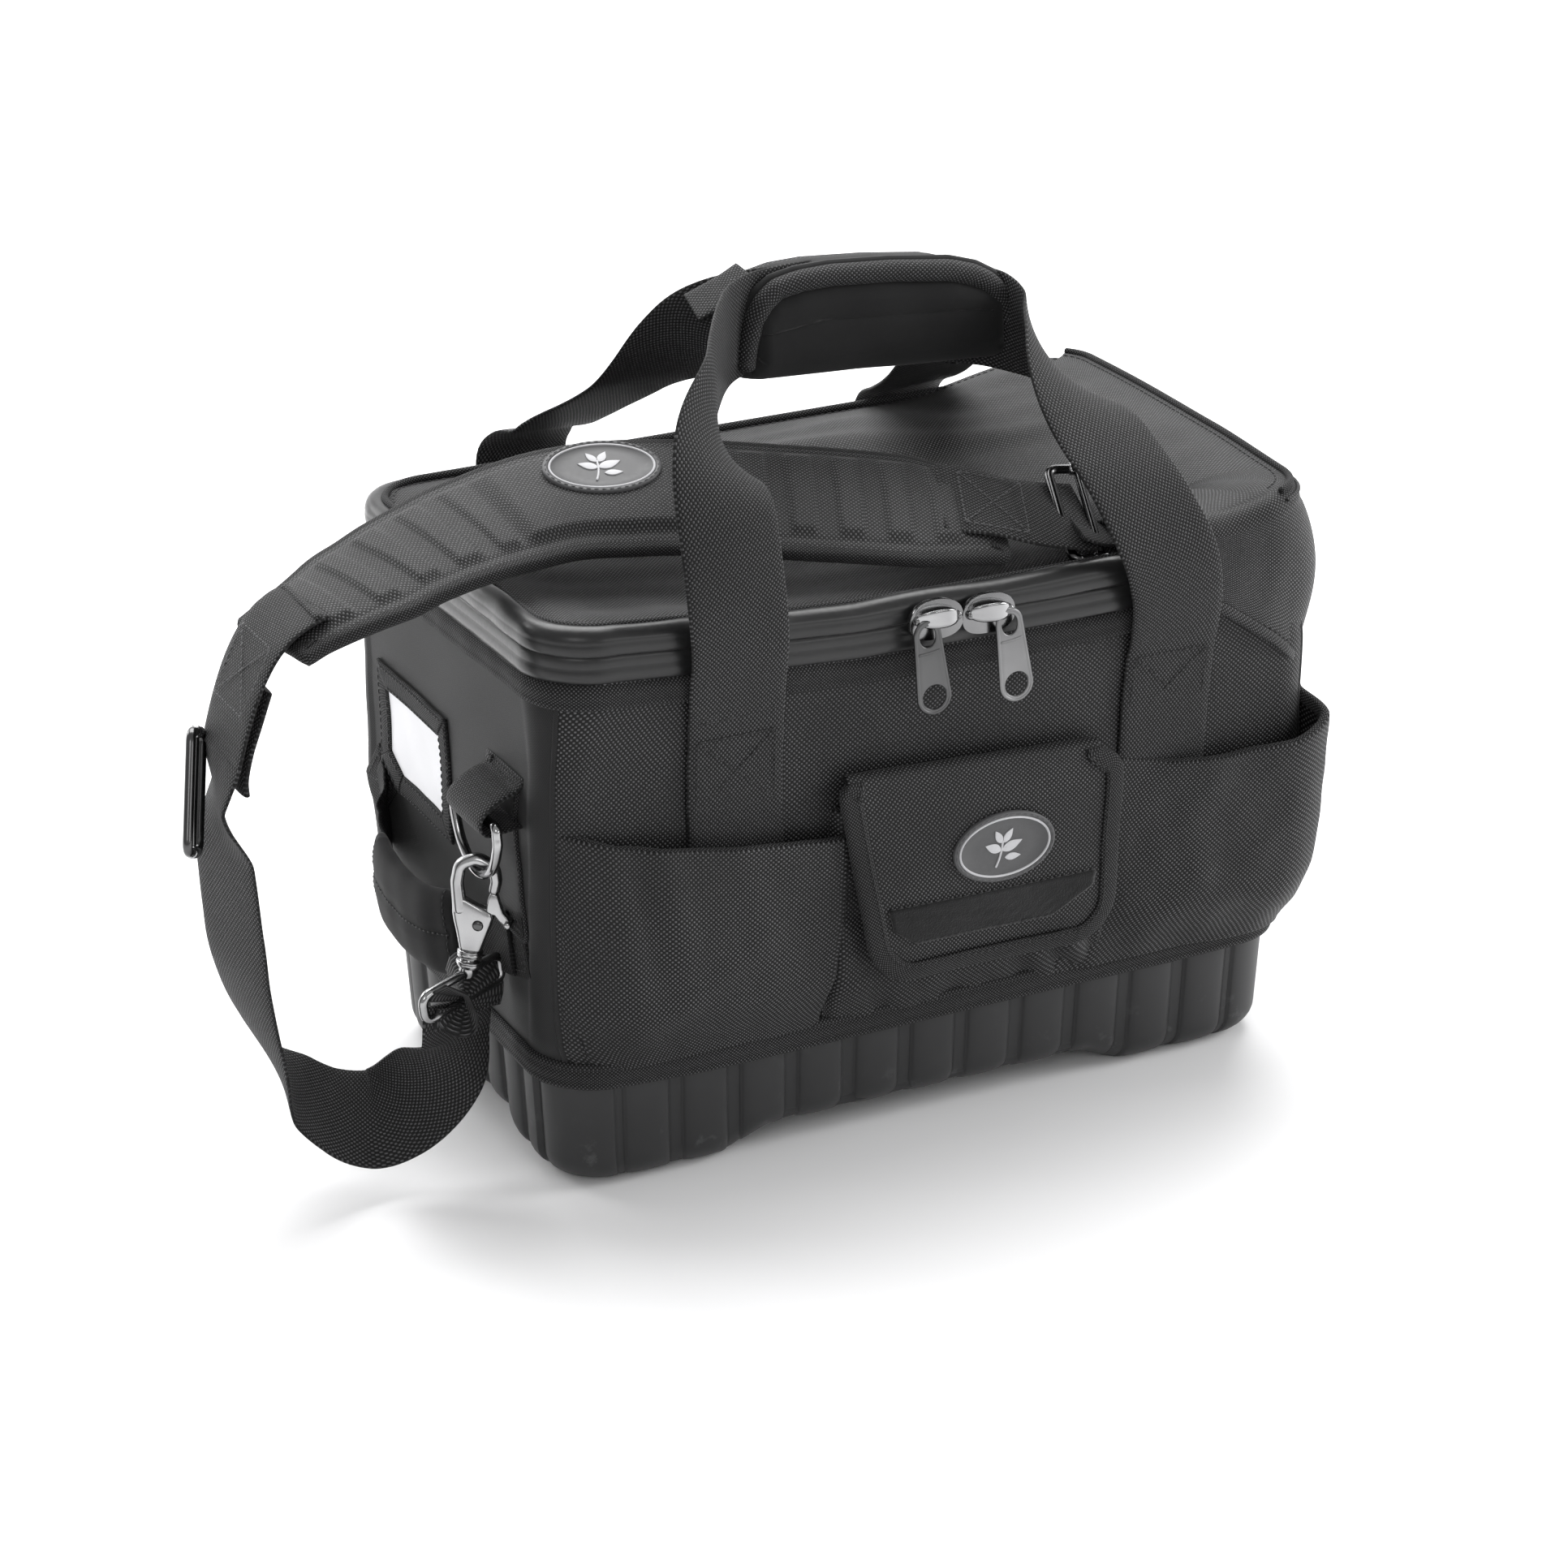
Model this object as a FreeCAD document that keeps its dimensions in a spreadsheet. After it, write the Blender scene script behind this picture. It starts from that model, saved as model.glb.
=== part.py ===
import FreeCAD, Part
# Zip-top tool bag: moulded rubber base tub, fabric body with open pockets, hinged padded lid
# with an overhanging end hood, two web handles joined in one wrap, side grips, D-rings with a
# snap hook, and a padded shoulder strap.  Millimetres, +X along the front, +Y to the back,
# +Z up.  Origin: centre of the flat rest pad under the base, on the floor plane.
import math
import os
import re
import Sketcher
from FreeCAD import Vector as V, Rotation, Placement

doc = FreeCAD.newDocument("tool_bag")

# ---------------------------------------------------------------- driving dimensions
sheet = doc.addObject("Spreadsheet::Sheet", "Dims")
DIMS = [
    ("BodyLength", 406), ("TopDepth", 244), ("BaseLength", 398), ("BaseDepth", 224),
    ("BaseTop", 68), ("BaseFloor", 10), ("BaseWall", 3.5), ("FloorThick", 4),
    ("BaseCorner", 32), ("TopCorner", 38), ("FabricThick", 2.5), ("PanelLow", 68.5),
    ("PanelTop", 264), ("SeamLow", 60), ("SeamHigh", 77), ("RimLow", 244),
    ("ZipLow", 268.2), ("ZipMid", 271.5), ("ZipHigh", 274.8), ("LidLow", 275),
    ("LidSeam", 284), ("LidTop", 292.5), ("HoodStart", 152), ("HoodTop", 303),
    ("HoodOver", 220), ("HoodHem", 206), ("WebWidth", 50), ("WebThick", 2.5),
    ("PocketLow", 78), ("LeftRim", 167), ("RightRim", 172), ("LeftPocketFace", 134),
    ("RightPocketFace", 140), ("MidPocketFace", 131), ("FlapLow", 79), ("FlapHigh", 186),
    ("FlapFace", 138), ("BadgeLong", 56), ("BadgeShort", 37), ("RingWire", 2.5),
    ("RingWidth", 52), ("RingDrop", 32), ("TabLong", 46), ("TabWide", 17),
    ("PadWide", 76), ("PadThick", 10), ("SlideWide", 58), ("SlideHigh", 30),
    ("SlideWire", 2.2), ("GripDepth", 26), ("FootHigh", 10), ("HandlePivotZ", 243),
]
for i, (alias, val) in enumerate(DIMS, start=1):
    sheet.set("A%d" % i, alias)
    sheet.set("B%d" % i, str(val))
    sheet.setAlias("B%d" % i, alias)
doc.recompute()
D = {a: float(v) for a, v in DIMS}
OUT = []


ALIASES = sorted((a for a, _ in DIMS), key=len, reverse=True)
PAT = re.compile(r"\b(" + "|".join(ALIASES) + r")\b")
probe = doc.addObject("App::FeaturePython", "Probe")
probe.addProperty("App::PropertyFloat", "Val")


def full(e):
    """Expression text with every alias prefixed by the sheet's name."""
    return PAT.sub(lambda m: "Dims." + m.group(1), str(e))


def ev(e):
    """Numeric value of an expression written with sheet aliases."""
    if isinstance(e, (int, float)):
        return float(e)
    probe.setExpression("Val", full(e))
    probe.recompute()
    return float(probe.Val)


def plane_of(body, role):
    for f in body.Origin.OriginFeatures:
        if f.Role == role:
            return f
    raise RuntimeError("no plane " + role)


def new_body(label):
    body = doc.addObject("PartDesign::Body", label)
    body.Label = label
    OUT.append(body)
    return body


def new_sketch(body, name, role="XY_Plane", offset=0):
    sk = body.newObject("Sketcher::SketchObject", name)
    sk.AttachmentSupport = [(plane_of(body, role), "")]
    sk.MapMode = "FlatFace"
    sk.AttachmentOffset = Placement(V(0, 0, ev(offset)), Rotation())
    if not isinstance(offset, (int, float)):
        sk.setExpression("AttachmentOffset.Base.z", full(offset))
    return sk


def bind(sk, idx, expr, name):
    sk.renameConstraint(idx, name)
    if not isinstance(expr, (int, float)):
        sk.setExpression("Constraints." + name, full(expr))


def add_poly(sk, pts, tag):
    """Closed polygon whose corner coordinates are named, bound constraints."""
    n = len(pts)
    P = [(ev(a), ev(b)) for a, b in pts]
    g0 = sk.GeometryCount
    for i in range(n):
        a, b = P[i], P[(i + 1) % n]
        sk.addGeometry(Part.LineSegment(V(a[0], a[1], 0), V(b[0], b[1], 0)), False)
    for i in range(n):
        sk.addConstraint(Sketcher.Constraint("Coincident", g0 + i, 2, g0 + (i + 1) % n, 1))
    for i in range(n):
        k = sk.addConstraint(Sketcher.Constraint("DistanceX", -1, 1, g0 + i, 1, P[i][0]))
        bind(sk, k, pts[i][0], "%sX%d" % (tag, i))
        k = sk.addConstraint(Sketcher.Constraint("DistanceY", -1, 1, g0 + i, 1, P[i][1]))
        bind(sk, k, pts[i][1], "%sY%d" % (tag, i))


def add_rrect(sk, x0, x1, y0, y1, r, tag):
    """Rounded rectangle with bound sides and radius."""
    a0, a1, b0, b1, rr = ev(x0), ev(x1), ev(y0), ev(y1), ev(r)
    g = sk.GeometryCount
    L = [((a0 + rr, b0), (a1 - rr, b0)), ((a1, b0 + rr), (a1, b1 - rr)),
         ((a1 - rr, b1), (a0 + rr, b1)), ((a0, b1 - rr), (a0, b0 + rr))]
    C = [((a1 - rr, b0 + rr), -90), ((a1 - rr, b1 - rr), 0), ((a0 + rr, b1 - rr), 90), ((a0 + rr, b0 + rr), 180)]
    for i in range(4):
        p, q = L[i]
        sk.addGeometry(Part.LineSegment(V(p[0], p[1], 0), V(q[0], q[1], 0)), False)
        c, s = C[i]
        sk.addGeometry(Part.ArcOfCircle(Part.Circle(V(c[0], c[1], 0), V(0, 0, 1), rr),
                                        math.radians(s), math.radians(s + 90)), False)
    line = [g + 2 * i for i in range(4)]
    arc = [g + 2 * i + 1 for i in range(4)]
    for i in range(4):
        sk.addConstraint(Sketcher.Constraint("Tangent", line[i], 2, arc[i], 1))
        sk.addConstraint(Sketcher.Constraint("Tangent", arc[i], 2, line[(i + 1) % 4], 1))
    sk.addConstraint(Sketcher.Constraint("Horizontal", line[0]))
    sk.addConstraint(Sketcher.Constraint("Vertical", line[1]))
    sk.addConstraint(Sketcher.Constraint("Horizontal", line[2]))
    sk.addConstraint(Sketcher.Constraint("Vertical", line[3]))
    for i in (1, 2, 3):
        sk.addConstraint(Sketcher.Constraint("Equal", arc[0], arc[i]))
    k = sk.addConstraint(Sketcher.Constraint("Radius", arc[0], rr))
    bind(sk, k, r, tag + "R")
    k = sk.addConstraint(Sketcher.Constraint("DistanceX", -1, 1, line[3], 1, a0))
    bind(sk, k, x0, tag + "Left")
    k = sk.addConstraint(Sketcher.Constraint("DistanceX", -1, 1, line[1], 1, a1))
    bind(sk, k, x1, tag + "Right")
    k = sk.addConstraint(Sketcher.Constraint("DistanceY", -1, 1, line[0], 1, b0))
    bind(sk, k, y0, tag + "Low")
    k = sk.addConstraint(Sketcher.Constraint("DistanceY", -1, 1, line[2], 1, b1))
    bind(sk, k, y1, tag + "High")


def pad(body, sk, length, name="Pad", reverse=False):
    f = body.newObject("PartDesign::Pad", name)
    f.Profile = sk
    f.Length = ev(length)
    if not isinstance(length, (int, float)):
        f.setExpression("Length", full(length))
    f.Reversed = reverse
    sk.Visibility = False
    doc.recompute()
    body.Tip = f
    return f


def pocket(body, sk, length, name="Pocket", reverse=False):
    before = body.Shape.Volume
    f = body.newObject("PartDesign::Pocket", name)
    f.Profile = sk
    f.Length = ev(length)
    if not isinstance(length, (int, float)):
        f.setExpression("Length", full(length))
    f.Reversed = reverse
    sk.Visibility = False
    doc.recompute()
    if body.Shape.Volume > before - 1e-3:
        f.Reversed = not reverse
        doc.recompute()
    if body.Shape.Volume > before - 1e-3:
        raise RuntimeError("pocket cuts nothing in " + body.Label)
    body.Tip = f
    return f


def poly_pad(label, role, pts, start, length, tag="P"):
    """One padded polygon; start is the offset of the sketch along its plane's normal."""
    body = new_body(label)
    sk = new_sketch(body, label + "_sk", role, start)
    add_poly(sk, pts, tag)
    pad(body, sk, length)
    return body


def fillet(body, picker, radius, name="Fillet"):
    doc.recompute()
    base = body.Tip
    names = ["Edge%d" % (i + 1) for i, e in enumerate(base.Shape.Edges) if picker(e)]
    if not names:
        raise RuntimeError("no edges to fillet in " + body.Label)
    f = body.newObject("PartDesign::Fillet", name)
    f.Base = (base, names)
    f.Radius = ev(radius)
    if not isinstance(radius, (int, float)):
        f.setExpression("Radius", full(radius))
    doc.recompute()
    body.Tip = f
    return f


def along(axis):
    def test(e):
        if len(e.Vertexes) != 2:
            return False
        d = (e.Vertexes[1].Point - e.Vertexes[0].Point)
        if d.Length < 1e-6:
            return False
        d.normalize()
        return abs(abs(getattr(d, axis)) - 1) < 1e-3
    return test


def ring(label, x, y, r, wall, low, height, open_back=None):
    """Closed tape: rounded ring of half sizes x, y; optionally cut away behind open_back."""
    body = new_body(label)
    sk = new_sketch(body, label + "_sk", "XY_Plane", low)
    add_rrect(sk, "-(%s)" % x, x, "-(%s)" % y, y, r, "O")
    add_rrect(sk, "-(%s - %s)" % (x, wall), "%s - %s" % (x, wall), "-(%s - %s)" % (y, wall),
              "%s - %s" % (y, wall), "%s - %s" % (r, wall), "I")
    pad(body, sk, height)
    if open_back is not None:
        cut = new_sketch(body, label + "_cut", "XY_Plane", low)
        add_poly(cut, [(-230, open_back), (230, open_back), (230, 160), (-230, 160)], "C")
        pocket(body, cut, height, reverse=True)
    return body


def solid_feature(label, shape):
    f = doc.addObject("Part::Feature", label)
    f.Label = label
    f.Shape = shape
    f.Placement = f.Shape.Placement
    OUT.append(f)
    return f


# ---------------------------------------------------------------- helpers for bent pieces
def catmull(points, n):
    """Evenly refined smooth path through the given points."""
    c = Part.BSplineCurve()
    c.interpolate([V(*p) for p in points])
    return [c.value(c.FirstParameter + (c.LastParameter - c.FirstParameter) * i / n) for i in range(n + 1)]


def ribbon(path, width_dirs, width, thick):
    """Flat strap: rectangles set square to the path, skinned with ruled faces."""
    wires = []
    for i, p in enumerate(path):
        a = path[max(i - 1, 0)]
        b = path[min(i + 1, len(path) - 1)]
        t = (b - a)
        t.normalize()
        w = V(width_dirs[i]) if isinstance(width_dirs, list) else V(width_dirs)
        w = w - t * w.dot(t)
        w.normalize()
        n = t.cross(w)
        n.normalize()
        q = [p + w * (width / 2) + n * (thick / 2), p - w * (width / 2) + n * (thick / 2),
             p - w * (width / 2) - n * (thick / 2), p + w * (width / 2) - n * (thick / 2)]
        wires.append(Part.makePolygon(q + [q[0]]))
    return Part.makeLoft(wires, True, True)


def rod(points, r_bend, r_wire, closed=False):
    """Round wire bent through the points, each corner rounded to r_bend."""
    pts = [V(*p) for p in points]
    n = len(pts)
    edges, last = [], None
    rng = range(n) if closed else range(1, n - 1)
    marks = []
    for i in rng:
        a, b, c = pts[(i - 1) % n], pts[i], pts[(i + 1) % n]
        u, w = (a - b), (c - b)
        u.normalize()
        w.normalize()
        ang = u.getAngle(w)
        cut = r_bend / math.tan(ang / 2)
        p1, p2 = b + u * cut, b + w * cut
        mid_dir = u + w
        mid_dir.normalize()
        centre = b + mid_dir * (r_bend / math.sin(ang / 2))
        mid = centre - mid_dir * r_bend
        marks.append((p1, mid, p2))
    if closed:
        for i, (p1, mid, p2) in enumerate(marks):
            edges.append(Part.Arc(p1, mid, p2).toShape())
            edges.append(Part.LineSegment(p2, marks[(i + 1) % len(marks)][0]).toShape())
    else:
        last = pts[0]
        for p1, mid, p2 in marks:
            edges.append(Part.LineSegment(last, p1).toShape())
            edges.append(Part.Arc(p1, mid, p2).toShape())
            last = p2
        edges.append(Part.LineSegment(last, pts[-1]).toShape())
    wire = Part.Wire(Part.__sortEdges__(edges))
    first = wire.Edges[0]
    start = first.valueAt(first.FirstParameter)
    tan = first.tangentAt(first.FirstParameter)
    prof = Part.Wire([Part.Circle(start, tan, r_wire).toShape()])
    return wire.makePipeShell([prof], True, True)


def cyl(p, axis, r, length):
    return Part.makeCylinder(r, length, V(*p), V(*axis))


def box(x0, x1, y0, y1, z0, z1):
    return Part.makeBox(x1 - x0, y1 - y0, z1 - z0, V(x0, y0, z0))


# ================================================================ base
tub = new_body("base_tub")
sk = new_sketch(tub, "tub_outline", "XY_Plane", "BaseFloor")
add_rrect(sk, "-BaseLength / 2", "BaseLength / 2", "-BaseDepth / 2", "BaseDepth / 2", "BaseCorner", "O")
pad(tub, sk, "BaseTop - BaseFloor")
sk = new_sketch(tub, "tub_hollow", "XY_Plane", "BaseTop")
add_rrect(sk, "-(BaseLength / 2 - BaseWall)", "BaseLength / 2 - BaseWall", "-(BaseDepth / 2 - BaseWall)",
          "BaseDepth / 2 - BaseWall", "BaseCorner - BaseWall", "I")
pocket(tub, sk, "BaseTop - BaseFloor - FloorThick")
sk = new_sketch(tub, "rest_pads", "XY_Plane", 0)
add_poly(sk, [(-60, -40), (60, -40), (60, 40), (-60, 40)], "M")
for tag, sx, sy in (("A", -1, -1), ("B", 1, -1), ("C", 1, 1), ("E", -1, 1)):
    q = [(110 * sx, 60 * sy), (188 * sx, 60 * sy), (188 * sx, 102 * sy), (110 * sx, 102 * sy)]
    add_poly(sk, q, tag)
pad(tub, sk, "FootHigh", "Feet")

poly_pad("bottom_board", "XY_Plane",
         [("-(BaseLength / 2 - 24)", "-(BaseDepth / 2 - 14)"), ("BaseLength / 2 - 24", "-(BaseDepth / 2 - 14)"),
          ("BaseLength / 2 - 24", "BaseDepth / 2 - 14"), ("-(BaseLength / 2 - 24)", "BaseDepth / 2 - 14")],
         "BaseFloor + FloorThick + 0.2", 2.5)
ring("base_binding", "BaseLength / 2 + 3", "BaseDepth / 2 + 3.4", "BaseCorner + 3", 2, "SeamLow", "SeamHigh - SeamLow")

# ================================================================ fabric body
DY = "(TopDepth / 2)"
BY = "(BaseDepth / 2)"
T = "FabricThick"
poly_pad("front_panel", "YZ_Plane",
         [("-(BaseDepth / 2 + 0.2)", "PanelLow"), ("-TopDepth / 2", "PanelTop"),
          ("-(TopDepth / 2 - FabricThick)", "PanelTop"), ("-(BaseDepth / 2 + 0.2 - FabricThick)", "PanelLow")],
         "-(BodyLength / 2 - TopCorner - 0.2)", "2 * (BodyLength / 2 - TopCorner - 0.2)")
poly_pad("back_panel", "YZ_Plane",
         [("BaseDepth / 2 + 0.2 - FabricThick", "PanelLow"), ("TopDepth / 2 - FabricThick", "PanelTop"),
          ("TopDepth / 2", "PanelTop"), ("BaseDepth / 2 + 0.2", "PanelLow")],
         "-(BodyLength / 2 - TopCorner - 0.2)", "2 * (BodyLength / 2 - TopCorner - 0.2)")
poly_pad("left_end_panel", "XZ_Plane",
         [("-BaseLength / 2", "PanelLow"), ("-BodyLength / 2", "PanelTop"),
          ("-(BodyLength / 2 - FabricThick)", "PanelTop"), ("-(BaseLength / 2 - FabricThick)", "PanelLow")],
         "-(BaseDepth / 2 - BaseCorner - 0.2)", "2 * (BaseDepth / 2 - BaseCorner - 0.2)")
poly_pad("right_end_panel", "XZ_Plane",
         [("BaseLength / 2 - FabricThick", "PanelLow"), ("BodyLength / 2 - FabricThick", "PanelTop"),
          ("BodyLength / 2", "PanelTop"), ("BaseLength / 2", "PanelLow")],
         "-(BaseDepth / 2 - BaseCorner - 0.2)", "2 * (BaseDepth / 2 - BaseCorner - 0.2)")


def quarter(cx, cy, r, t, z, a0):
    """Quarter ring outline at height z, with short straight runs along the neighbouring panels."""
    a0, a1 = math.radians(a0), math.radians(a0 + 90)
    am = (a0 + a1) / 2
    P = lambda rad, a: V(cx + rad * math.cos(a), cy + rad * math.sin(a), z)
    e = [Part.Arc(P(r, a0), P(r, am), P(r, a1)).toShape(), Part.LineSegment(P(r, a1), P(r - t, a1)).toShape(),
         Part.Arc(P(r - t, a1), P(r - t, am), P(r - t, a0)).toShape(), Part.LineSegment(P(r - t, a0), P(r, a0)).toShape()]
    return Part.Wire(e)


corner = []
for sx, sy, a0 in ((1, 1, 0), (-1, 1, 90), (-1, -1, 180), (1, -1, 270)):
    rb, rt = D["BaseCorner"], D["TopCorner"]
    low = quarter(sx * (D["BaseLength"] / 2 - rb), sy * (D["BaseDepth"] / 2 + 0.2 - rb), rb, D["FabricThick"], D["PanelLow"], a0)
    high = quarter(sx * (D["BodyLength"] / 2 - rt), sy * (D["TopDepth"] / 2 - rt), rt, D["FabricThick"], D["PanelTop"], a0)
    corner.append(Part.makeLoft([low, high], True, True))
solid_feature("corner_panels", Part.makeCompound(corner))

ring("top_binding", "BodyLength / 2 + 2", "TopDepth / 2 + 2.5", "TopCorner + 2", 1.7, "RimLow", "PanelTop - RimLow")
ring("lower_gusset", "BodyLength / 2 + 1", "TopDepth / 2 + 1.5", "TopCorner + 1", 4, "PanelTop + 0.3", "ZipLow - PanelTop - 0.5")
ring("zipper_chain_lower", "BodyLength / 2 + 1.6", "TopDepth / 2 + 2", "TopCorner + 1.6", 3.6, "ZipLow", "ZipMid - ZipLow - 0.15", 80)
poly_pad("hinge_tape", "XY_Plane", [(-160, "TopDepth / 2 - 2.5"), (160, "TopDepth / 2 - 2.5"), (160, "TopDepth / 2 + 1.5"), (-160, "TopDepth / 2 + 1.5")],
         "ZipLow", "LidLow - ZipLow - 0.4")


# ---------------------------------------------------------------- open pockets: front wall, sides and bottom
def pocket_box(label, x0, x1, face, rim0, rim1, back, t=1.8):
    body = new_body(label)
    sk = new_sketch(body, label + "_front", "XZ_Plane", back)
    add_poly(sk, [(x0, "PocketLow"), (x1, "PocketLow"), (x1, rim1), (x0, rim0)], "F")
    pad(body, sk, "%s - %s" % (face, back))
    sk = new_sketch(body, label + "_room", "XZ_Plane", back)
    add_poly(sk, [("%s + %s" % (x0, t), "PocketLow + 1.8"), ("%s - %s" % (x1, t), "PocketLow + 1.8"),
                  ("%s - %s" % (x1, t), 260), ("%s + %s" % (x0, t), 260)], "R")
    pocket(body, sk, "%s - %s - %s" % (face, back, t), reverse=True)
    return body


pocket_box("front_pocket_left", -199, -60, "LeftPocketFace", "LeftRim + 22", "LeftRim", 119)
pocket_box("front_pocket_centre", -56, 72, "MidPocketFace", 178, 178, 119)
rp = new_body("front_pocket_right")
sk = new_sketch(rp, "right_pocket_plan", "XY_Plane", "PocketLow")
add_poly(sk, [(75, -119), (75, -131.5), (101, -132.5), (128, "-(RightPocketFace - 2)"), (211, "-RightPocketFace"), (211, -119)], "O")
pad(rp, sk, "RightRim + 2 - PocketLow")
sk = new_sketch(rp, "right_pocket_room", "XY_Plane", "RightRim + 2")
add_poly(sk, [(76.8, -118), (76.8, -129.8), (101, -130.7), (128, "-(RightPocketFace - 3.8)"), (209.2, "-(RightPocketFace - 1.8)"), (209.2, -118)], "I")
pocket(rp, sk, "RightRim + 2 - PocketLow - 1.8")
rims = new_body("pocket_rims")
sk = new_sketch(rims, "rim_left_sk", "XZ_Plane", "LeftPocketFace + 0.1")
add_poly(sk, [(-198, "LeftRim + 13.5"), (-61, "LeftRim - 8"), (-61, "LeftRim - 0.5"), (-198, "LeftRim + 21")], "A")
pad(rims, sk, 1.4)
sk = new_sketch(rims, "rim_right_sk", "XZ_Plane", "RightPocketFace + 0.1")
add_poly(sk, [(128, "RightRim - 6.5"), (210, "RightRim - 6.5"), (210, "RightRim + 1.5"), (128, "RightRim + 1.5")], "B")
pad(rims, sk, 1.4, "PadRight")

# ---------------------------------------------------------------- pocket flap
flap = poly_pad("pocket_flap", "XZ_Plane", [(-54, "FlapLow"), (97, "FlapLow"), (97, "FlapHigh"), (-54, "FlapHigh")],
                "FlapFace - 3.2", 3.2)
fillet(flap, lambda e: along("y")(e) and e.BoundBox.ZMax < 100, 24)
fb = new_body("flap_binding")
sk = new_sketch(fb, "flap_edge", "XZ_Plane", "FlapFace + 0.1")
add_poly(sk, [(-53, "FlapLow + 20"), (-33, "FlapLow + 1"), (76, "FlapLow + 1"), (96, "FlapLow + 20"), (96, "FlapHigh - 1"),
              (88, "FlapHigh - 1"), (88, "FlapLow + 24"), (73, "FlapLow + 9"), (-30, "FlapLow + 9"), (-45, "FlapLow + 24"),
              (-45, "FlapHigh - 1"), (-53, "FlapHigh - 1")], "B")
pad(fb, sk, 1.2)
poly_pad("flap_hook_strip", "XZ_Plane", [(-28, 92), (72, 92), (82, 103), (82, 113), (-42, 113), (-42, 104)], "FlapFace + 0.1", 1.0)
badge = new_body("flap_badge")
sk = new_sketch(badge, "badge_oval", "XZ_Plane", "FlapFace + 0.1")
gi = sk.addGeometry(Part.Ellipse(V(31.5 + 28, 145, 0), V(31.5, 145 + 18.5, 0), V(31.5, 145, 0)), False)
sk.exposeInternalGeometry(gi)
pad(badge, sk, 2.6)

# ---------------------------------------------------------------- sewn handle ends
def quad_pads(label, quads, start, length):
    body = new_body(label)
    sk = new_sketch(body, label + "_sk", "XZ_Plane", start)
    for k, q in enumerate(quads):
        add_poly(sk, q, "Q%d" % k)
    pad(body, sk, length)
    return body


quad_pads("handle_anchors_front", [[(-136, 128), (-86, 128), (-87, 242), (-137, 242)], [(93, 128), (143, 128), (146, 242), (96, 242)]],
          "TopDepth / 2 - 0.6", 2.4)
quad_pads("handle_anchors_back", [[(-130, 128), (-80, 128), (-80, 239), (-130, 239)], [(80, 128), (130, 128), (130, 239), (80, 239)]],
          "-(TopDepth / 2 + 2.4)", 2.4)

# ================================================================ lid
ring("zipper_chain_upper", "BodyLength / 2 + 1.6", "TopDepth / 2 + 2", "TopCorner + 1.6", 3.6, "ZipMid + 0.15", "ZipHigh - ZipMid - 0.15", 80)
ring("upper_gusset", "BodyLength / 2 + 1", "TopDepth / 2 + 1.5", "TopCorner + 1", 4, "LidLow", "LidSeam - LidLow")
lid = new_body("lid_panel")
sk = new_sketch(lid, "lid_outline", "XY_Plane", "LidSeam + 0.2")
add_rrect(sk, "-BodyLength / 2", "BodyLength / 2", "-(TopDepth / 2 + 0.5)", "TopDepth / 2 + 0.5", "TopCorner", "O")
pad(lid, sk, "LidTop - LidSeam - 0.4")
ring("lid_piping", "BodyLength / 2 + 3", "TopDepth / 2 + 3.5", "TopCorner + 3", 2.7, "LidSeam + 1", 3.2)

hood = new_body("hood_top")
sk = new_sketch(hood, "hood_crown", "XZ_Plane", -112)
add_poly(sk, [("HoodStart", "LidTop"), (206.3, "LidTop"), (206.3, "HoodTop - 2"), (199, "HoodTop"), (176, "HoodTop"), ("HoodStart", "LidTop + 2.2")], "C")
pad(hood, sk, 241)
sk = new_sketch(hood, "hood_front_wing", "XZ_Plane", 125.9)
add_poly(sk, [(157, 247), (206.3, "HoodHem"), (206.3, "LidTop + 3"), (157, "LidTop + 3")], "W")
pad(hood, sk, 3.1, "Wing")
poly_pad("hood_piping", "XZ_Plane", [(206.5, 298.4), (209.5, 298.4), (209.5, 301.4), (206.5, 301.4)], -112, 240)
poly_pad("hood_end_panel", "XZ_Plane",
         [(206.6, 298.2), (206.6, 294.8), (212, 290), (216.8, 274), (216, 250), (210, "HoodHem"), (213, "HoodHem"),
          (219, 250), ("HoodOver", 275), (215, 292), (210, 298.2)], -112, 240)

# ---------------------------------------------------------------- shoulder pad lying on the lid
pad_path = catmull([(-311, -50, 293), (-280, -44, 304), (-240, -36, 316), (-185, -28, 323), (-128, -22, 321), (-90, -30, 316.5), (-55, -45, 311),
                    (0, -62, 303.5), (38, -72, 300.6)], 28)
solid_feature("shoulder_pad", ribbon(pad_path, V(0, 1, 0.05), D["PadWide"], D["PadThick"]))


def frame_at(path, i, w):
    t = path[min(i + 1, len(path) - 1)] - path[max(i - 1, 0)]
    t.normalize()
    w = V(w) - t * V(w).dot(t)
    w.normalize()
    n = t.cross(w)
    if n.z < 0:
        n = n * -1
    return t, w, n


t_, w_, n_ = frame_at(pad_path, 14, V(0, 1, 0.05))
c_ = pad_path[14] + w_ * 9 + n_ * (D["PadThick"] / 2 + 0.9)
el = Part.Ellipse()
el.MajorRadius, el.MinorRadius = D["BadgeLong"] / 2, D["BadgeShort"] / 2
disc = Part.Face(Part.Wire([el.toShape()])).extrude(V(0, 0, 2.4))
m = FreeCAD.Matrix(t_.x, w_.x, n_.x, c_.x, t_.y, w_.y, n_.y, c_.y, t_.z, w_.z, n_.z, c_.z, 0, 0, 0, 1)
disc = disc.transformGeometry(m)
solid_feature("pad_badge", disc)

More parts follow.
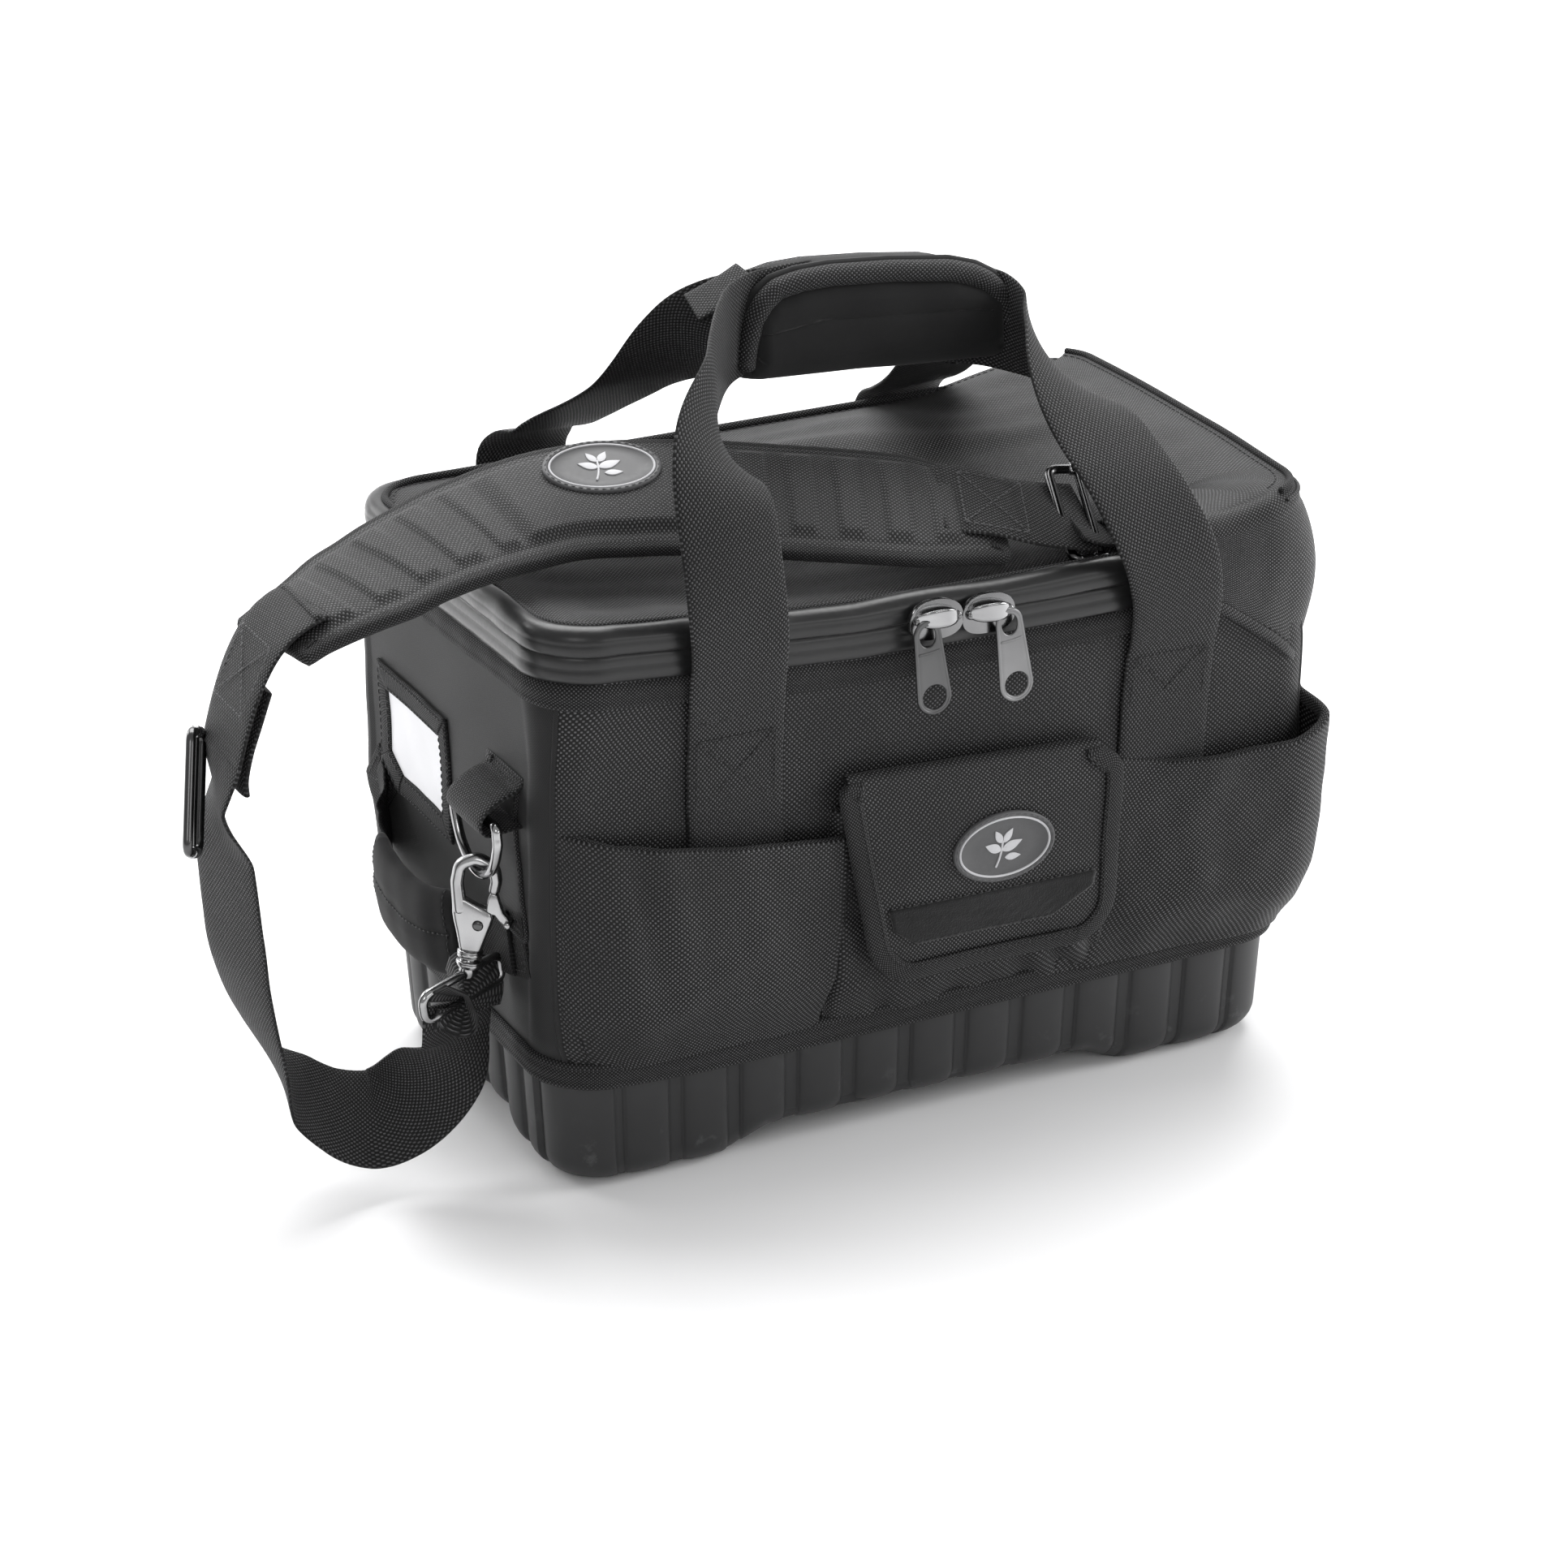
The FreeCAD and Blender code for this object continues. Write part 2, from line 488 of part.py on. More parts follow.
end_l = catmull([(-315.5, -51, 290), (-324, -52, 275), (-332, -52, 255), (-336, -52, 237)], 8)
tab_l = ribbon(end_l, V(0, 1, 0), D["WebWidth"] + 4, 4.5)
end_r = catmull([(41.5, -73, 300.4), (60, -76, 299.6), (80, -79, 299.2), (92, -80, 299)], 8)
tab_r = ribbon(end_r, V(0, 1, 0.04), D["WebWidth"] + 6, 4)
solid_feature("pad_tabs", Part.makeCompound([tab_l, tab_r]))
tail_r = catmull([(94.5, -80.3, 299), (108, -82, 298), (124, -82, 296.7), (140, -80, 295.6), (149, -79, 295.4)], 10)
solid_feature("strap_tail_right", ribbon(tail_r, V(0, 1, 0.02), D["WebWidth"] - 2, 2))


# ---------------------------------------------------------------- slide adjusters: wire frame with a centre bar
def slide(c, u, w, n, wide, high, wire):
    """Rectangular wire frame around the strap with one bar across the middle."""
    c, u, w, n = V(*c), V(*u), V(*w), V(*n)
    P = lambda a, b: tuple(c + u * a + w * b)
    loop = rod([P(-high / 2, -wide / 2), P(high / 2, -wide / 2), P(high / 2, wide / 2), P(-high / 2, wide / 2)], 6, wire, True)
    bar = Part.makeCylinder(wire * 0.8, wide - 2 * wire - 0.6, c - w * (wide / 2 - wire - 0.3), w)
    lug1 = Part.makeCylinder(wire * 1.5, 2.4 * wire, c - w * (wide / 2 + 1.2 * wire), w)
    lug2 = Part.makeCylinder(wire * 1.5, 2.4 * wire, c + w * (wide / 2 - 1.2 * wire), w)
    return loop.fuse([bar, lug1, lug2]).removeSplitter()


u = V(0.99, -0.06, -0.075)
u.normalize()
w = V(0, 1, 0.02)
w = w - u * w.dot(u)
w.normalize()
n = u.cross(w)
cR = V(110, -82, 302.9)
solid_feature("slide_right", slide(tuple(cR), tuple(u), tuple(w), tuple(n), D["SlideWide"] + 2, D["SlideHigh"], D["SlideWire"]))
solid_feature("slide_left", slide((-344.2, -50.5, 205), (-0.04, 0, 1), (0, 1, 0), (1, 0, 0.04), D["SlideWide"], D["SlideHigh"] - 2, D["SlideWire"]))

# drop loop of webbing from the left slide down and back up to the snap hook
drop_path = catmull([(-338.2, -51.8, 233.5), (-339.5, -51, 217), (-339.5, -50.5, 198), (-338, -50, 173), (-336.5, -49, 148), (-333.6, -48, 121), (-326, -47, 90), (-313.5, -47, 59),
                     (-293.4, -47, 38.7), (-274.7, -48.5, 30), (-262, -50.5, 33), (-252.5, -53, 46), (-244.5, -56, 64), (-239.5, -58, 78)], 40)
solid_feature("drop_webbing", ribbon(drop_path, V(0, 1, 0), D["WebWidth"] - 2, 2))

# ================================================================ carry handles
def handle(label, pts_left, pts_right, bar_y, bar_z, widths_l, widths_r):
    left = catmull(pts_left, 26)
    right = catmull(pts_right, 26)
    path = left + right[::-1]
    wd = []
    for i in range(len(left)):
        wd.append(widths_l(i / (len(left) - 1.0)))
    for i in range(len(right)):
        wd.append(widths_r(1 - i / (len(right) - 1.0)))
    return path, wd


def turn(t, s):
    """Width direction: along X at the sewn end, upright inside the wrap."""
    k = max(0.0, min(1.0, (t - 0.5) / 0.33))
    k = k * k * (3 - 2 * k)
    a = k * math.pi / 2
    return V(s * math.cos(a), 0, -math.sin(a))


fl = [(-112, -127.2, 243.3), (-113, -134, 268), (-114, -138.5, 295), (-115, -136, 325), (-113, -124, 350), (-106, -102, 368),
      (-92, -66, 379), (-78, -34, 383), (-66, -16, 384), (-52, -11.5, 384.5), (-36, -11, 385), (-20, -11, 385)]
fr = [(121, -127.2, 243.3), (122, -134, 262), (123, -137, 284), (123, -133, 306), (122, -121, 326), (118, -98, 343), (113, -64, 358),
      (107, -34, 367), (99, -17, 370.5), (86, -11.5, 373), (74, -11, 375), (60, -11, 377)]
path, wd = handle("f", fl, fr, -8, 380, lambda t: turn(t, 1), lambda t: turn(t, -1))
solid_feature("front_handle_web", ribbon(path, wd, D["WebWidth"] - 6, D["WebThick"]))
bl = [(-105, 127.2, 243.3), (-104, 133, 262), (-102, 135, 284), (-98, 130, 302), (-92, 112, 318), (-84, 88, 334), (-80, 58, 352),
      (-75, 30, 369), (-66, 11, 378), (-52, 5, 381.5), (-36, 4.5, 382.5), (-20, 4.5, 383)]
br = [(105, 127.2, 243.3), (106, 133, 262), (106, 135, 284), (104, 128, 302), (100, 110, 316), (97, 86, 328), (100, 56, 342),
      (103, 30, 358), (98, 11, 368), (86, 5, 372), (74, 4.5, 374), (60, 4.5, 376)]
path, wd = handle("b", bl, br, 4, 380, lambda t: turn(t, 1), lambda t: turn(t, -1))
solid_feature("back_handle_web", ribbon(path, wd, D["WebWidth"] - 6, D["WebThick"]))

# wrap: folded sheet round the grip, open towards the back so the rear handle can leave it
wrap_path = catmull([(-58, 0, 381), (-20, 0, 384), (30, 0, 382.5), (70, 0, 377), (94, 0, 371)], 14)


def wrap_wire(p, h, fat):
    y0, y1 = -18 * fat, 15
    zt, zb = p.z + h / 2, p.z - h / 2
    q = [(y1, zt), (y0 + 6, zt), (y0, zt - 8), (y0, zb + 8), (y0 + 6, zb), (y1, zb), (y1, zb + 3), (y0 + 7, zb + 3),
         (y0 + 3, zb + 9), (y0 + 3, zt - 9), (y0 + 7, zt - 3), (y1, zt - 3)]
    q = [V(p.x, a, b) for a, b in q]
    return Part.makePolygon(q + [q[0]])


wires = []
for i, p in enumerate(wrap_path):
    s = i / 14.0
    wires.append(wrap_wire(p, 60, 1.0 + 0.12 * math.sin(math.pi * s)))
solid_feature("handle_wrap", Part.makeLoft(wires, True, True))
edge_wires = []
for i, p in enumerate(wrap_path):
    zt = p.z + 30.2
    q = [V(p.x, -14, zt), V(p.x, 12, zt), V(p.x, 12, zt + 2), V(p.x, -14, zt + 2)]
    edge_wires.append(Part.makePolygon(q + [q[0]]))
solid_feature("wrap_binding", Part.makeLoft(edge_wires, True, True))

# ================================================================ zipper sliders and pull tabs
for side, x in (("left", -4), ("right", 22)):
    s = new_body("zipper_slider_" + side)
    sk = new_sketch(s, "slider_plan_" + side, "XZ_Plane", 125)
    add_poly(sk, [(x - 9.5, 266), (x - 5, 262.5), (x + 5, 262.5), (x + 9.5, 266), (x + 9.5, 275), (x + 5, 279), (x - 5, 279), (x - 9.5, 275)], "S")
    pad(s, sk, 4.5)
    sk = new_sketch(s, "bridge_plan_" + side, "XZ_Plane", 129.5)
    add_poly(sk, [(x - 2.2, 266.5), (x + 2.2, 266.5), (x + 2.2, 276.5), (x - 2.2, 276.5)], "B")
    pad(s, sk, 3.4, "Bridge")
    fillet(s, lambda e: along("x")(e) and e.BoundBox.YMin < -132.5, 1.4)
    tb = new_body("pull_tab_" + side)
    sk = new_sketch(tb, "tab_plan_" + side, "XZ_Plane", 133.2)
    add_rrect(sk, "%s - TabWide / 2" % x, "%s + TabWide / 2" % x, "264 - TabLong", 264, "TabWide / 2 - 0.6", "T")
    pad(tb, sk, 1.8)
    sk = new_sketch(tb, "tab_hole_" + side, "XZ_Plane", 133.2)
    g = sk.addGeometry(Part.Circle(V(x, 227.2, 0), V(0, 0, 1), 5.9), False)
    k = sk.addConstraint(Sketcher.Constraint("Radius", g, 5.9))
    bind(sk, k, "TabWide / 2 - 2.6", "HoleR")
    pocket(tb, sk, 1.8, reverse=True)

# ================================================================ left end: card window, ring, hook, grip
win = new_body("card_window_frame")
sk = new_sketch(win, "window_frame_sk", "YZ_Plane", -206.1)
add_poly(sk, [(1, 146), (64, 146), (82, 158), (82, 206), (1, 206)], "O")
add_poly(sk, [(11, 156), (60, 156), (72, 164), (72, 196), (11, 196)], "I")
pad(win, sk, 2.4)
poly_pad("id_card", "YZ_Plane", [(12, 157), (60, 157), (71, 164.5), (71, 195), (12, 195)], -203.0, 0.4)


def ring_set(side, sx, yc, dz):
    """Web loop with its bore, and the D-ring, for one end; sx is the outward sign."""
    f = lambda v: sx * v
    pts = [(203.3, 226), (206, 228), (227, 199), (227.5, 190), (222, 187), (217, 188), (203.3, 196)]
    body = new_body("ring_loop_" + side)
    sk = new_sketch(body, "ring_loop_sk_" + side, "XZ_Plane", -(yc + 20))
    add_poly(sk, [(f(a), b + dz) for a, b in pts], "L")
    pad(body, sk, 40)
    sk = new_sketch(body, "ring_bore_sk_" + side, "XZ_Plane", -(yc + 20))
    g = sk.addGeometry(Part.Circle(V(f(221.5), 193.5 + dz, 0), V(0, 0, 1), 3.4), False)
    k = sk.addConstraint(Sketcher.Constraint("Radius", g, 3.4))
    bind(sk, k, "RingWire + 0.9", "BoreR")
    pocket(body, sk, 40, reverse=True)
    hw, d = D["RingWidth"] / 2, D["RingDrop"]
    X = f(221.5)
    top = 193.5 + dz
    wire = rod([(X, yc - hw, top), (X, yc - hw, top - 15.5), (X, yc - 9, top - d), (X, yc + 9, top - d), (X, yc + hw, top - 15.5), (X, yc + hw, top)],
               4.0, D["RingWire"], True)
    solid_feature("d_ring_" + side, wire)


ring_set("left", -1, -72, 0)
ring_set("right", 1, -72, -34)
patches = new_body("ring_patches")
sk = new_sketch(patches, "patch_left_sk", "YZ_Plane", -203.2)
add_poly(sk, [(-94, 232), (-50, 232), (-50, 198), (-64, 176), (-74, 136), (-92, 136), (-94, 176)], "A")
pad(patches, sk, 0.5)
sk = new_sketch(patches, "patch_right_sk", "YZ_Plane", 202.7)
add_poly(sk, [(-94, 198), (-50, 198), (-50, 164), (-64, 142), (-74, 102), (-92, 102), (-94, 142)], "B")
pad(patches, sk, 0.5, "PadRight")


# ---------------------------------------------------------------- trigger snap hook hanging in the left ring
# local frame: u across, y through the plate, z up; the ring's foot runs along y through the origin
def poly_plate(pts, y0, y1):
    return Part.Face(Part.makePolygon([V(a, y0, b) for a, b in pts + pts[:1]])).extrude(V(0, y1 - y0, 0))


HOOK = Placement(V(-221.5, -72, 161.5), Rotation(V(0, 1, 0), 7.5)) * Placement(V(0, 0, 0), Rotation(V(0, 0, 1), 145))
nose = rod([(7, 0, -19), (9.3, 0, -4), (5.5, 0, 5.8), (-5.5, 0, 5.8), (-9.3, 0, -2.4), (-8.6, 0, -8.6)], 4.2, 2.9)
cheek = poly_plate([(-9, -19.1), (9.5, -15.6), (10.5, -23.4), (5, -39), (-4.5, -39), (-10, -27.3)], -3.2, 3.2)
neck = Part.makeCone(4.4, 6.0, 3.6, V(0.2, 0, -42.2), V(0, 0, 1))
hook = nose.fuse([cheek, neck]).removeSplitter()
hook.transformShape(HOOK.toMatrix())
solid_feature("snap_hook", hook)
gate = poly_plate([(-11, -10.3), (-6.5, -10.3), (-6.5, -18.3), (-11.5, -18.6), (-16.8, -21.2), (-17.6, -19.2), (-12, -14.8)], -2, 2)
gate.transformShape(HOOK.toMatrix())
solid_feature("hook_trigger", gate)
rivets = Part.makeCompound([Part.makeCylinder(3.2, 1.6, V(0, -4.9, -25.5), V(0, 1, 0)), Part.makeCylinder(3.2, 1.6, V(0, 3.3, -25.5), V(0, 1, 0))])
rivets.transformShape(HOOK.toMatrix())
solid_feature("hook_rivet", rivets)
BAR = Placement(V(-221.5, -72, 161.5), Rotation(V(0, 1, 0), 7.5)) * Placement(V(0.2, 0, -50.5), Rotation(V(0, 0, 1), 18)) * Placement(V(0, 0, 0), Rotation(V(0, 1, 0), -16))
barloop = rod([(-29, 0, 0), (18.8, 0, 0), (18.8, 0, -14), (-29, 0, -14)], 4, 2.3, True)
stem = Part.makeCylinder(3.4, 7.0, V(0, 0, -1), V(0, 0, 1))
barloop = barloop.fuse(stem).removeSplitter()
barloop.transformShape(BAR.toMatrix())
solid_feature("hook_swivel_bar", barloop)


# ---------------------------------------------------------------- side grips: band sewn at both corners, padded in the middle
def grip(side, sx):
    f = lambda v: sx * v
    path = catmull([(f(208.6), -51, 118.5), (f(214), -38, 113), (f(220), -14, 108.5), (f(220.5), 20, 110), (f(214.5), 44, 117), (f(208.8), 58, 126)], 18)
    solid_feature("side_grip_band_" + side, ribbon(path, [V(0.04 * sx, 0, 1)] * len(path), 32, 2.4))
    pp = catmull([(f(220.5), -34, 111.5), (f(224.6), -16, 109), (f(225.4), 2, 108.6), (f(224.6), 18, 110), (f(220), 36, 114.5)], 10)
    solid_feature("side_grip_pad_" + side, ribbon([p + V(f(2.2), 0, 0) for p in pp], [V(0.04 * sx, 0, 1)] * len(pp), 40, 5))


grip("left", -1)
grip("right", 1)
ga = new_body("grip_anchors")
for side, x0 in (("left", -204.6), ("right", 203.4)):
    sk = new_sketch(ga, "grip_front_" + side, "YZ_Plane", x0)
    add_poly(sk, [(-92, 112), (-61, 104), (-61, 134), (-92, 142)], "F" + side)
    pad(ga, sk, 1.2, "PadF" + side)
    sk = new_sketch(ga, "grip_rear_" + side, "YZ_Plane", x0)
    add_poly(sk, [(67, 114), (84, 122), (84, 154), (67, 146)], "K" + side)
    pad(ga, sk, 1.2, "PadK" + side)

# ================================================================ checks and export
doc.recompute()
bad = []
for o in doc.Objects:
    if "Invalid" in o.State or "Error" in o.State:
        bad.append("%s: %s" % (o.Label, o.State))
names = set()
for o in OUT:
    s = o.Shape
    if s.isNull() or not s.isValid() or len(s.Solids) < 1:
        bad.append("%s: bad shape" % o.Label)
    elif any(x.Volume < 1 for x in s.Solids):
        bad.append("%s: tiny solid %s" % (o.Label, [round(x.Volume, 2) for x in s.Solids]))
    if o.Label in names:
        bad.append("%s: label twice" % o.Label)
    names.add(o.Label)
if bad:
    raise RuntimeError("; ".join(bad))
os.makedirs("parts", exist_ok=True)
for o in OUT:
    o.Shape.exportStep("parts/%s.step" % o.Label)
print(len(OUT), "nodes written")
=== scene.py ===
import math
import bpy
import bmesh
import numpy as np
from mathutils import Vector, Matrix


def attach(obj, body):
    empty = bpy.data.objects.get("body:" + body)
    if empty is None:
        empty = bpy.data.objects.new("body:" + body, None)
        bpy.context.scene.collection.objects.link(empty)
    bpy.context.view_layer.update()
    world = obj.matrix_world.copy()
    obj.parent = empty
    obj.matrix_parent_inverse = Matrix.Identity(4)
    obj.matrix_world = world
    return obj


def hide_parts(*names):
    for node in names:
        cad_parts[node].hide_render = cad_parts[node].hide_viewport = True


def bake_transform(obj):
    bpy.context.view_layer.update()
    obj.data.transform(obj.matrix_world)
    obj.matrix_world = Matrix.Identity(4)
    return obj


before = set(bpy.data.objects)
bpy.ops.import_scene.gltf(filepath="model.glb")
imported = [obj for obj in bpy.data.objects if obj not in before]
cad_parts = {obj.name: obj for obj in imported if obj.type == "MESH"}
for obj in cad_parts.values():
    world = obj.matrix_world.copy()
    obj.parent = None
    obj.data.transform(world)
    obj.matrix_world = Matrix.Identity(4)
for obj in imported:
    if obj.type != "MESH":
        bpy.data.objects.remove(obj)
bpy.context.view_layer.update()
pi = math.pi


# =====================================================================================
# maths helpers, all in millimetres
# =====================================================================================
def A(*p):
    return np.array(p, float)


def unit(v):
    v = np.asarray(v, float)
    n = np.linalg.norm(v, axis=-1, keepdims=True)
    return v / np.maximum(n, 1e-9)


def smooth(x, a, b):
    t = np.clip((np.asarray(x, float) - a) / (b - a), 0, 1)
    return t * t * (3 - 2 * t)


def bump(x, c, w):
    return np.exp(-((np.asarray(x, float) - c) / w) ** 2)


def resample(C, n):
    C = np.asarray(C, float)
    d = np.r_[0, np.cumsum(np.linalg.norm(np.diff(C[:, :3], axis=0), axis=1))]
    s = np.linspace(0, d[-1], n)
    return np.stack([np.interp(s, d, C[:, k]) for k in range(C.shape[1])], 1)


def spline(pts, n, closed=False):
    P = np.array(pts, float)
    if closed:
        Q = np.vstack([P[-1], P, P[:2]])
        cnt = len(P)
    else:
        Q = np.vstack([2 * P[0] - P[1], P, 2 * P[-1] - P[-2]])
        cnt = len(P) - 1
    out = []
    t = np.linspace(0, 1, 24, endpoint=False)[:, None]
    for i in range(cnt):
        p0, p1, p2, p3 = Q[i:i + 4]
        out.append(0.5 * (2 * p1 + (p2 - p0) * t + (2 * p0 - 5 * p1 + 4 * p2 - p3) * t * t + (3 * p1 - p0 - 3 * p2 + p3) * t ** 3))
    out.append(P[:1] if closed else P[-1:])
    C = resample(np.vstack(out), n + 1 if closed else n)
    return C[:-1] if closed else C


def rounded(points, r, closed=False, step=0.6):
    """Wire path bent through the points, each corner an arc of radius r."""
    P = [A(*p) for p in points]
    n = len(P)
    out = []
    if not closed:
        out.append(P[0])
    for i in (range(n) if closed else range(1, n - 1)):
        a, b, c = P[(i - 1) % n], P[i], P[(i + 1) % n]
        u, w = unit(a - b), unit(c - b)
        ang = math.acos(np.clip(u @ w, -1, 1))
        cut = r / math.tan(ang / 2)
        cut = min(cut, 0.49 * np.linalg.norm(a - b), 0.49 * np.linalg.norm(c - b))
        rr_ = cut * math.tan(ang / 2)
        mid = unit(u + w)
        ctr = b + mid * (rr_ / math.sin(ang / 2))
        s, e = b + u * cut - ctr, b + w * cut - ctr
        tot = math.acos(np.clip(unit(s) @ unit(e), -1, 1))
        k = max(4, int(tot * rr_ / step))
        for j in range(k + 1):
            f = j / k
            out.append(ctr + (math.sin((1 - f) * tot) * s + math.sin(f * tot) * e) / math.sin(tot))
    if closed:
        out.append(out[0])
    else:
        out.append(P[-1])
    out = np.array(out)
    L = np.linalg.norm(np.diff(out, axis=0), axis=1).sum()
    C = resample(out, max(12, int(L / (step * 2))))
    return C[:-1] if closed else C


_rng = np.random.RandomState(7)
_K = _rng.normal(size=(64, 3))
_PH = _rng.uniform(0, 2 * pi, 64)


def wob(P, size, seed=0, n=6):
    """Smooth deterministic undulation of about unit height; P is (...,3)."""
    P = np.asarray(P, float)
    s = np.zeros(P.shape[:-1])
    for i in range(n):
        k = unit(_K[(seed * 7 + i) % 64]) * (2 * pi / (size * (0.7 + 0.12 * i)))
        s = s + np.sin(P @ k + _PH[(seed * 5 + i) % 64])
    return s / math.sqrt(n)


def tangents(P, closed=False):
    if closed:
        return unit(np.roll(P, -1, 0) - np.roll(P, 1, 0))
    return unit(np.gradient(P, axis=0))


def frames(P, w, closed=False):
    """Tangent, width and normal directions along a path, the width kept near w."""
    T = tangents(P, closed)
    W = np.broadcast_to(np.asarray(w, float), P.shape).copy()
    W = unit(W - T * np.sum(W * T, 1, keepdims=True))
    N = unit(np.cross(T, W))
    return T, W, N


# =====================================================================================
# mesh building
# =====================================================================================
def build(name, verts, quads, uvq, mat, body=None, shade=True, tris=None, recalc=True):
    me = bpy.data.meshes.new(name)
    verts = np.asarray(verts, float) * 0.001
    quads = np.asarray(quads, np.int32)
    me.vertices.add(len(verts))
    me.vertices.foreach_set("co", verts.astype(np.float32).ravel())
    me.loops.add(quads.size)
    me.loops.foreach_set("vertex_index", quads.ravel())
    me.polygons.add(len(quads))
    me.polygons.foreach_set("loop_start", np.arange(0, quads.size, 4, dtype=np.int32))
    me.update(calc_edges=True)
    if uvq is not None:
        uv = me.uv_layers.new(name="UVMap")
        uv.data.foreach_set("uv", np.asarray(uvq, np.float32).ravel())
    me.validate()
    if recalc:
        bm = bmesh.new()
        bm.from_mesh(me)
        bmesh.ops.recalc_face_normals(bm, faces=bm.faces)
        bm.to_mesh(me)
        bm.free()
    me.polygons.foreach_set("use_smooth", np.full(len(me.polygons), bool(shade)))
    me.materials.append(mat)
    ob = bpy.data.objects.new(name, me)
    bpy.context.scene.collection.objects.link(ob)
    if body:
        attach(ob, body)
    return ob


def loft(name, L, mat, body=None, closed=False, cap=True, uv0=(0, 0), uvs=(1, 1), shade=True, UV=None):
    """Skin of closed loops; L is (loops, points, 3)."""
    L = np.asarray(L, float)
    n, m = L.shape[:2]
    nn = n + 1 if closed else n
    if UV is None:
        D = np.linalg.norm(np.roll(L, -1, 0) - L, axis=2).max(1)
        U = np.r_[0, np.cumsum(D)][:nn] * uvs[0] + uv0[0]
        E = np.linalg.norm(np.roll(L, -1, 1) - L, axis=2).mean(0)
        Vv = np.r_[0, np.cumsum(E)] * uvs[1] + uv0[1]
        UU, VV = np.meshgrid(U, Vv, indexing="ij")
        UV = np.stack([UU, VV], 2)
    rows = n if closed else n - 1
    i = np.arange(rows)[:, None]
    j = np.arange(m)[None, :]
    i2, j2 = (i + 1) % n, (j + 1) % m
    q = np.stack([i * m + j, i * m + j2, i2 * m + j2, i2 * m + j], 2).reshape(-1, 4)
    uq = np.stack([UV[:-1, :-1][:rows], UV[:-1, 1:][:rows], UV[1:, 1:][:rows], UV[1:, :-1][:rows]], 2).reshape(-1, 4, 2)
    if cap and not closed:
        k = np.arange(m // 2 - 1)
        for base, row in ((0, 0), ((n - 1) * m, n - 1)):
            c = np.stack([k, k + 1, m - 2 - k, m - 1 - k], 1)
            cu = UV[row][np.stack([k, k + 1, m - 2 - k, m - 1 - k], 1)]
            q = np.vstack([q, c + base])
            uq = np.concatenate([uq, cu], 0)
    return build(name, L.reshape(-1, 3), q, uq, mat, body, shade)


def sheet(name, P, t, mat, body=None, closed=False, side=1, edge=0.4, UV=None, shade=True):
    """Cloth panel from its outer surface grid P (nu, nv, 3): the back lies t behind it, edges rounded."""
    P = np.asarray(P, float)
    du = (np.roll(P, -1, 0) - np.roll(P, 1, 0)) if closed else np.gradient(P, axis=0)
    dv = np.gradient(P, axis=1)
    N = unit(np.cross(du, dv)) * side
    tt = np.broadcast_to(np.asarray(t, float), P.shape[:2])[..., None]
    B = P - N * tt
    e0 = unit(P[:, 0] - P[:, 1])
    e1 = unit(P[:, -1] - P[:, -2])
    m0 = (P[:, 0] + B[:, 0]) / 2 + e0 * tt[:, 0] * edge
    m1 = (P[:, -1] + B[:, -1]) / 2 + e1 * tt[:, -1] * edge
    L = np.concatenate([P, m1[:, None], B[:, ::-1], m0[:, None]], 1)
    n = len(P)
    nn = n + 1 if closed else n
    if UV is None:
        D = np.linalg.norm(np.roll(P, -1, 0) - P, axis=2).mean(1)
        U = np.r_[0, np.cumsum(D)][:nn]
        E = np.linalg.norm(np.diff(P, axis=1), axis=2).mean(0)
        Vv = np.r_[0, np.cumsum(E)]
        UV = np.stack(np.meshgrid(U, Vv, indexing="ij"), 2)
    else:
        UV = np.asarray(UV, float)
        if closed:
            UV = np.concatenate([UV, UV[:1] + (UV[-1:] + UV[1:2] - 2 * UV[:1])], 0)
    UV = np.concatenate([UV, UV[:, -1:], UV[:, ::-1], UV[:, :1], UV[:, :1]], 1)
    return loft(name, L, mat, body, closed=closed, UV=UV, shade=shade)


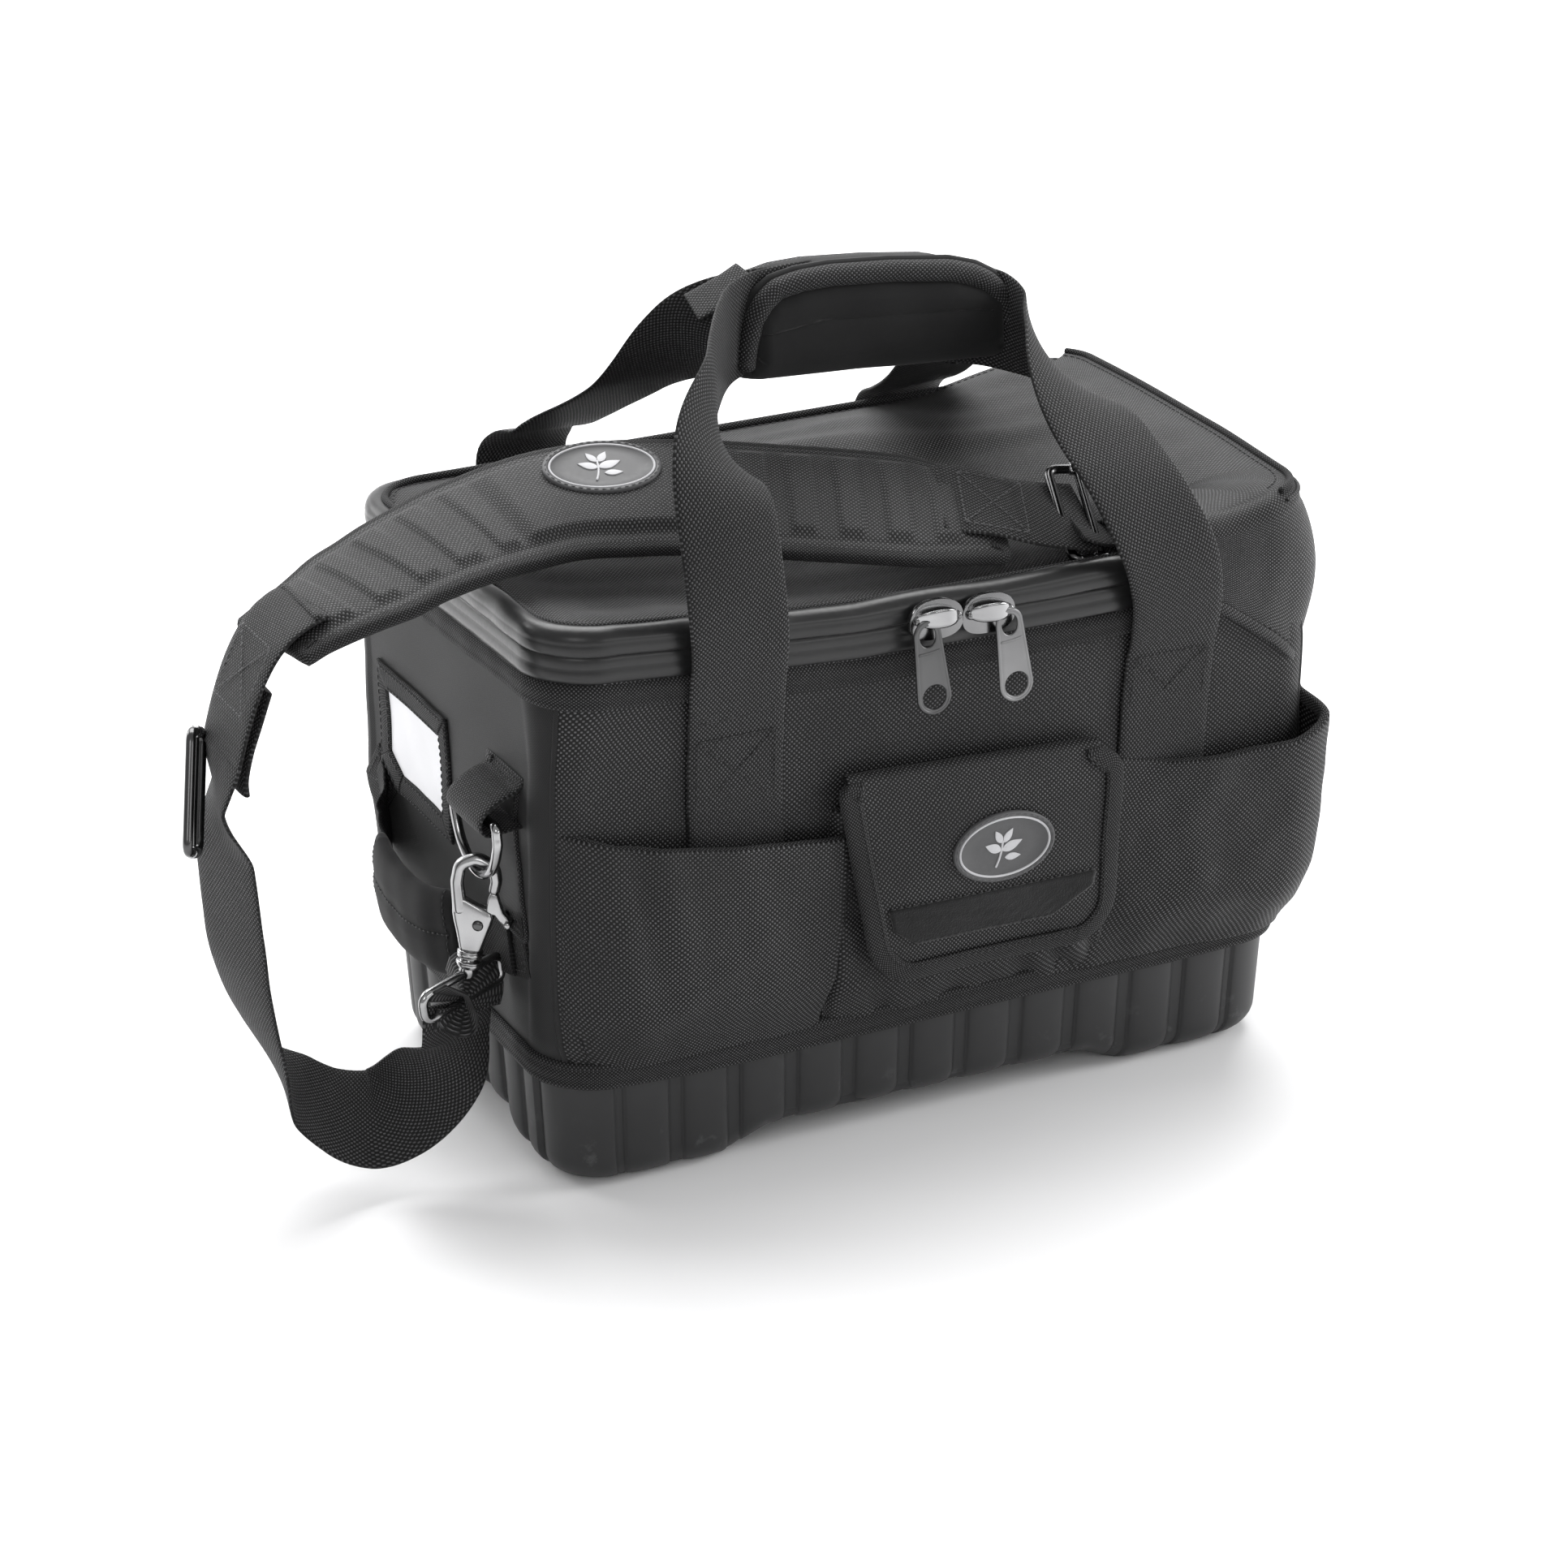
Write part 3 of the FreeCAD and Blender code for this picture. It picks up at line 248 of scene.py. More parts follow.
def strap(name, P, w, width, t, mat, body=None, curl=0.0, closed=False, nw=15, crown=0.12, uv0=0.0):
    """Webbing: width directions w, total width, thickness, optional cross curl (1/mm, towards the normal)."""
    P = np.asarray(P, float)
    n = len(P)
    T, W, N = frames(P, w, closed)
    width = np.broadcast_to(np.asarray(width, float), (n,))
    curl = np.broadcast_to(np.asarray(curl, float), (n,))
    th = np.broadcast_to(np.asarray(t, float), (n,))
    s = np.linspace(-0.5, 0.5, nw)
    loops = []
    half = []
    for side in (1, -1):
        ss = s if side == 1 else s[::-1]
        x = width[:, None] * ss[None]
        k = np.where(np.abs(curl) < 1e-6, 1e-6, curl)[:, None]
        cx = np.sin(k * x) / k
        cy = (1 - np.cos(k * x)) / k
        nx, ny = -np.sin(k * x), np.cos(k * x)
        hh = (th[:, None] / 2) * (1 - (np.abs(2 * ss[None]) ** 8) * 0.35) + crown * (1 - (2 * ss[None]) ** 2)
        px, py = cx + side * nx * hh, cy + side * ny * hh
        half.append((px, py))
    px = np.concatenate([half[0][0], half[1][0]], 1)
    py = np.concatenate([half[0][1], half[1][1]], 1)
    ex = unit(np.stack([half[0][0][:, -1] - half[0][0][:, -2], half[0][1][:, -1] - half[0][1][:, -2]], 1))
    L = P[:, None] + W[:, None] * px[..., None] + N[:, None] * py[..., None]
    mid1 = (L[:, nw - 1] + L[:, nw]) / 2 + (W * ex[:, :1] + N * ex[:, 1:]) * th[:, None] * 0.3
    e2 = unit(np.stack([half[0][0][:, 0] - half[0][0][:, 1], half[0][1][:, 0] - half[0][1][:, 1]], 1))
    mid0 = (L[:, 0] + L[:, -1]) / 2 + (W * e2[:, :1] + N * e2[:, 1:]) * th[:, None] * 0.3
    L = np.concatenate([L[:, :nw], mid1[:, None], L[:, nw:], mid0[:, None]], 1)
    D = np.linalg.norm(np.roll(P, -1, 0) - P, axis=1)
    U = np.r_[0, np.cumsum(D)][: n + 1 if closed else n] + uv0
    v = (s + 0.5) * width.mean()
    Vv = np.r_[v, v[-1], v[::-1], v[0], v[0]]
    UV = np.stack(np.meshgrid(U, Vv, indexing="ij"), 2)
    return loft(name, L, mat, body, closed=closed, UV=UV)


def tube(name, P, r, mat, body=None, closed=False, seg=14, up=(0, 0, 1), squash=1.0, taper=None):
    P = np.asarray(P, float)
    T = tangents(P, closed)
    n = len(P)
    W = np.zeros_like(P)
    ref = np.asarray(up, float)
    if abs(unit(ref) @ T[0]) > 0.9:
        ref = A(1, 0, 0) if abs(T[0][0]) < 0.9 else A(0, 1, 0)
    w = unit(ref - T[0] * (ref @ T[0]))
    for i in range(n):
        w = unit(w - T[i] * (w @ T[i]))
        W[i] = w
    N = np.cross(T, W)
    if closed:
        a = math.atan2(np.dot(np.cross(W[-1], W[0]), T[0]), W[-1] @ W[0])
        for i in range(n):
            f = a * i / n
            W[i], N[i] = W[i] * math.cos(f) + N[i] * math.sin(f), N[i] * math.cos(f) - W[i] * math.sin(f)
    rr_ = np.broadcast_to(np.asarray(r, float), (n,)).copy()
    ang = np.linspace(0, 2 * pi, seg, endpoint=False)
    L = P[:, None] + (W[:, None] * np.cos(ang)[None, :, None] * squash + N[:, None] * np.sin(ang)[None, :, None]) * rr_[:, None, None]
    if not closed:
        t0, t1 = T[0], T[-1]
        caps0 = np.stack([P[0] + (L[0] - P[0]) * c - t0 * rr_[0] * s for c, s in ((0.45, 0.42), (0.82, 0.26))])
        caps1 = np.stack([P[-1] + (L[-1] - P[-1]) * c + t1 * rr_[-1] * s for c, s in ((0.82, 0.26), (0.45, 0.42))])
        L = np.concatenate([caps0, L, caps1], 0)
    return loft(name, L, mat, body, closed=closed)


def plate(name, pts, t, origin, ax, ay, az, mat, body=None, bevel=0.6, holes=()):
    """Flat cut plate from a 2-D outline (ax, ay), thickness t along az, edges bevelled."""
    bm = bmesh.new()
    def loop(poly):
        vs = [bm.verts.new(Vector((np.asarray(origin) + np.asarray(ax) * p[0] + np.asarray(ay) * p[1]) * 0.001)) for p in poly]
        return [bm.edges.new((vs[i], vs[(i + 1) % len(vs)])) for i in range(len(vs))]
    edges = loop(pts)
    for h in holes:
        edges += loop(h)
    bmesh.ops.triangle_fill(bm, use_beauty=True, edges=edges)
    bmesh.ops.recalc_face_normals(bm, faces=bm.faces)
    ex = bmesh.ops.extrude_face_region(bm, geom=bm.faces[:])
    d = Vector(np.asarray(az, float) * t * 0.001)
    bmesh.ops.translate(bm, verts=[g for g in ex["geom"] if isinstance(g, bmesh.types.BMVert)], vec=d)
    bmesh.ops.recalc_face_normals(bm, faces=bm.faces)
    me = bpy.data.meshes.new(name)
    bm.to_mesh(me)
    bm.free()
    me.materials.append(mat)
    uv = me.uv_layers.new(name="UVMap")
    co = np.zeros(len(me.vertices) * 3, np.float32)
    me.vertices.foreach_get("co", co)
    co = co.reshape(-1, 3).astype(float) * 1000 - np.asarray(origin)
    idx = np.zeros(len(me.loops), np.int32)
    me.loops.foreach_get("vertex_index", idx)
    uvv = np.stack([co @ np.asarray(ax, float), co @ np.asarray(ay, float)], 1)
    uv.data.foreach_set("uv", uvv[idx].astype(np.float32).ravel())
    ob = bpy.data.objects.new(name, me)
    bpy.context.scene.collection.objects.link(ob)
    b = ob.modifiers.new("edge", "BEVEL")
    b.width = bevel * 0.001
    b.segments = 3
    b.limit_method = "ANGLE"
    b.angle_limit = math.radians(40)
    b.harden_normals = False
    for p in me.polygons:
        p.use_smooth = True
    if body:
        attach(ob, body)
    return ob


def join(name, obs, body=None):
    """Joins built meshes into one object, each with its own material."""
    obs = [o for o in obs if o]
    bpy.context.view_layer.update()
    dg = bpy.context.evaluated_depsgraph_get()
    verts, quads_v, uvl, mats, mi, starts = [], [], [], [], [], []
    off, lo = 0, 0
    for o in obs:
        e = o.evaluated_get(dg)
        me = e.to_mesh()
        co = np.zeros(len(me.vertices) * 3, np.float32)
        me.vertices.foreach_get("co", co)
        M = np.array(o.matrix_world)
        co = co.reshape(-1, 3) @ M[:3, :3].T + M[:3, 3]
        vi = np.zeros(len(me.loops), np.int32)
        me.loops.foreach_get("vertex_index", vi)
        ls = np.zeros(len(me.polygons), np.int32)
        me.polygons.foreach_get("loop_start", ls)
        uv = np.zeros(len(me.loops) * 2, np.float32)
        if me.uv_layers:
            me.uv_layers[0].data.foreach_get("uv", uv)
        for m in o.data.materials:
            if m not in mats:
                mats.append(m)
        k = mats.index(o.data.materials[0])
        verts.append(co)
        quads_v.append(vi + off)
        starts.append(ls + lo)
        uvl.append(uv)
        mi.append(np.full(len(ls), k, np.int32))
        off += len(co)
        lo += len(vi)
        e.to_mesh_clear()
    me = bpy.data.meshes.new(name)
    V_ = np.vstack(verts)
    me.vertices.add(len(V_))
    me.vertices.foreach_set("co", V_.astype(np.float32).ravel())
    vi = np.concatenate(quads_v)
    me.loops.add(len(vi))
    me.loops.foreach_set("vertex_index", vi)
    st = np.concatenate(starts)
    me.polygons.add(len(st))
    me.polygons.foreach_set("loop_start", st)
    me.polygons.foreach_set("material_index", np.concatenate(mi))
    me.update(calc_edges=True)
    uvn = me.uv_layers.new(name="UVMap")
    uvn.data.foreach_set("uv", np.concatenate(uvl))
    me.polygons.foreach_set("use_smooth", np.ones(len(st), bool))
    for m in mats:
        me.materials.append(m)
    for o in obs:
        d = o.data
        bpy.data.objects.remove(o)
        bpy.data.meshes.remove(d)
    ob = bpy.data.objects.new(name, me)
    bpy.context.scene.collection.objects.link(ob)
    if body:
        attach(ob, body)
    return ob


STITCH = {}


def stitches(key, P, N, pitch=4.2, length=2.9, r=0.36, skip=(), lift=0.15):
    """Queues a row of thread stitches along a path lying on a surface with outward normals N."""
    P = np.asarray(P, float)
    N = np.broadcast_to(np.asarray(N, float), P.shape)
    C = np.concatenate([P, N], 1)
    tot = np.linalg.norm(np.diff(P, axis=0), axis=1).sum()
    cnt = max(2, int(tot / pitch))
    d = np.r_[0, np.cumsum(np.linalg.norm(np.diff(P, axis=0), axis=1))]
    for i in range(cnt):
        s0 = tot * (i + 0.5) / cnt
        a = np.array([np.interp(s0 - length / 2, d, C[:, k]) for k in range(6)])
        b = np.array([np.interp(s0 + length / 2, d, C[:, k]) for k in range(6)])
        if np.linalg.norm(b[:3] - a[:3]) < 0.5:
            continue
        n = unit(a[3:] + b[3:])
        STITCH.setdefault(key, []).append((a[:3] + n * lift, b[:3] + n * lift, n, r))


def flush_stitches(mat_of):
    """One thread object per key: (name, body)."""
    for key, rows in STITCH.items():
        name, body = key
        a = np.array([x[0] for x in rows])
        b = np.array([x[1] for x in rows])
        n = np.array([x[2] for x in rows])
        r = np.array([x[3] for x in rows])
        T = unit(b - a)
        S = unit(np.cross(T, n))
        n = np.cross(S, T)
        ang = np.linspace(0, 2 * pi, 6, endpoint=False)
        rows_ = []
        for f, k, d in ((0.0, 0.35, -1.0), (0.14, 0.85, -0.2), (0.5, 1.0, 0.25), (0.86, 0.85, -0.2), (1.0, 0.35, -1.0)):
            c = a + (b - a) * f + n * (d * r)[:, None]
            ring_ = c[:, None] + (S[:, None] * np.cos(ang)[None, :, None] * 1.25 + n[:, None] * np.sin(ang)[None, :, None]) * (r * k)[:, None, None]
            rows_.append(ring_)
        L = np.stack(rows_, 1)
        m, nr = len(L), 5
        base = (np.arange(m) * nr * 6)[:, None, None, None]
        i = np.arange(nr - 1)[None, :, None, None]
        j = np.arange(6)[None, None, :, None]
        j2 = (j + 1) % 6
        q = np.concatenate([base + i * 6 + j, base + i * 6 + j2, base + (i + 1) * 6 + j2, base + (i + 1) * 6 + j], 3).reshape(-1, 4)
        caps = []
        for row in (0, nr - 1):
            for c in ((0, 1, 4, 5), (1, 2, 3, 4)):
                caps.append((np.arange(m) * nr * 6)[:, None] + row * 6 + np.array(c)[None])
        q = np.vstack([q] + caps)
        uv = np.zeros((len(q), 4, 2))
        ob = build(name, L.reshape(-1, 3), q, uv, mat_of(name), body)


# =====================================================================================
# materials
# =====================================================================================
class Mat:
    def __init__(self, name, **kw):
        self.m = bpy.data.materials.new(name)
        self.m.use_nodes = True
        self.t = self.m.node_tree
        self.t.nodes.clear()
        self.out = self.node("ShaderNodeOutputMaterial")
        self.b = self.node("ShaderNodeBsdfPrincipled")
        self.t.links.new(self.b.outputs[0], self.out.inputs[0])
        for k, v in kw.items():
            self.b.inputs[k].default_value = v

    def node(self, kind, **kw):
        n = self.t.nodes.new(kind)
        for k, v in kw.items():
            setattr(n, k, v)
        return n

    def put(self, sock, v):
        if hasattr(v, "is_output"):
            self.t.links.new(v, sock)
        else:
            sock.default_value = v

    def f(self, op, a, b=0.0, c=0.0, clamp=False):
        n = self.node("ShaderNodeMath", operation=op)
        n.use_clamp = clamp
        self.put(n.inputs[0], a)
        self.put(n.inputs[1], b)
        if len(n.inputs) > 2:
            self.put(n.inputs[2], c)
        return n.outputs[0]

    def uv(self):
        n = self.node("ShaderNodeUVMap")
        s = self.node("ShaderNodeSeparateXYZ")
        self.t.links.new(n.outputs[0], s.inputs[0])
        return s.outputs[0], s.outputs[1]

    def obj(self):
        n = self.node("ShaderNodeNewGeometry")
        return n.outputs["Position"]

    def noise(self, scale, detail=3.0, rough=0.5, vec=None):
        n = self.node("ShaderNodeTexNoise")
        n.inputs["Scale"].default_value = scale
        n.inputs["Detail"].default_value = detail
        n.inputs["Roughness"].default_value = rough
        if vec is None:
            tc = self.node("ShaderNodeTexCoord")
            vec = tc.outputs["Object"]
        self.t.links.new(vec, n.inputs["Vector"])
        return n.outputs["Fac"]

    def mix(self, f, a, b):
        n = self.node("ShaderNodeMix", data_type="RGBA")
        self.put(n.inputs["Factor"], f)
        for s, v in ((n.inputs[6], a), (n.inputs[7], b)):
            self.put(s, v if hasattr(v, "is_output") else tuple(v) + (1.0,) if len(v) == 3 else v)
        return n.outputs[2]

    def ramp(self, f, a, b, lo=0.0, hi=1.0):
        n = self.node("ShaderNodeMapRange")
        self.put(n.inputs[0], f)
        n.inputs[1].default_value = a
        n.inputs[2].default_value = b
        n.inputs[3].default_value = lo
        n.inputs[4].default_value = hi
        return n.outputs[0]

    def bump(self, h, dist, strength=1.0, prev=None):
        n = self.node("ShaderNodeBump")
        n.inputs["Distance"].default_value = dist
        n.inputs["Strength"].default_value = strength
        self.put(n.inputs["Height"], h)
        if prev is not None:
            self.t.links.new(prev, n.inputs["Normal"])
        self.t.links.new(n.outputs[0], self.b.inputs["Normal"])
        return n.outputs[0]

    def set(self, k, v):
        self.put(self.b.inputs[k], v)


def g(v, tint=1.03):
    return (v, v, v * tint)


def weave(name, pu, pv, dark, light, rough=0.55, depth=0.25, diag=0.0, sheen=0.25, power=1.0, slow=0.35, spec=0.4, shift=0.5):
    """Basket weave: raised floats on one half of a checker, darker gaps between; the floats' lighter base colour is a
    painted highlight and the dark gaps are painted shade.
    """
    M = Mat(name)
    u, v = M.uv()
    wx = M.noise(55.0, 2.0, 0.5)
    warp = M.f("MULTIPLY", M.f("SUBTRACT", wx, 0.5), 1.1)
    u = M.f("ADD", u, warp)
    v = M.f("ADD", v, warp)
    a = M.f("SINE", M.f("MULTIPLY", u, pi / pu))
    bb = M.f("SINE", M.f("MULTIPLY", v, pi / pv))
    s = M.f("MULTIPLY", a, bb)
    pos = M.f("POWER", M.f("MAXIMUM", s, 0.0001), power)
    neg = M.f("POWER", M.f("MAXIMUM", M.f("MULTIPLY", s, -1.0), 0.0001), power)
    hgt = M.f("ADD", pos, M.f("MULTIPLY", neg, shift))
    n1 = M.noise(900.0, 2.0, 0.6)
    n2 = M.noise(14.0, 3.0, 0.55)
    # painted highlight: the raised floats get a lighter base colour standing in for thread glints, and the rest stays
    # dark as painted shade
    float_glint_paint = M.f("MULTIPLY", pos, M.ramp(n1, 0.25, 0.75, 0.55, 1.3))
    tone = M.ramp(n2, 0.3, 0.7, 1.0 - slow, 1.0 + slow)
    fac = M.f("MULTIPLY", float_glint_paint, tone, clamp=True)
    M.set("Base Color", M.mix(fac, g(dark), g(light)))
    M.set("Roughness", M.ramp(fac, 0.0, 1.0, rough + 0.15, rough - 0.08))
    M.set("Specular IOR Level", spec)
    M.set("Sheen Weight", sheen)
    M.set("Sheen Roughness", 0.45)
    M.bump(M.f("ADD", hgt, M.f("MULTIPLY", n1, 0.15)), depth * 0.001, 0.9)
    return M.m


def twill(name, p, dark, light, rough=0.6, depth=0.12, sheen=0.2, spec=0.35):
    M = Mat(name)
    u, v = M.uv()
    d = M.f("ADD", u, M.f("MULTIPLY", v, 0.55))
    s = M.f("ADD", M.f("MULTIPLY", M.f("SINE", M.f("MULTIPLY", d, 2 * pi / p)), 0.5), 0.5)
    w = M.f("ADD", M.f("MULTIPLY", M.f("SINE", M.f("MULTIPLY", M.f("SUBTRACT", v, M.f("MULTIPLY", u, 0.3)), 2 * pi / (p * 0.8))), 0.5), 0.5)
    n1 = M.noise(700.0, 2.0, 0.6)
    n2 = M.noise(10.0, 3.0, 0.5)
    fac = M.f("MULTIPLY", M.f("MULTIPLY", s, M.ramp(w, 0, 1, 0.65, 1.0)), M.ramp(n2, 0.3, 0.7, 0.75, 1.2), clamp=True)
    M.set("Base Color", M.mix(fac, g(dark), g(light)))
    M.set("Roughness", rough)
    M.set("Specular IOR Level", spec)
    M.set("Sheen Weight", sheen)
    M.set("Sheen Roughness", 0.4)
    M.bump(M.f("ADD", fac, M.f("MULTIPLY", n1, 0.3)), depth * 0.001, 0.8)
    return M.m


def soft(name, col, rough=0.8, grain=600.0, depth=0.15, sheen=0.3, spec=0.3, slow=0.2, coat=0.0, lo=None):
    M = Mat(name)
    n1 = M.noise(grain, 3.0, 0.6)
    n2 = M.noise(20.0, 3.0, 0.5)
    tone = M.f("MULTIPLY", M.ramp(n2, 0.3, 0.7, 0.0, 1.0, ), M.ramp(n1, 0.3, 0.7, 0.6, 1.0), clamp=True)
    M.set("Base Color", M.mix(tone, g(col * (1 - slow)), g(col * (1 + slow))))
    M.set("Roughness", M.ramp(n1, 0.3, 0.7, rough - 0.05, rough + 0.05))
    M.set("Specular IOR Level", spec)
    M.set("Sheen Weight", sheen)
    M.set("Coat Weight", coat)
    M.set("Coat Roughness", 0.3)
    M.bump(n1, depth * 0.001, 0.7)
    return M.m


def metal(name, col, rough=0.2, wear=0.08, grain=300.0):
    M = Mat(name)
    n1 = M.noise(grain, 3.0, 0.6)
    n2 = M.noise(40.0, 2.0, 0.5)
    M.set("Metallic", 1.0)
    M.set("Base Color", M.mix(M.ramp(n2, 0.35, 0.65), g(col * 0.85, 1.01), g(min(1.0, col * 1.1), 1.01)))
    M.set("Roughness", M.ramp(n2, 0.3, 0.7, rough, rough + wear))
    M.bump(n1, 0.00001, 0.5)
    return M.m


def rubber(name):
    M = Mat(name)
    pos = M.obj()
    sp = M.node("ShaderNodeSeparateXYZ")
    M.t.links.new(pos, sp.inputs[0])
    z = sp.outputs[2]
    n1 = M.noise(1400.0, 2.0, 0.5)
    n2 = M.noise(9.0, 4.0, 0.6)
    n3 = M.noise(45.0, 5.0, 0.7)
    low = M.ramp(z, 0.0, 0.035, 1.0, 0.0)
    scuff = M.f("MULTIPLY", M.ramp(n3, 0.58, 0.74, 0.0, 1.0), M.f("ADD", M.f("MULTIPLY", low, 0.8), 0.06), clamp=True)
    haze = M.ramp(n2, 0.35, 0.7, 0.0, 0.6)
    c1 = M.mix(haze, g(0.020), g(0.030))
    M.set("Base Color", M.mix(scuff, c1, g(0.13)))
    M.set("Roughness", M.ramp(n2, 0.3, 0.7, 0.40, 0.52))
    M.set("Specular IOR Level", 0.36)
    M.bump(n1, 0.00003, 0.8)
    return M.m


MT = {}
MT["ballistic"] = weave("nylon_ballistic", 1.25, 1.25, 0.0035, 0.125, rough=0.42, depth=0.40, power=1.1, slow=0.30, shift=0.18, spec=0.22, sheen=0.03)
MT["lidcloth"] = weave("nylon_lid", 1.05, 1.05, 0.004, 0.120, rough=0.46, depth=0.30, power=1.1, slow=0.30, shift=0.2, spec=0.22, sheen=0.03)
MT["hoodcloth"] = weave("nylon_hood", 1.05, 1.05, 0.004, 0.130, rough=0.44, depth=0.30, power=1.0, slow=0.30, shift=0.2, spec=0.26, sheen=0.03)
MT["endcloth"] = twill("nylon_end", 0.9, 0.007, 0.020, rough=0.62, depth=0.08, sheen=0.08, spec=0.22)
MT["webbing"] = weave("webbing_ribbed", 1.25, 1.05, 0.006, 0.105, rough=0.5, depth=0.5, power=0.8, slow=0.2, shift=0.35, spec=0.2, sheen=0.05)
MT["webdark"] = weave("webbing_dark", 1.2, 1.0, 0.004, 0.040, rough=0.6, depth=0.45, power=0.8, slow=0.2, shift=0.5, spec=0.15, sheen=0.04)
MT["tape"] = weave("binding_tape", 0.95, 0.8, 0.005, 0.085, rough=0.6, depth=0.32, power=0.8, slow=0.25, shift=0.35, spec=0.18, sheen=0.05)
MT["coated"] = soft("coated_tape", 0.012, rough=0.33, grain=450.0, depth=0.05, sheen=0.0, spec=0.40, slow=0.15, coat=0.08)
MT["teeth"] = soft("coil_teeth", 0.020, rough=0.38, grain=300.0, depth=0.03, sheen=0.0, spec=0.4)
MT["neoprene"] = soft("neoprene_face", 0.013, rough=0.85, grain=1500.0, depth=0.12, sheen=0.10, spec=0.14)
MT["thread"] = soft("sewing_thread", 0.022, rough=0.5, grain=2000.0, depth=0.05, sheen=0.05)
MT["threadlight"] = soft("sewing_thread_light", 0.09, rough=0.5, grain=2000.0, depth=0.05, sheen=0.05)
MT["fuzzy"] = soft("loop_fastener", 0.016, rough=0.95, grain=1100.0, depth=0.7, sheen=0.22, spec=0.12, slow=0.5)
MT["lining"] = soft("lining_cloth", 0.030, rough=0.8, grain=900.0, depth=0.1, sheen=0.1, spec=0.2)
MT["slider"] = metal("black_nickel", 0.20, rough=0.15)
MT["tabdark"] = metal("tab_gunmetal", 0.10, rough=0.30)
MT["tablight"] = metal("tab_satin", 0.20, rough=0.36, grain=1500.0)
MT["bright"] = metal("polished_nickel", 0.36, rough=0.10)
MT["hookm"] = metal("cast_nickel", 0.40, rough=0.20)
MT["darkwire"] = metal("dark_wire", 0.10, rough=0.16)
MT["badge"] = soft("badge_rubber", 0.075, rough=0.45, grain=500.0, depth=0.04, sheen=0.0, spec=0.35)
MT["badgelight"] = soft("badge_raised", 0.48, rough=0.45, grain=500.0, depth=0.03, sheen=0.0, spec=0.4)
MT["card"] = soft("id_card_paper", 0.80, rough=0.35, grain=250.0, depth=0.02, sheen=0.0, spec=0.5, slow=0.04)
MT["board"] = soft("stiffener_board", 0.04, rough=0.7, grain=400.0, depth=0.1, sheen=0.0)
MT["rubber"] = rubber("moulded_rubber")
MT["padcloth"] = weave("pad_cloth", 1.15, 1.15, 0.006, 0.110, rough=0.45, depth=0.25, power=1.0, slow=0.30, shift=0.30, spec=0.25, sheen=0.04)

# =====================================================================================
# rounded-rectangle ring round the bag; q runs 0..9 from the middle of the back, over the
# left end (2), the front (4), the right end (6) and back
# =====================================================================================
def rr(a, b, r, q):
    q = np.asarray(q, float)
    a, b, r = (np.broadcast_to(np.asarray(v, float), q.shape) for v in (a, b, r))
    k = np.clip(np.floor(q), 0, 8).astype(int)
    f = q - k
    x = np.zeros_like(q)
    y = np.zeros_like(q)
    nx = np.zeros_like(q)
    ny = np.zeros_like(q)
    def put(sel, X, Y, NX, NY):
        x[sel], y[sel], nx[sel], ny[sel] = X[sel], Y[sel], NX[sel], NY[sel]
    one, zero = np.ones_like(q), np.zeros_like(q)
    put(k == 0, -(a - r) * f, b, zero, one)
    for kk, a0, sx, sy in ((1, 90, -1, 1), (3, 180, -1, -1), (5, 270, 1, -1), (7, 0, 1, 1)):
        an = np.radians(a0 + 90 * f)
        put(k == kk, sx * (a - r) + r * np.cos(an), sy * (b - r) + r * np.sin(an), np.cos(an), np.sin(an))
    put(k == 2, -a * one, (b - r) * (1 - 2 * f), -one, zero)
    put(k == 4, -(a - r) + 2 * (a - r) * f, -b * one, zero, -one)
    put(k == 6, a * one, -(b - r) + 2 * (b - r) * f, one, zero)
    put(k == 8, (a - r) * (1 - f), b, zero, one)
    return x, y, nx, ny


def qgrid(q0, q1, dens=(60, 14, 76, 14, 130, 14, 76, 14, 60)):
    out = []
    for k in range(9):
        lo, hi = max(q0, k), min(q1, k + 1)
        if hi - lo <= 1e-6:
            continue
        c = max(2, int(round(dens[k] * (hi - lo))))
        out.append(np.linspace(lo, hi, c, endpoint=False))
    out.append([q1] if q1 < 9 else [])
    return np.concatenate(out)


WALLZ = [60, 68, 80, 100, 150, 220, 250, 264]
WALLA = [199.5, 200.5, 203, 204.5, 205, 205, 204, 203.5]
WALLB = [112.5, 113.2, 114.5, 115.5, 118, 121, 122.3, 122.5]
WALLR = [31, 29, 24, 20, 18, 18, 24, 30]


def wall_dims(z):
    return np.interp(z, WALLZ, WALLA), np.interp(z, WALLZ, WALLB), np.interp(z, WALLZ, WALLR)


def front_y(x, z):
    """y of the front panel's outer face."""
    return -np.interp(z, WALLZ, WALLB)


def wall(q, z, off=0.0, wrinkle=1.0):
    """Point on the cloth wall; q and z broadcast together."""
    q, z = np.broadcast_arrays(np.asarray(q, float), np.asarray(z, float))
    a, b, r = wall_dims(z)
    x, y, nx, ny = rr(a, b, r, q)
    P = np.stack([x, y, z], -1)
    mid = np.sin(np.clip((z - 66) / 200, 0, 1) * pi)
    isend = ((q > 2.0) & (q < 3.0)) | ((q > 6.0) & (q < 7.0))
    d = off + wrinkle * (mid * (0.9 * wob(P, 120, 1) + 0.35 * wob(P * A(1, 1, 0.6), 34, 2)) + np.where(isend, -1.2 * mid, 0.0))
    return P + np.stack([nx, ny, np.zeros_like(nx)], -1) * d[..., None], np.stack([nx, ny, np.zeros_like(nx)], -1)


def q_of_front(x, z=150.0):
    a, b, r = (float(v) for v in wall_dims(z))
    return 4 + (x + (a - r)) / (2 * (a - r))


# =====================================================================================
# the rim line: the bag's mouth droops in the middle of the front
# =====================================================================================
ZX = [-205, -170, -134, -114, -80, -47, 0, 57, 96, 150, 205]
ZZ = [280.5, 279.5, 276.5, 274.2, 270.6, 268.6, 267.8, 267.6, 267.8, 270, 274]


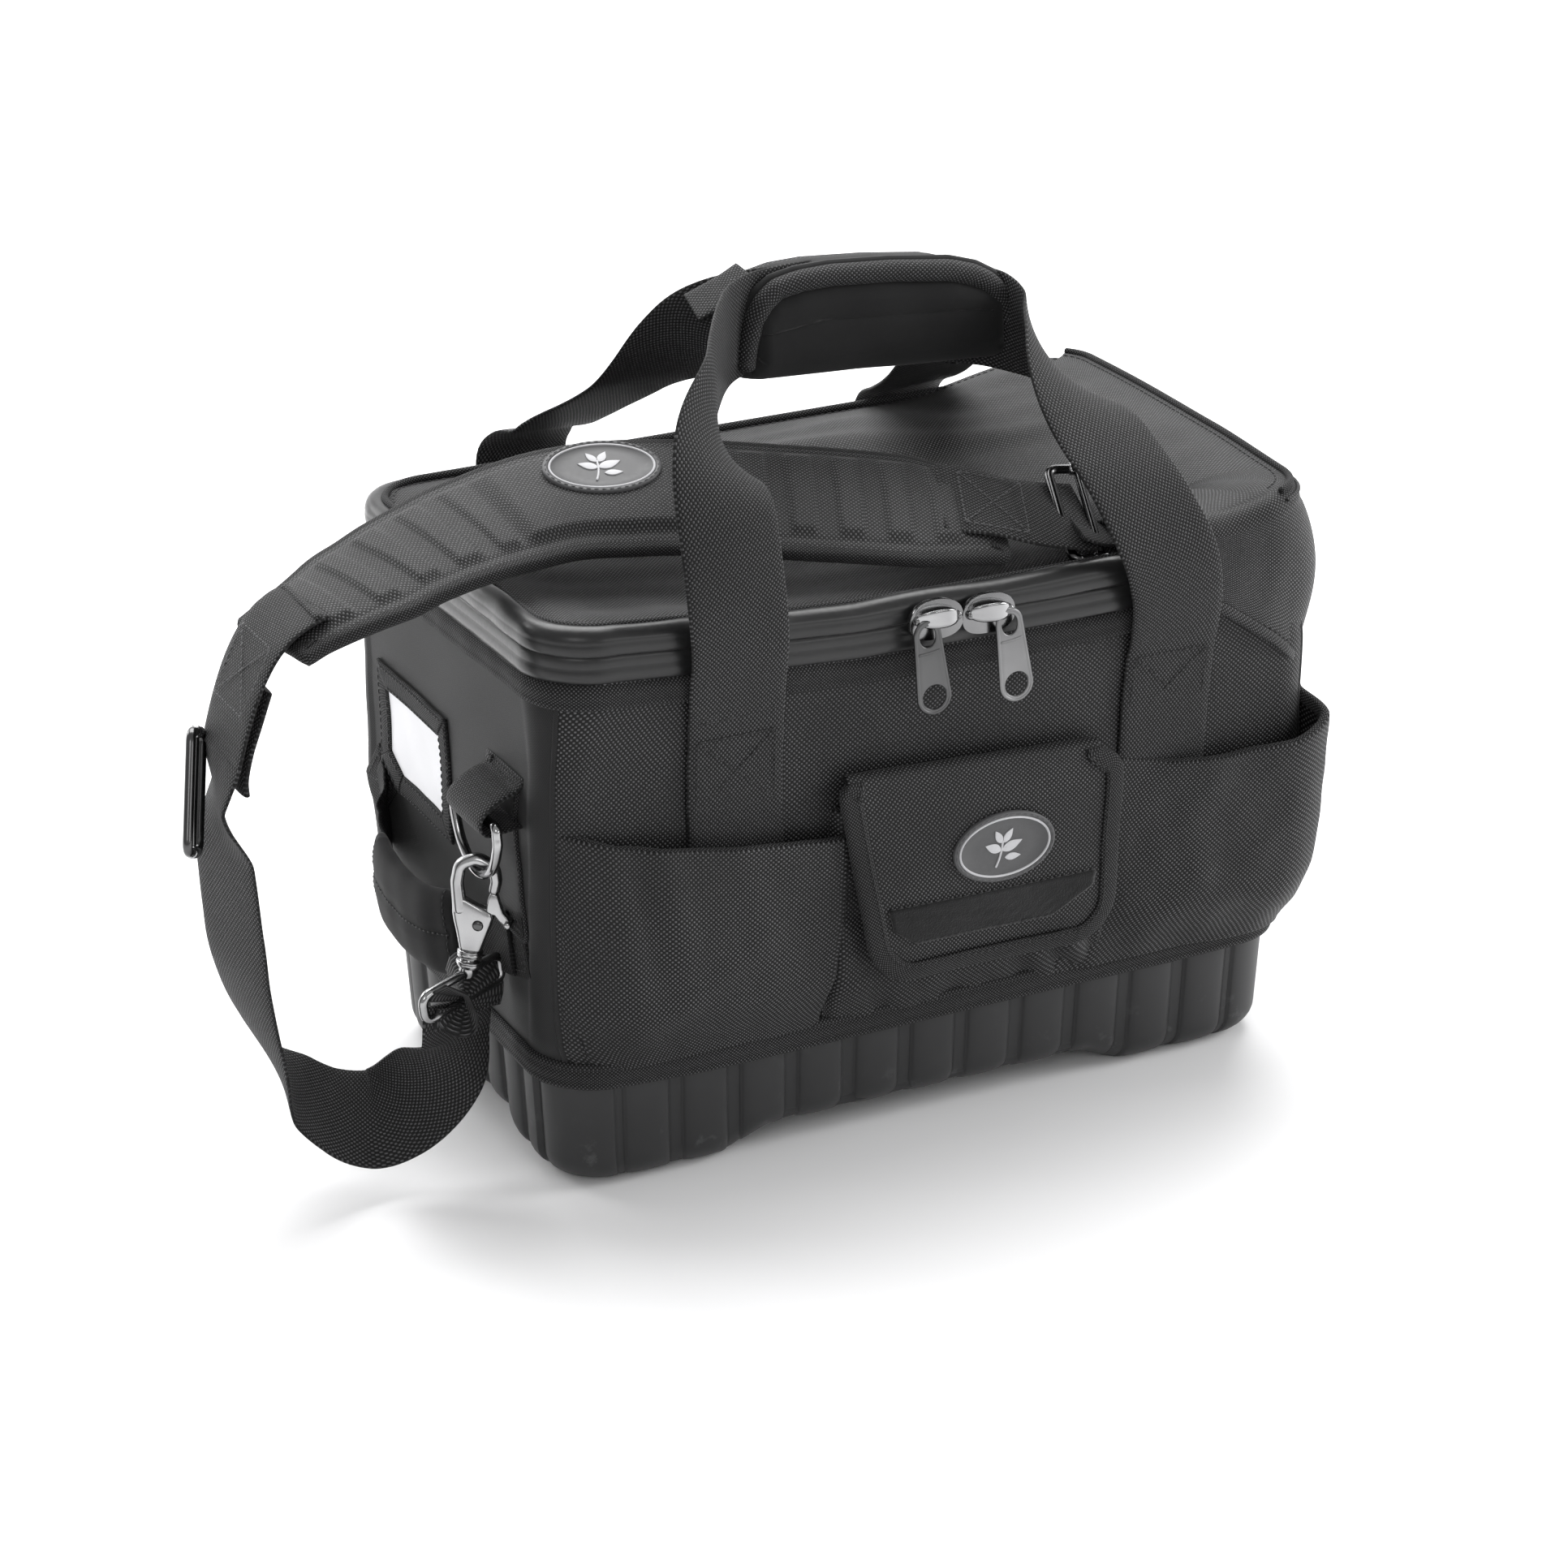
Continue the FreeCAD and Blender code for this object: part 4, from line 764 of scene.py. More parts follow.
def zip_z(q):
    """Height of the zipper's centre line round the ring."""
    q = np.asarray(q, float) % 9
    x, y, _, _ = rr(203.5, 122.5, 30.0, q)
    front = np.interp(x, ZX, ZZ)
    back = np.interp(x, [-205, 205], [276.0, 274.0])
    s = smooth(y, -108, 96)
    return front * (1 - s) + back * s


def ring_surface(q, rows, zref, dims=(203.5, 122.5, 30.0)):
    """Ring-shaped band: rows are (offset, dz) pairs measured from the height zref(q)."""
    a, b, r = dims
    x, y, nx, ny = rr(a, b, r, q % 9)
    z = zref(q)
    P = np.zeros((len(q), len(rows), 3))
    for j, (o, dz) in enumerate(rows):
        rad = o
        P[:, j, 0] = x + nx * rad
        P[:, j, 1] = y + ny * rad
        P[:, j, 2] = z + dz
    return P, np.stack([nx, ny, np.zeros_like(nx)], 1)


def edge_binding(name, E, D, N, t, wf, wb, th, mat, body=None, out=1.0, stitch=True, nf=5, closed=False, puff=0.35):
    """Folded tape over a cloth edge: E edge points on the outer face, D into the cloth, N outward normal."""
    E, D, N = (np.asarray(v, float) for v in (E, D, N))
    D = np.broadcast_to(unit(D), E.shape)
    N = np.broadcast_to(unit(N), E.shape)
    rows = []
    for f in np.linspace(1, 0, nf):
        rows.append(E + D * wf * f + N * (th + puff * math.sin(pi * f) + 0.15))
    rad = t / 2 + th + 0.15
    c = E - N * t / 2
    for an in (60, 30, 0, -30, -60):
        an = math.radians(an)
        rows.append(c + N * rad * math.sin(an) - D * (rad * math.cos(an) * 0.75 * out))
    for f in np.linspace(0, 1, nf):
        rows.append(E + D * wb * f - N * (t + th + puff * math.sin(pi * f) + 0.15))
    P = np.stack(rows, 1)
    du = np.gradient(P, axis=0)
    dv = np.gradient(P, axis=1)
    n0 = np.cross(du, dv)[:, 1]
    sgn = 1 if np.sum(n0 * N) > 0 else -1
    ob = sheet(name, P, th, mat, body, side=sgn, closed=closed)
    if stitch:
        S = E + D * (wf - 1.7) + N * (th + 0.45)
        stitches(("thread_" + (body or "x"), body), S, N, pitch=3.6, length=2.5, r=0.3)
    return ob


def arc_uv(P, k=1.0):
    D = np.linalg.norm(np.diff(P, axis=0), axis=2).mean(1)
    E = np.linalg.norm(np.diff(P, axis=1), axis=2).mean(0)
    return np.stack(np.meshgrid(np.r_[0, np.cumsum(D)], np.r_[0, np.cumsum(E)], indexing="ij"), 2)


def mouth_z(q):
    return zip_z(q) - 14.5


# =====================================================================================
# moulded base tub with flutes, corner feet and a hollow inside
# =====================================================================================
def flute_depth(q):
    q = np.asarray(q, float)
    k = np.floor(q).astype(int)
    f = q - k
    s = np.zeros_like(q)
    half = np.full_like(q, 11.5)
    a, b, r = 199.0, 112.0, 31.0
    front = (k == 4) | (k == 0) | (k == 8)
    x = np.where(k == 4, -(a - r) + 2 * (a - r) * f, np.where(k == 0, -(a - r) * f, (a - r) * (1 - f)))
    sx = (x + 15.5) % 31.0 - 15.5
    y = (b - r) * (1 - 2 * f)
    sy = (y + 12.5) % 25.0 - 12.5
    arc = f * r * pi / 2
    sc = arc - r * pi / 4
    s = np.where(front, sx, np.where((k == 2) | (k == 6), sy, sc))
    half = np.where(front, 11.6, np.where((k == 2) | (k == 6), 9.4, 20.5))
    t = np.clip(np.abs(s) / half, 0, 1)
    body_ = 2.7 * np.sqrt(np.clip(1 - t ** 2, 0, 1)) - 0.2
    strip = -1.0 + 0.35 * smooth(np.abs(s), half + 0.2, half + 1.2)
    return np.where(t < 1, np.maximum(body_, -0.9), strip)


def foot_z(q):
    x, y, _, _ = rr(199.0, 112.0, 31.0, q)
    fx = smooth(np.abs(x), 88, 116)
    fy = smooth(np.abs(y), 30, 58)
    k = np.floor(q).astype(int)
    side = (k == 2) | (k == 6)
    corner = (k == 1) | (k == 3) | (k == 5) | (k == 7)
    f = np.where(corner, 1.0, np.where(side, fy, fx))
    return 9.5 * (1 - f)


TUBTOP = 66.0
qt = qgrid(0, 9, (300, 80, 200, 80, 600, 80, 200, 80, 300))
zb = foot_z(qt)
fd = flute_depth(qt)
rows = []


def tub_row(inset, z, fl):
    x, y, nx, ny = rr(199.0 - inset, 112.0 - inset, max(31.0 - inset * 0.55, 3.0), qt)
    d = fd * fl
    return np.stack([x + nx * d, y + ny * d, np.broadcast_to(z, x.shape)], 1)


for ins, z in ((104, 14.2), (60, 14.2), (20, 14.2), (8, 14.2), (5.2, 15.0), (4.4, 18.0), (3.6, 40.0), (3.2, TUBTOP - 1)):
    rows.append(tub_row(ins, z, 0.0))
rows.append(tub_row(2.6, TUBTOP, 0.0))
rows.append(tub_row(1.2, TUBTOP, 0.2))
rows.append(tub_row(0.2, TUBTOP - 1.0, 0.6))
R = 15.0
for t in np.linspace(0, 1, 9):
    z = (TUBTOP - 2) * (1 - t) + (zb + R) * t
    fade = min(1.0, 0.55 + t * 3.0)
    rows.append(tub_row(2.6 * t, z, fade))
for ph in np.linspace(0, pi / 2, 10)[1:]:
    rows.append(tub_row(2.6 + R * (1 - math.cos(ph)) * 0.95, zb + R * (1 - math.sin(ph)), max(0.0, math.cos(ph)) ** 0.55))
rows.append(tub_row(26, zb, 0.0))
rows.append(tub_row(44, zb + 0.0, 0.0))
rows.append(tub_row(47, np.maximum(zb, 9.5), 0.0))
rows.append(tub_row(70, 9.5, 0.0))
rows.append(tub_row(104, 9.5, 0.0))
L = np.stack(rows, 0)
vv = np.r_[0, np.cumsum(np.linalg.norm(np.diff(L, axis=0), axis=2).mean(1))]
uu = np.r_[0, np.cumsum(np.linalg.norm(np.diff(L[14], axis=0), axis=1))]
uu = np.r_[uu, uu[-1] + 1]
tub = loft("tub_moulded", L, MT["rubber"], "bag_body", cap=False, UV=np.stack(np.meshgrid(vv, uu, indexing="ij"), 2))
bm = bmesh.new()
bm.from_mesh(tub.data)
be = [e for e in bm.edges if e.is_boundary]
bmesh.ops.holes_fill(bm, edges=be, sides=0)
bmesh.ops.recalc_face_normals(bm, faces=bm.faces)
bm.to_mesh(tub.data)
bm.free()
tub.data.polygons.foreach_set("use_smooth", np.ones(len(tub.data.polygons), bool))
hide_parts("base_tub")


def slab(name, x0, x1, y0, y1, z0, z1, r, mat, body, bev=1.0, dome=0.0):
    """Soft rectangular pad with rounded corners and edges."""
    cx, cy = (x0 + x1) / 2, (y0 + y1) / 2
    q = qgrid(0, 9, (20, 8, 20, 8, 40, 8, 20, 8, 20))
    rr_rows = []
    for ins, z in ((0.6, None), (0.3, z0 + bev * 2), (0, z0 + bev), (0.3 * bev, z0 + 0.3 * bev), (bev, z0)):
        pass
    prof = [(max((x1 - x0), (y1 - y0)) * 0, z1)]
    rows_ = []
    steps = [(0.92, z1 + dome), (0.6, z1 + dome * 0.8), (0.25, z1 + dome * 0.4)]
    hx, hy = (x1 - x0) / 2, (y1 - y0) / 2
    m = min(hx, hy)
    for f, z in steps:
        i = m * f
        rows_.append((i, z))
    rows_ += [(bev * 1.6, z1), (bev * 0.5, z1 - bev * 0.25), (0, z1 - bev), (0, z0 + bev), (bev * 0.5, z0 + bev * 0.25), (bev * 1.6, z0)]
    rows_ += [(m * 0.25, z0), (m * 0.6, z0), (m * 0.92, z0)]
    L_ = []
    for i, z in rows_:
        x, y, nx, ny = rr(hx - i, hy - i, max(min(r, m) - i * 0.9, 0.5), q)
        L_.append(np.stack([x + cx, y + cy, np.full_like(x, z)], 1))
    L_ = np.stack(L_, 0)
    ob = loft(name, L_, mat, None, cap=False)
    bm_ = bmesh.new()
    bm_.from_mesh(ob.data)
    bmesh.ops.holes_fill(bm_, edges=[e for e in bm_.edges if e.is_boundary], sides=0)
    bmesh.ops.recalc_face_normals(bm_, faces=bm_.faces)
    bm_.to_mesh(ob.data)
    bm_.free()
    ob.data.polygons.foreach_set("use_smooth", np.ones(len(ob.data.polygons), bool))
    if body:
        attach(ob, body)
    return ob


under = [slab("u0", -60, 60, -40, 40, 0.0, 10.5, 12, MT["rubber"], None, 2.0)]
for i in range(5):
    under.append(slab("u%d" % (i + 1), -52 + i * 26 - 7 + 0, -52 + i * 26 + 7, -33, 33, -0.0, 2.0, 5, MT["rubber"], None, 0.8))
for sx in (-1, 1):
    for k in range(3):
        x = sx * (78 + k * 16)
        under.append(slab("uv%d%d" % (sx + 1, k), x - 3, x + 3, -52, 52, 7.0, 11.0, 3, MT["rubber"], None, 1.0))
ob = join("tub_underside_pads", under, "bag_body")
board = slab("stiffener_board", -172, 172, -94, 94, 14.4, 16.8, 20, MT["board"], "bag_body", 0.8)
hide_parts("bottom_board")

# =====================================================================================
# cloth walls
# =====================================================================================
def cloth_wall(name, q0, q1, mat, reps, nz=64, off=0.0):
    if q0 < 0:
        q = np.concatenate([qgrid(q0 + 9, 9) - 9, qgrid(0, q1)])
    else:
        q = qgrid(q0, q1)
    q = np.unique(np.concatenate([q, [q0, q1]]))
    if 4 <= q0 <= 4.9 or q0 == 3.5:
        q = np.unique(np.concatenate([q, np.linspace(4, 5, 180)]))
    top = mouth_z(q)[:, None] + 2.0
    f = np.linspace(0, 1, nz)[None]
    z = 60.0 + (top - 60.0) * f
    P, N = wall((q % 9)[:, None], z, off)
    ob = sheet(name, P, 2.0, mat, "bag_body", UV=arc_uv(P), side=-1)
    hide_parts(*reps)
    return ob


cloth_wall("wall_front", 3.5, 5.5, MT["ballistic"], ["front_panel", "corner_panels"])
cloth_wall("wall_left_end", 1.5, 3.5, MT["endcloth"], ["left_end_panel"])
cloth_wall("wall_right_end", 5.5, 7.5, MT["endcloth"], ["right_end_panel"])
cloth_wall("wall_back", -1.5, 1.5, MT["ballistic"], ["back_panel"])

seams = []
for k, qs in enumerate((1.5, 3.5, 5.5, 7.5)):
    z = np.linspace(62, float(mouth_z(np.array([qs]))[0]) - 8, 70)
    P, N = wall(np.full(70, qs), z, 0.9)
    seams.append(tube("seam%d" % k, P, 1.7, MT["endcloth"], None, seg=10))
    for dq in (-0.1, 0.1):
        P2, N2 = wall(np.full(70, qs + dq), z, 0.1)
        stitches(("thread_bag", "bag_body"), P2, N2, pitch=4.0, length=2.8, r=0.28)
ob = join("corner_seam_cords", seams, "bag_body")

# horizontal stitch line of the inner pocket row on the front and back
for qa, qb in ((3.62, 5.38), (7.62, 8.999), (0.001, 1.38)):
    q = np.linspace(qa, qb, 160)
    x, _, _, _ = rr(203.0, 120.0, 20.0, q)
    z = np.interp(x, [-200, -138, -79, 20, 147, 200], [196.5, 188, 183.5, 182.5, 183.8, 186])
    P, N = wall(q, z, 0.1)
    stitches(("threadlight_bag", "bag_body"), P, N, pitch=4.4, length=3.1, r=0.26)

# lining
q = qgrid(0, 9)
z = 15.0 + (mouth_z(q)[:, None] - 1.0 - 15.0) * np.linspace(0, 1, 40)[None]
a_, b_, r_ = wall_dims(z)
x, y, nx, ny = rr(a_ - np.where(z < 70, 5.4, 4.2), b_ - np.where(z < 70, 5.4, 4.2), np.maximum(r_ - 4, 6), np.broadcast_to(q[:, None], z.shape))
P = np.stack([x, y, z], 2)
P = P + np.stack([nx, ny, 0 * nx], 2) * (0.8 * wob(P, 60, 4))[..., None]
ob = sheet("lining", P, 0.8, MT["lining"], "bag_body", closed=True, side=1)

# inside tool loops on the back wall
loops = []
for k in range(7):
    x0 = -126 + 42 * k
    t = np.linspace(0, pi, 15)
    pth = np.stack([x0 + 17 * np.cos(t) * -1, 113.0 - 8.5 * np.sin(t) ** 0.8, np.full(15, 176.0)], 1)
    pth = np.vstack([[x0 - 20, 113.0, 176.0], pth, [x0 + 20, 113.0, 176.0]])
    loops.append(strap("lp%d" % k, resample(pth, 26), (0, 0, 1), 38, 1.2, MT["webdark"], None, nw=9))
ob = join("inner_tool_loops", loops, "bag_body")

# =====================================================================================
# seam tape over the tub's edge
# =====================================================================================
q = qgrid(0, 9, (90, 24, 110, 24, 180, 24, 110, 24, 90))
xw, yw, nxw, nyw = rr(202.0, 114.5, 30.0, q)
zc = 62.5 + 0.8 * np.sin(xw / 70.0) + 2.2 * smooth(np.abs(xw), 120, 200)
rows = []
for o, dz in ((0.2, -6.6), (1.5, -6.2), (1.9, -4.6), (1.6, -3.6), (2.2, -1.0), (2.5, 1.2), (1.9, 3.4), (2.3, 4.4), (2.4, 5.6), (1.2, 6.4)):
    w1 = 0.35 * wob(np.stack([xw, yw, zc], 1), 45, 9)
    rows.append(np.stack([xw + nxw * (o + w1), yw + nyw * (o + w1), zc + dz + 0.35 * w1], 1))
P = np.stack(rows, 1)
ob = sheet("base_seam_tape", P, 1.2, MT["tape"], "bag_body", closed=True, side=-1)
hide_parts("base_binding")
Nn = np.stack([nxw, nyw, 0 * nxw], 1)
stitches(("thread_bag", "bag_body"), P[:, 3] + Nn * 0.1, Nn, pitch=3.8, length=2.6, r=0.3)
stitches(("thread_bag", "bag_body"), P[:, 6] + Nn * 0.1, Nn, pitch=3.8, length=2.6, r=0.3)

# =====================================================================================
# mouth: binding, coated tape, zipper, lid lip
# =====================================================================================
qc = qgrid(0, 9, (90, 26, 110, 26, 200, 26, 110, 26, 90))
rows = [(0.6, -10.8), (1.9, -10.4), (2.3, -8.6), (2.0, -7.4), (2.6, -4.8), (2.7, -2.6), (2.2, -1.2), (1.4, 0.1), (0.2, 0.9), (-1.4, 0.9),
        (-2.8, 0.0), (-3.6, -1.6), (-4.0, -5.0), (-4.2, -9.5)]
P, N = ring_surface(qc, rows, mouth_z, (203.3, 122.3, 27.0))
P += N[:, None] * (0.45 * wob(P[:, 3], 38, 11))[:, None, None]
ob = sheet("mouth_binding", P, 1.1, MT["tape"], "bag_body", closed=True, side=-1)
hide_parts("top_binding")
stitches(("thread_bag", "bag_body"), P[:, 3] + N * 0.1, N, pitch=4.0, length=2.8, r=0.32)
stitches(("thread_bag", "bag_body"), P[:, 6] + N * 0.1, N, pitch=4.0, length=2.8, r=0.30)

# lower coated tape
rows = [(-2.0, -14.6), (0.2, -13.8), (1.6, -12.0), (2.2, -9.6), (1.9, -7.2), (1.45, -5.9), (1.5, -5.2), (1.55, -3.6), (1.4, -1.6), (1.0, -0.7), (0.3, -0.35)]
P, N = ring_surface(qc, rows, zip_z, (203.5, 122.5, 30.0))
ob = sheet("coated_tape_lower", P, 1.0, MT["coated"], "bag_body", closed=True, side=-1)
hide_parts("lower_gusset")
# upper coated tape and lip
rows = [(0.3, 0.35), (1.0, 0.7), (1.4, 1.6), (1.5, 3.6), (1.35, 5.2), (1.2, 5.7), (1.35, 6.6), (1.1, 8.0), (0.2, 9.6), (-1.6, 11.1), (-3.8, 11.8), (-5.8, 11.6), (-7.2, 10.8), (-8.2, 9.0)]
P, N = ring_surface(qc, rows, zip_z, (203.5, 122.5, 30.0))
lipw = 0.5 * wob(P[:, 9], 60, 13)
P[:, 8:, 2] += (lipw * 0.8)[:, None]
P += N[:, None] * (0.3 * wob(P[:, 6], 40, 14))[:, None, None]
ob = sheet("coated_lip_upper", P, 1.2, MT["coated"], "lid", closed=True, side=-1)
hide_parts("upper_gusset")
LIP = P

# zipper coil bumps on both tapes and the closing line between them
def beads(name, q0, q1, off, dz, pitch, size, mat, body, tilt=0.0):
    qq = np.linspace(q0, q1, 2400)
    Pp, Nn_ = ring_surface(qq, [(off, dz)], zip_z, (203.5, 122.5, 30.0))
    Pp = Pp[:, 0]
    d = np.r_[0, np.cumsum(np.linalg.norm(np.diff(Pp, axis=0), axis=1))]
    n = int(d[-1] / pitch)
    s = (np.arange(n) + 0.5) * d[-1] / n
    C = np.stack([np.interp(s, d, Pp[:, k]) for k in range(3)], 1)
    Nn_ = unit(np.stack([np.interp(s, d, Nn_[:, k]) for k in range(3)], 1))
    Tt = unit(np.cross(A(0, 0, 1), Nn_))
    ang = np.linspace(0, 2 * pi, 8, endpoint=False)
    rings = []
    Uz = np.broadcast_to(A(0, 0, 1), C.shape)
    for f, h in ((1.0, -0.4), (0.95, 0.25), (0.7, 0.75), (0.3, 1.0)):
        ca = np.sign(np.cos(ang)) * np.abs(np.cos(ang)) ** 0.7
        sa = np.sign(np.sin(ang)) * np.abs(np.sin(ang)) ** 0.7
        rings.append(C[:, None] + (Tt[:, None] * ca[None, :, None] * size[0] + (Uz + Tt * tilt)[:, None] * sa[None, :, None] * size[1]) * f + Nn_[:, None] * size[2] * h)
    Lb = np.stack(rings, 1)
    m = len(Lb)
    base = (np.arange(m) * 32)[:, None, None, None]
    i = np.arange(3)[None, :, None, None]
    j = np.arange(8)[None, None, :, None]
    j2 = (j + 1) % 8
    qd = np.concatenate([base + i * 8 + j, base + i * 8 + j2, base + (i + 1) * 8 + j2, base + (i + 1) * 8 + j], 3).reshape(-1, 4)
    for row in (0, 3):
        for c in ((0, 1, 6, 7), (1, 2, 5, 6), (2, 3, 4, 5)):
            qd = np.vstack([qd, (np.arange(m) * 32)[:, None] + row * 8 + np.array(c)[None]])
    ob_ = build(name, Lb.reshape(-1, 3), qd, np.zeros((len(qd), 4, 2)), mat, body)
    return ob_


b1 = join("coil_bumps_lower", [beads("ba", 1.55, 7.45, 1.5, -2.3, 2.3, (0.72, 0.50, 0.36), MT["coated"], None, 0.0), beads("bb", 1.55, 7.45, 1.5, -4.1, 2.3, (0.72, 0.50, 0.36), MT["coated"], None, 0.0)], "bag_body")
b2 = join("coil_bumps_upper", [beads("ba", 1.55, 7.45, 1.45, 2.3, 2.3, (0.72, 0.50, 0.36), MT["coated"], None, 0.0), beads("bb", 1.55, 7.45, 1.4, 4.1, 2.3, (0.72, 0.50, 0.36), MT["coated"], None, 0.0)], "lid")
b3 = beads("coil_line_lower", 1.55, 7.45, 0.45, -0.75, 1.7, (0.55, 0.7, 0.8), MT["tabdark"], "bag_body")
b4 = beads("coil_line_upper", 1.55, 7.45, 0.45, 0.75, 1.7, (0.55, 0.7, 0.8), MT["tabdark"], "lid")
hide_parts("zipper_chain_lower")
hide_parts("zipper_chain_upper")
for sgn, body in ((-1, "bag_body"), (1, "lid")):
    q = np.linspace(1.5, 7.5, 900)
    P, N = ring_surface(q, [(1.35, sgn * 5.4)], zip_z, (203.5, 122.5, 30.0))
    stitches(("thread_" + ("bag" if body == "bag_body" else "lid"), body), P[:, 0], N, pitch=3.4, length=2.3, r=0.22)

# hinge cloth along the back
q = np.concatenate([np.linspace(7.5, 9, 90, endpoint=False), np.linspace(0, 1.5, 90)])
rows = [(1.6, -13.0), (2.2, -10.0), (2.4, -6.0), (2.2, -2.0), (2.2, 1.0), (2.4, 4.0), (2.2, 7.0), (1.6, 9.5)]
P, N = ring_surface(q, rows, zip_z, (203.5, 122.5, 30.0))
hinge = sheet("hinge_cloth", P, 1.0, MT["ballistic"], None, side=-1)
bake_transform(hinge)
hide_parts("hinge_tape")

# =====================================================================================
# lid
# =====================================================================================
def lip_z(x, y):
    """Height of the cord seam round the lid."""
    front = np.interp(x, ZX, ZZ) + 10.0
    back = np.interp(x, [-205, 205], [287.0, 289.0])
    s = smooth(y, -112, 100)
    return front * (1 - s) + back * s


def lid_z(x, y):
    e = np.minimum(np.minimum(197 - np.abs(x), 116 - np.abs(y)), 60)
    base = lip_z(x, y)
    inner = smooth(e, 0, 34)
    z = base + 1.5 * smooth(e, 0, 12)
    z = z + inner * (7.0 * bump(x, 70, 90) * bump(y, 66, 62) - 5.5 * bump(x, -95, 75) * bump(y, -66, 42) + 3.0 * bump(x, -140, 60) * bump(y, 70, 60))
    z = z + inner * (1.1 * wob(np.stack([x, y, 0 * x], -1), 95, 21) + 0.35 * wob(np.stack([x, y, 0 * x], -1), 30, 22))
    z = z + 10.5 * smooth(x, 95, 172) * (0.55 + 0.45 * smooth(y, -118, -40))
    # ripples spreading from the front-left corner seam
    d = (x + 197) * 0.55 + (y + 116) * 0.83
    t = (x + 197) * 0.83 - (y + 116) * 0.55
    z = z + 1.3 * np.sin(t / 5.2) * np.exp(-(d / 26.0) ** 2) * np.exp(-(t / 34.0) ** 2)
    # a slack fold running from the rear handle towards the hood
    f1 = (y - 52) + 0.32 * (x - 40)
    z = z + 2.4 * np.exp(-(f1 / 10.0) ** 2) * smooth(x, -60, 10) * (1 - smooth(x, 120, 175))
    f2 = (y - 30) + 0.2 * (x - 60)
    z = z - 1.8 * np.exp(-(f2 / 13.0) ** 2) * smooth(x, -30, 40) * (1 - smooth(x, 120, 170))
    return z


def rrect_grid(a, b, r, nx, nyc, nym):
    ph = np.linspace(0, pi / 2, nyc)
    ys = np.concatenate([-(b - r) - r * np.cos(ph), np.linspace(-(b - r), b - r, nym)[1:-1], (b - r) + r * np.sin(ph)])
    X = np.where(np.abs(ys) <= b - r, a, (a - r) + np.sqrt(np.maximum(r * r - (np.abs(ys) - (b - r)) ** 2, 0)))
    u = np.linspace(-1, 1, nx)
    x = u[:, None] * X[None]
    y = np.broadcast_to(ys[None], x.shape)
    return x, y


x, y = rrect_grid(197.5, 116.5, 28.0, 190, 10, 110)
P = np.stack([x, y, lid_z(x, y)], 2)
ob = sheet("lid_cloth", P, 3.0, MT["lidcloth"], "lid", UV=np.stack([x, y], 2), side=1)
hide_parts("lid_panel")
x2, y2 = rrect_grid(196.0, 115.0, 28.0, 90, 8, 50)
P = np.stack([x2, y2, lid_z(x2, y2) - 6.5 + 0.8 * wob(np.stack([x2, y2, 0 * x2], -1), 50, 31)], 2)
ob = sheet("lid_lining", P, 1.0, MT["lining"], "lid", UV=np.stack([x2, y2], 2), side=1)
q = qgrid(0, 9, (90, 30, 110, 30, 200, 30, 110, 30, 90))
x, y, nx, ny = rr(197.2, 116.2, 28.0, q)
P = np.stack([x, y, lip_z(x, y) + 1.6 + 10.5 * smooth(x, 95, 172) * (0.55 + 0.45 * smooth(y, -118, -40)) * 0.0], 1)
cord = tube("lid_cord", P, 1.9, MT["tape"], None, closed=True, seg=12)
q2 = np.linspace(0, 9, 700, endpoint=False)
x, y, nx, ny = rr(193.6, 112.6, 26.0, q2)
P = np.stack([x, y, lid_z(x, y) + 0.1], 1)
stitches(("thread_lid", "lid"), P, (0, 0, 1), pitch=4.0, length=2.8, r=0.3)
cord = join("lid_cord", [cord], "lid")
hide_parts("lid_piping")

# hood over the right end
def hood_hem(q):
    x, y, _, _ = rr(205.0, 124.0, 30.0, q)
    k = np.floor(q).astype(int)
    front = np.interp(x, [140, 152, 170, 194, 204, 210], [250, 242.5, 230, 212.5, 205.5, 204.5])
    side = 205.0 + 2.0 * np.sin((y + 120) / 240 * pi)
    s = smooth(q, 5.0, 5.9)
    return front * (1 - s) + side * s


qh = np.unique(np.concatenate([qgrid(4.80, 7.44, (60, 30, 120, 30, 190, 34, 120, 34, 60)), [4.80, 7.44]]))
x0, y0, nx0, ny0 = rr(205.0, 124.0, 30.0, qh)
hem = hood_hem(qh)
topz = 297.0 + 4.5 * smooth(y0, -120, -30) + 0.6 * np.sin(y0 / 30.0) - 6.5 * (1 - smooth(x0, 150, 196)) * (ny0 < -0.5)
rows = []
for ins in np.linspace(64, 10, 16):
    xx, yy, _, _ = rr(205.0 - ins, 124.0 - ins, max(30.0 - ins * 0.6, 2.0), qh)
    lz = lid_z(np.clip(xx, -190, 196), np.clip(yy, -112, 112))
    f = smooth(-ins, -64, -12)
    zz = (lz - 2.2) * (1 - f) + (topz + 1.2) * f
    g_ = 2.6 * math.sin(pi * (64 - ins) / 54.0)
    wv = 0.7 * wob(np.stack([xx, yy, 0 * xx], 1), 46, 41) * (f * (1 - f) * 4)
    rows.append(np.stack([xx, yy, zz + g_ * 0.6 + wv], 1))
for an in np.linspace(90, 0, 9):
    an = math.radians(an)
    rad = 9.5
    o = -8.6 + rad * math.cos(an)
    rows.append(np.stack([x0 + nx0 * o, y0 + ny0 * o, topz + 1.2 - rad + rad * math.sin(an)], 1))
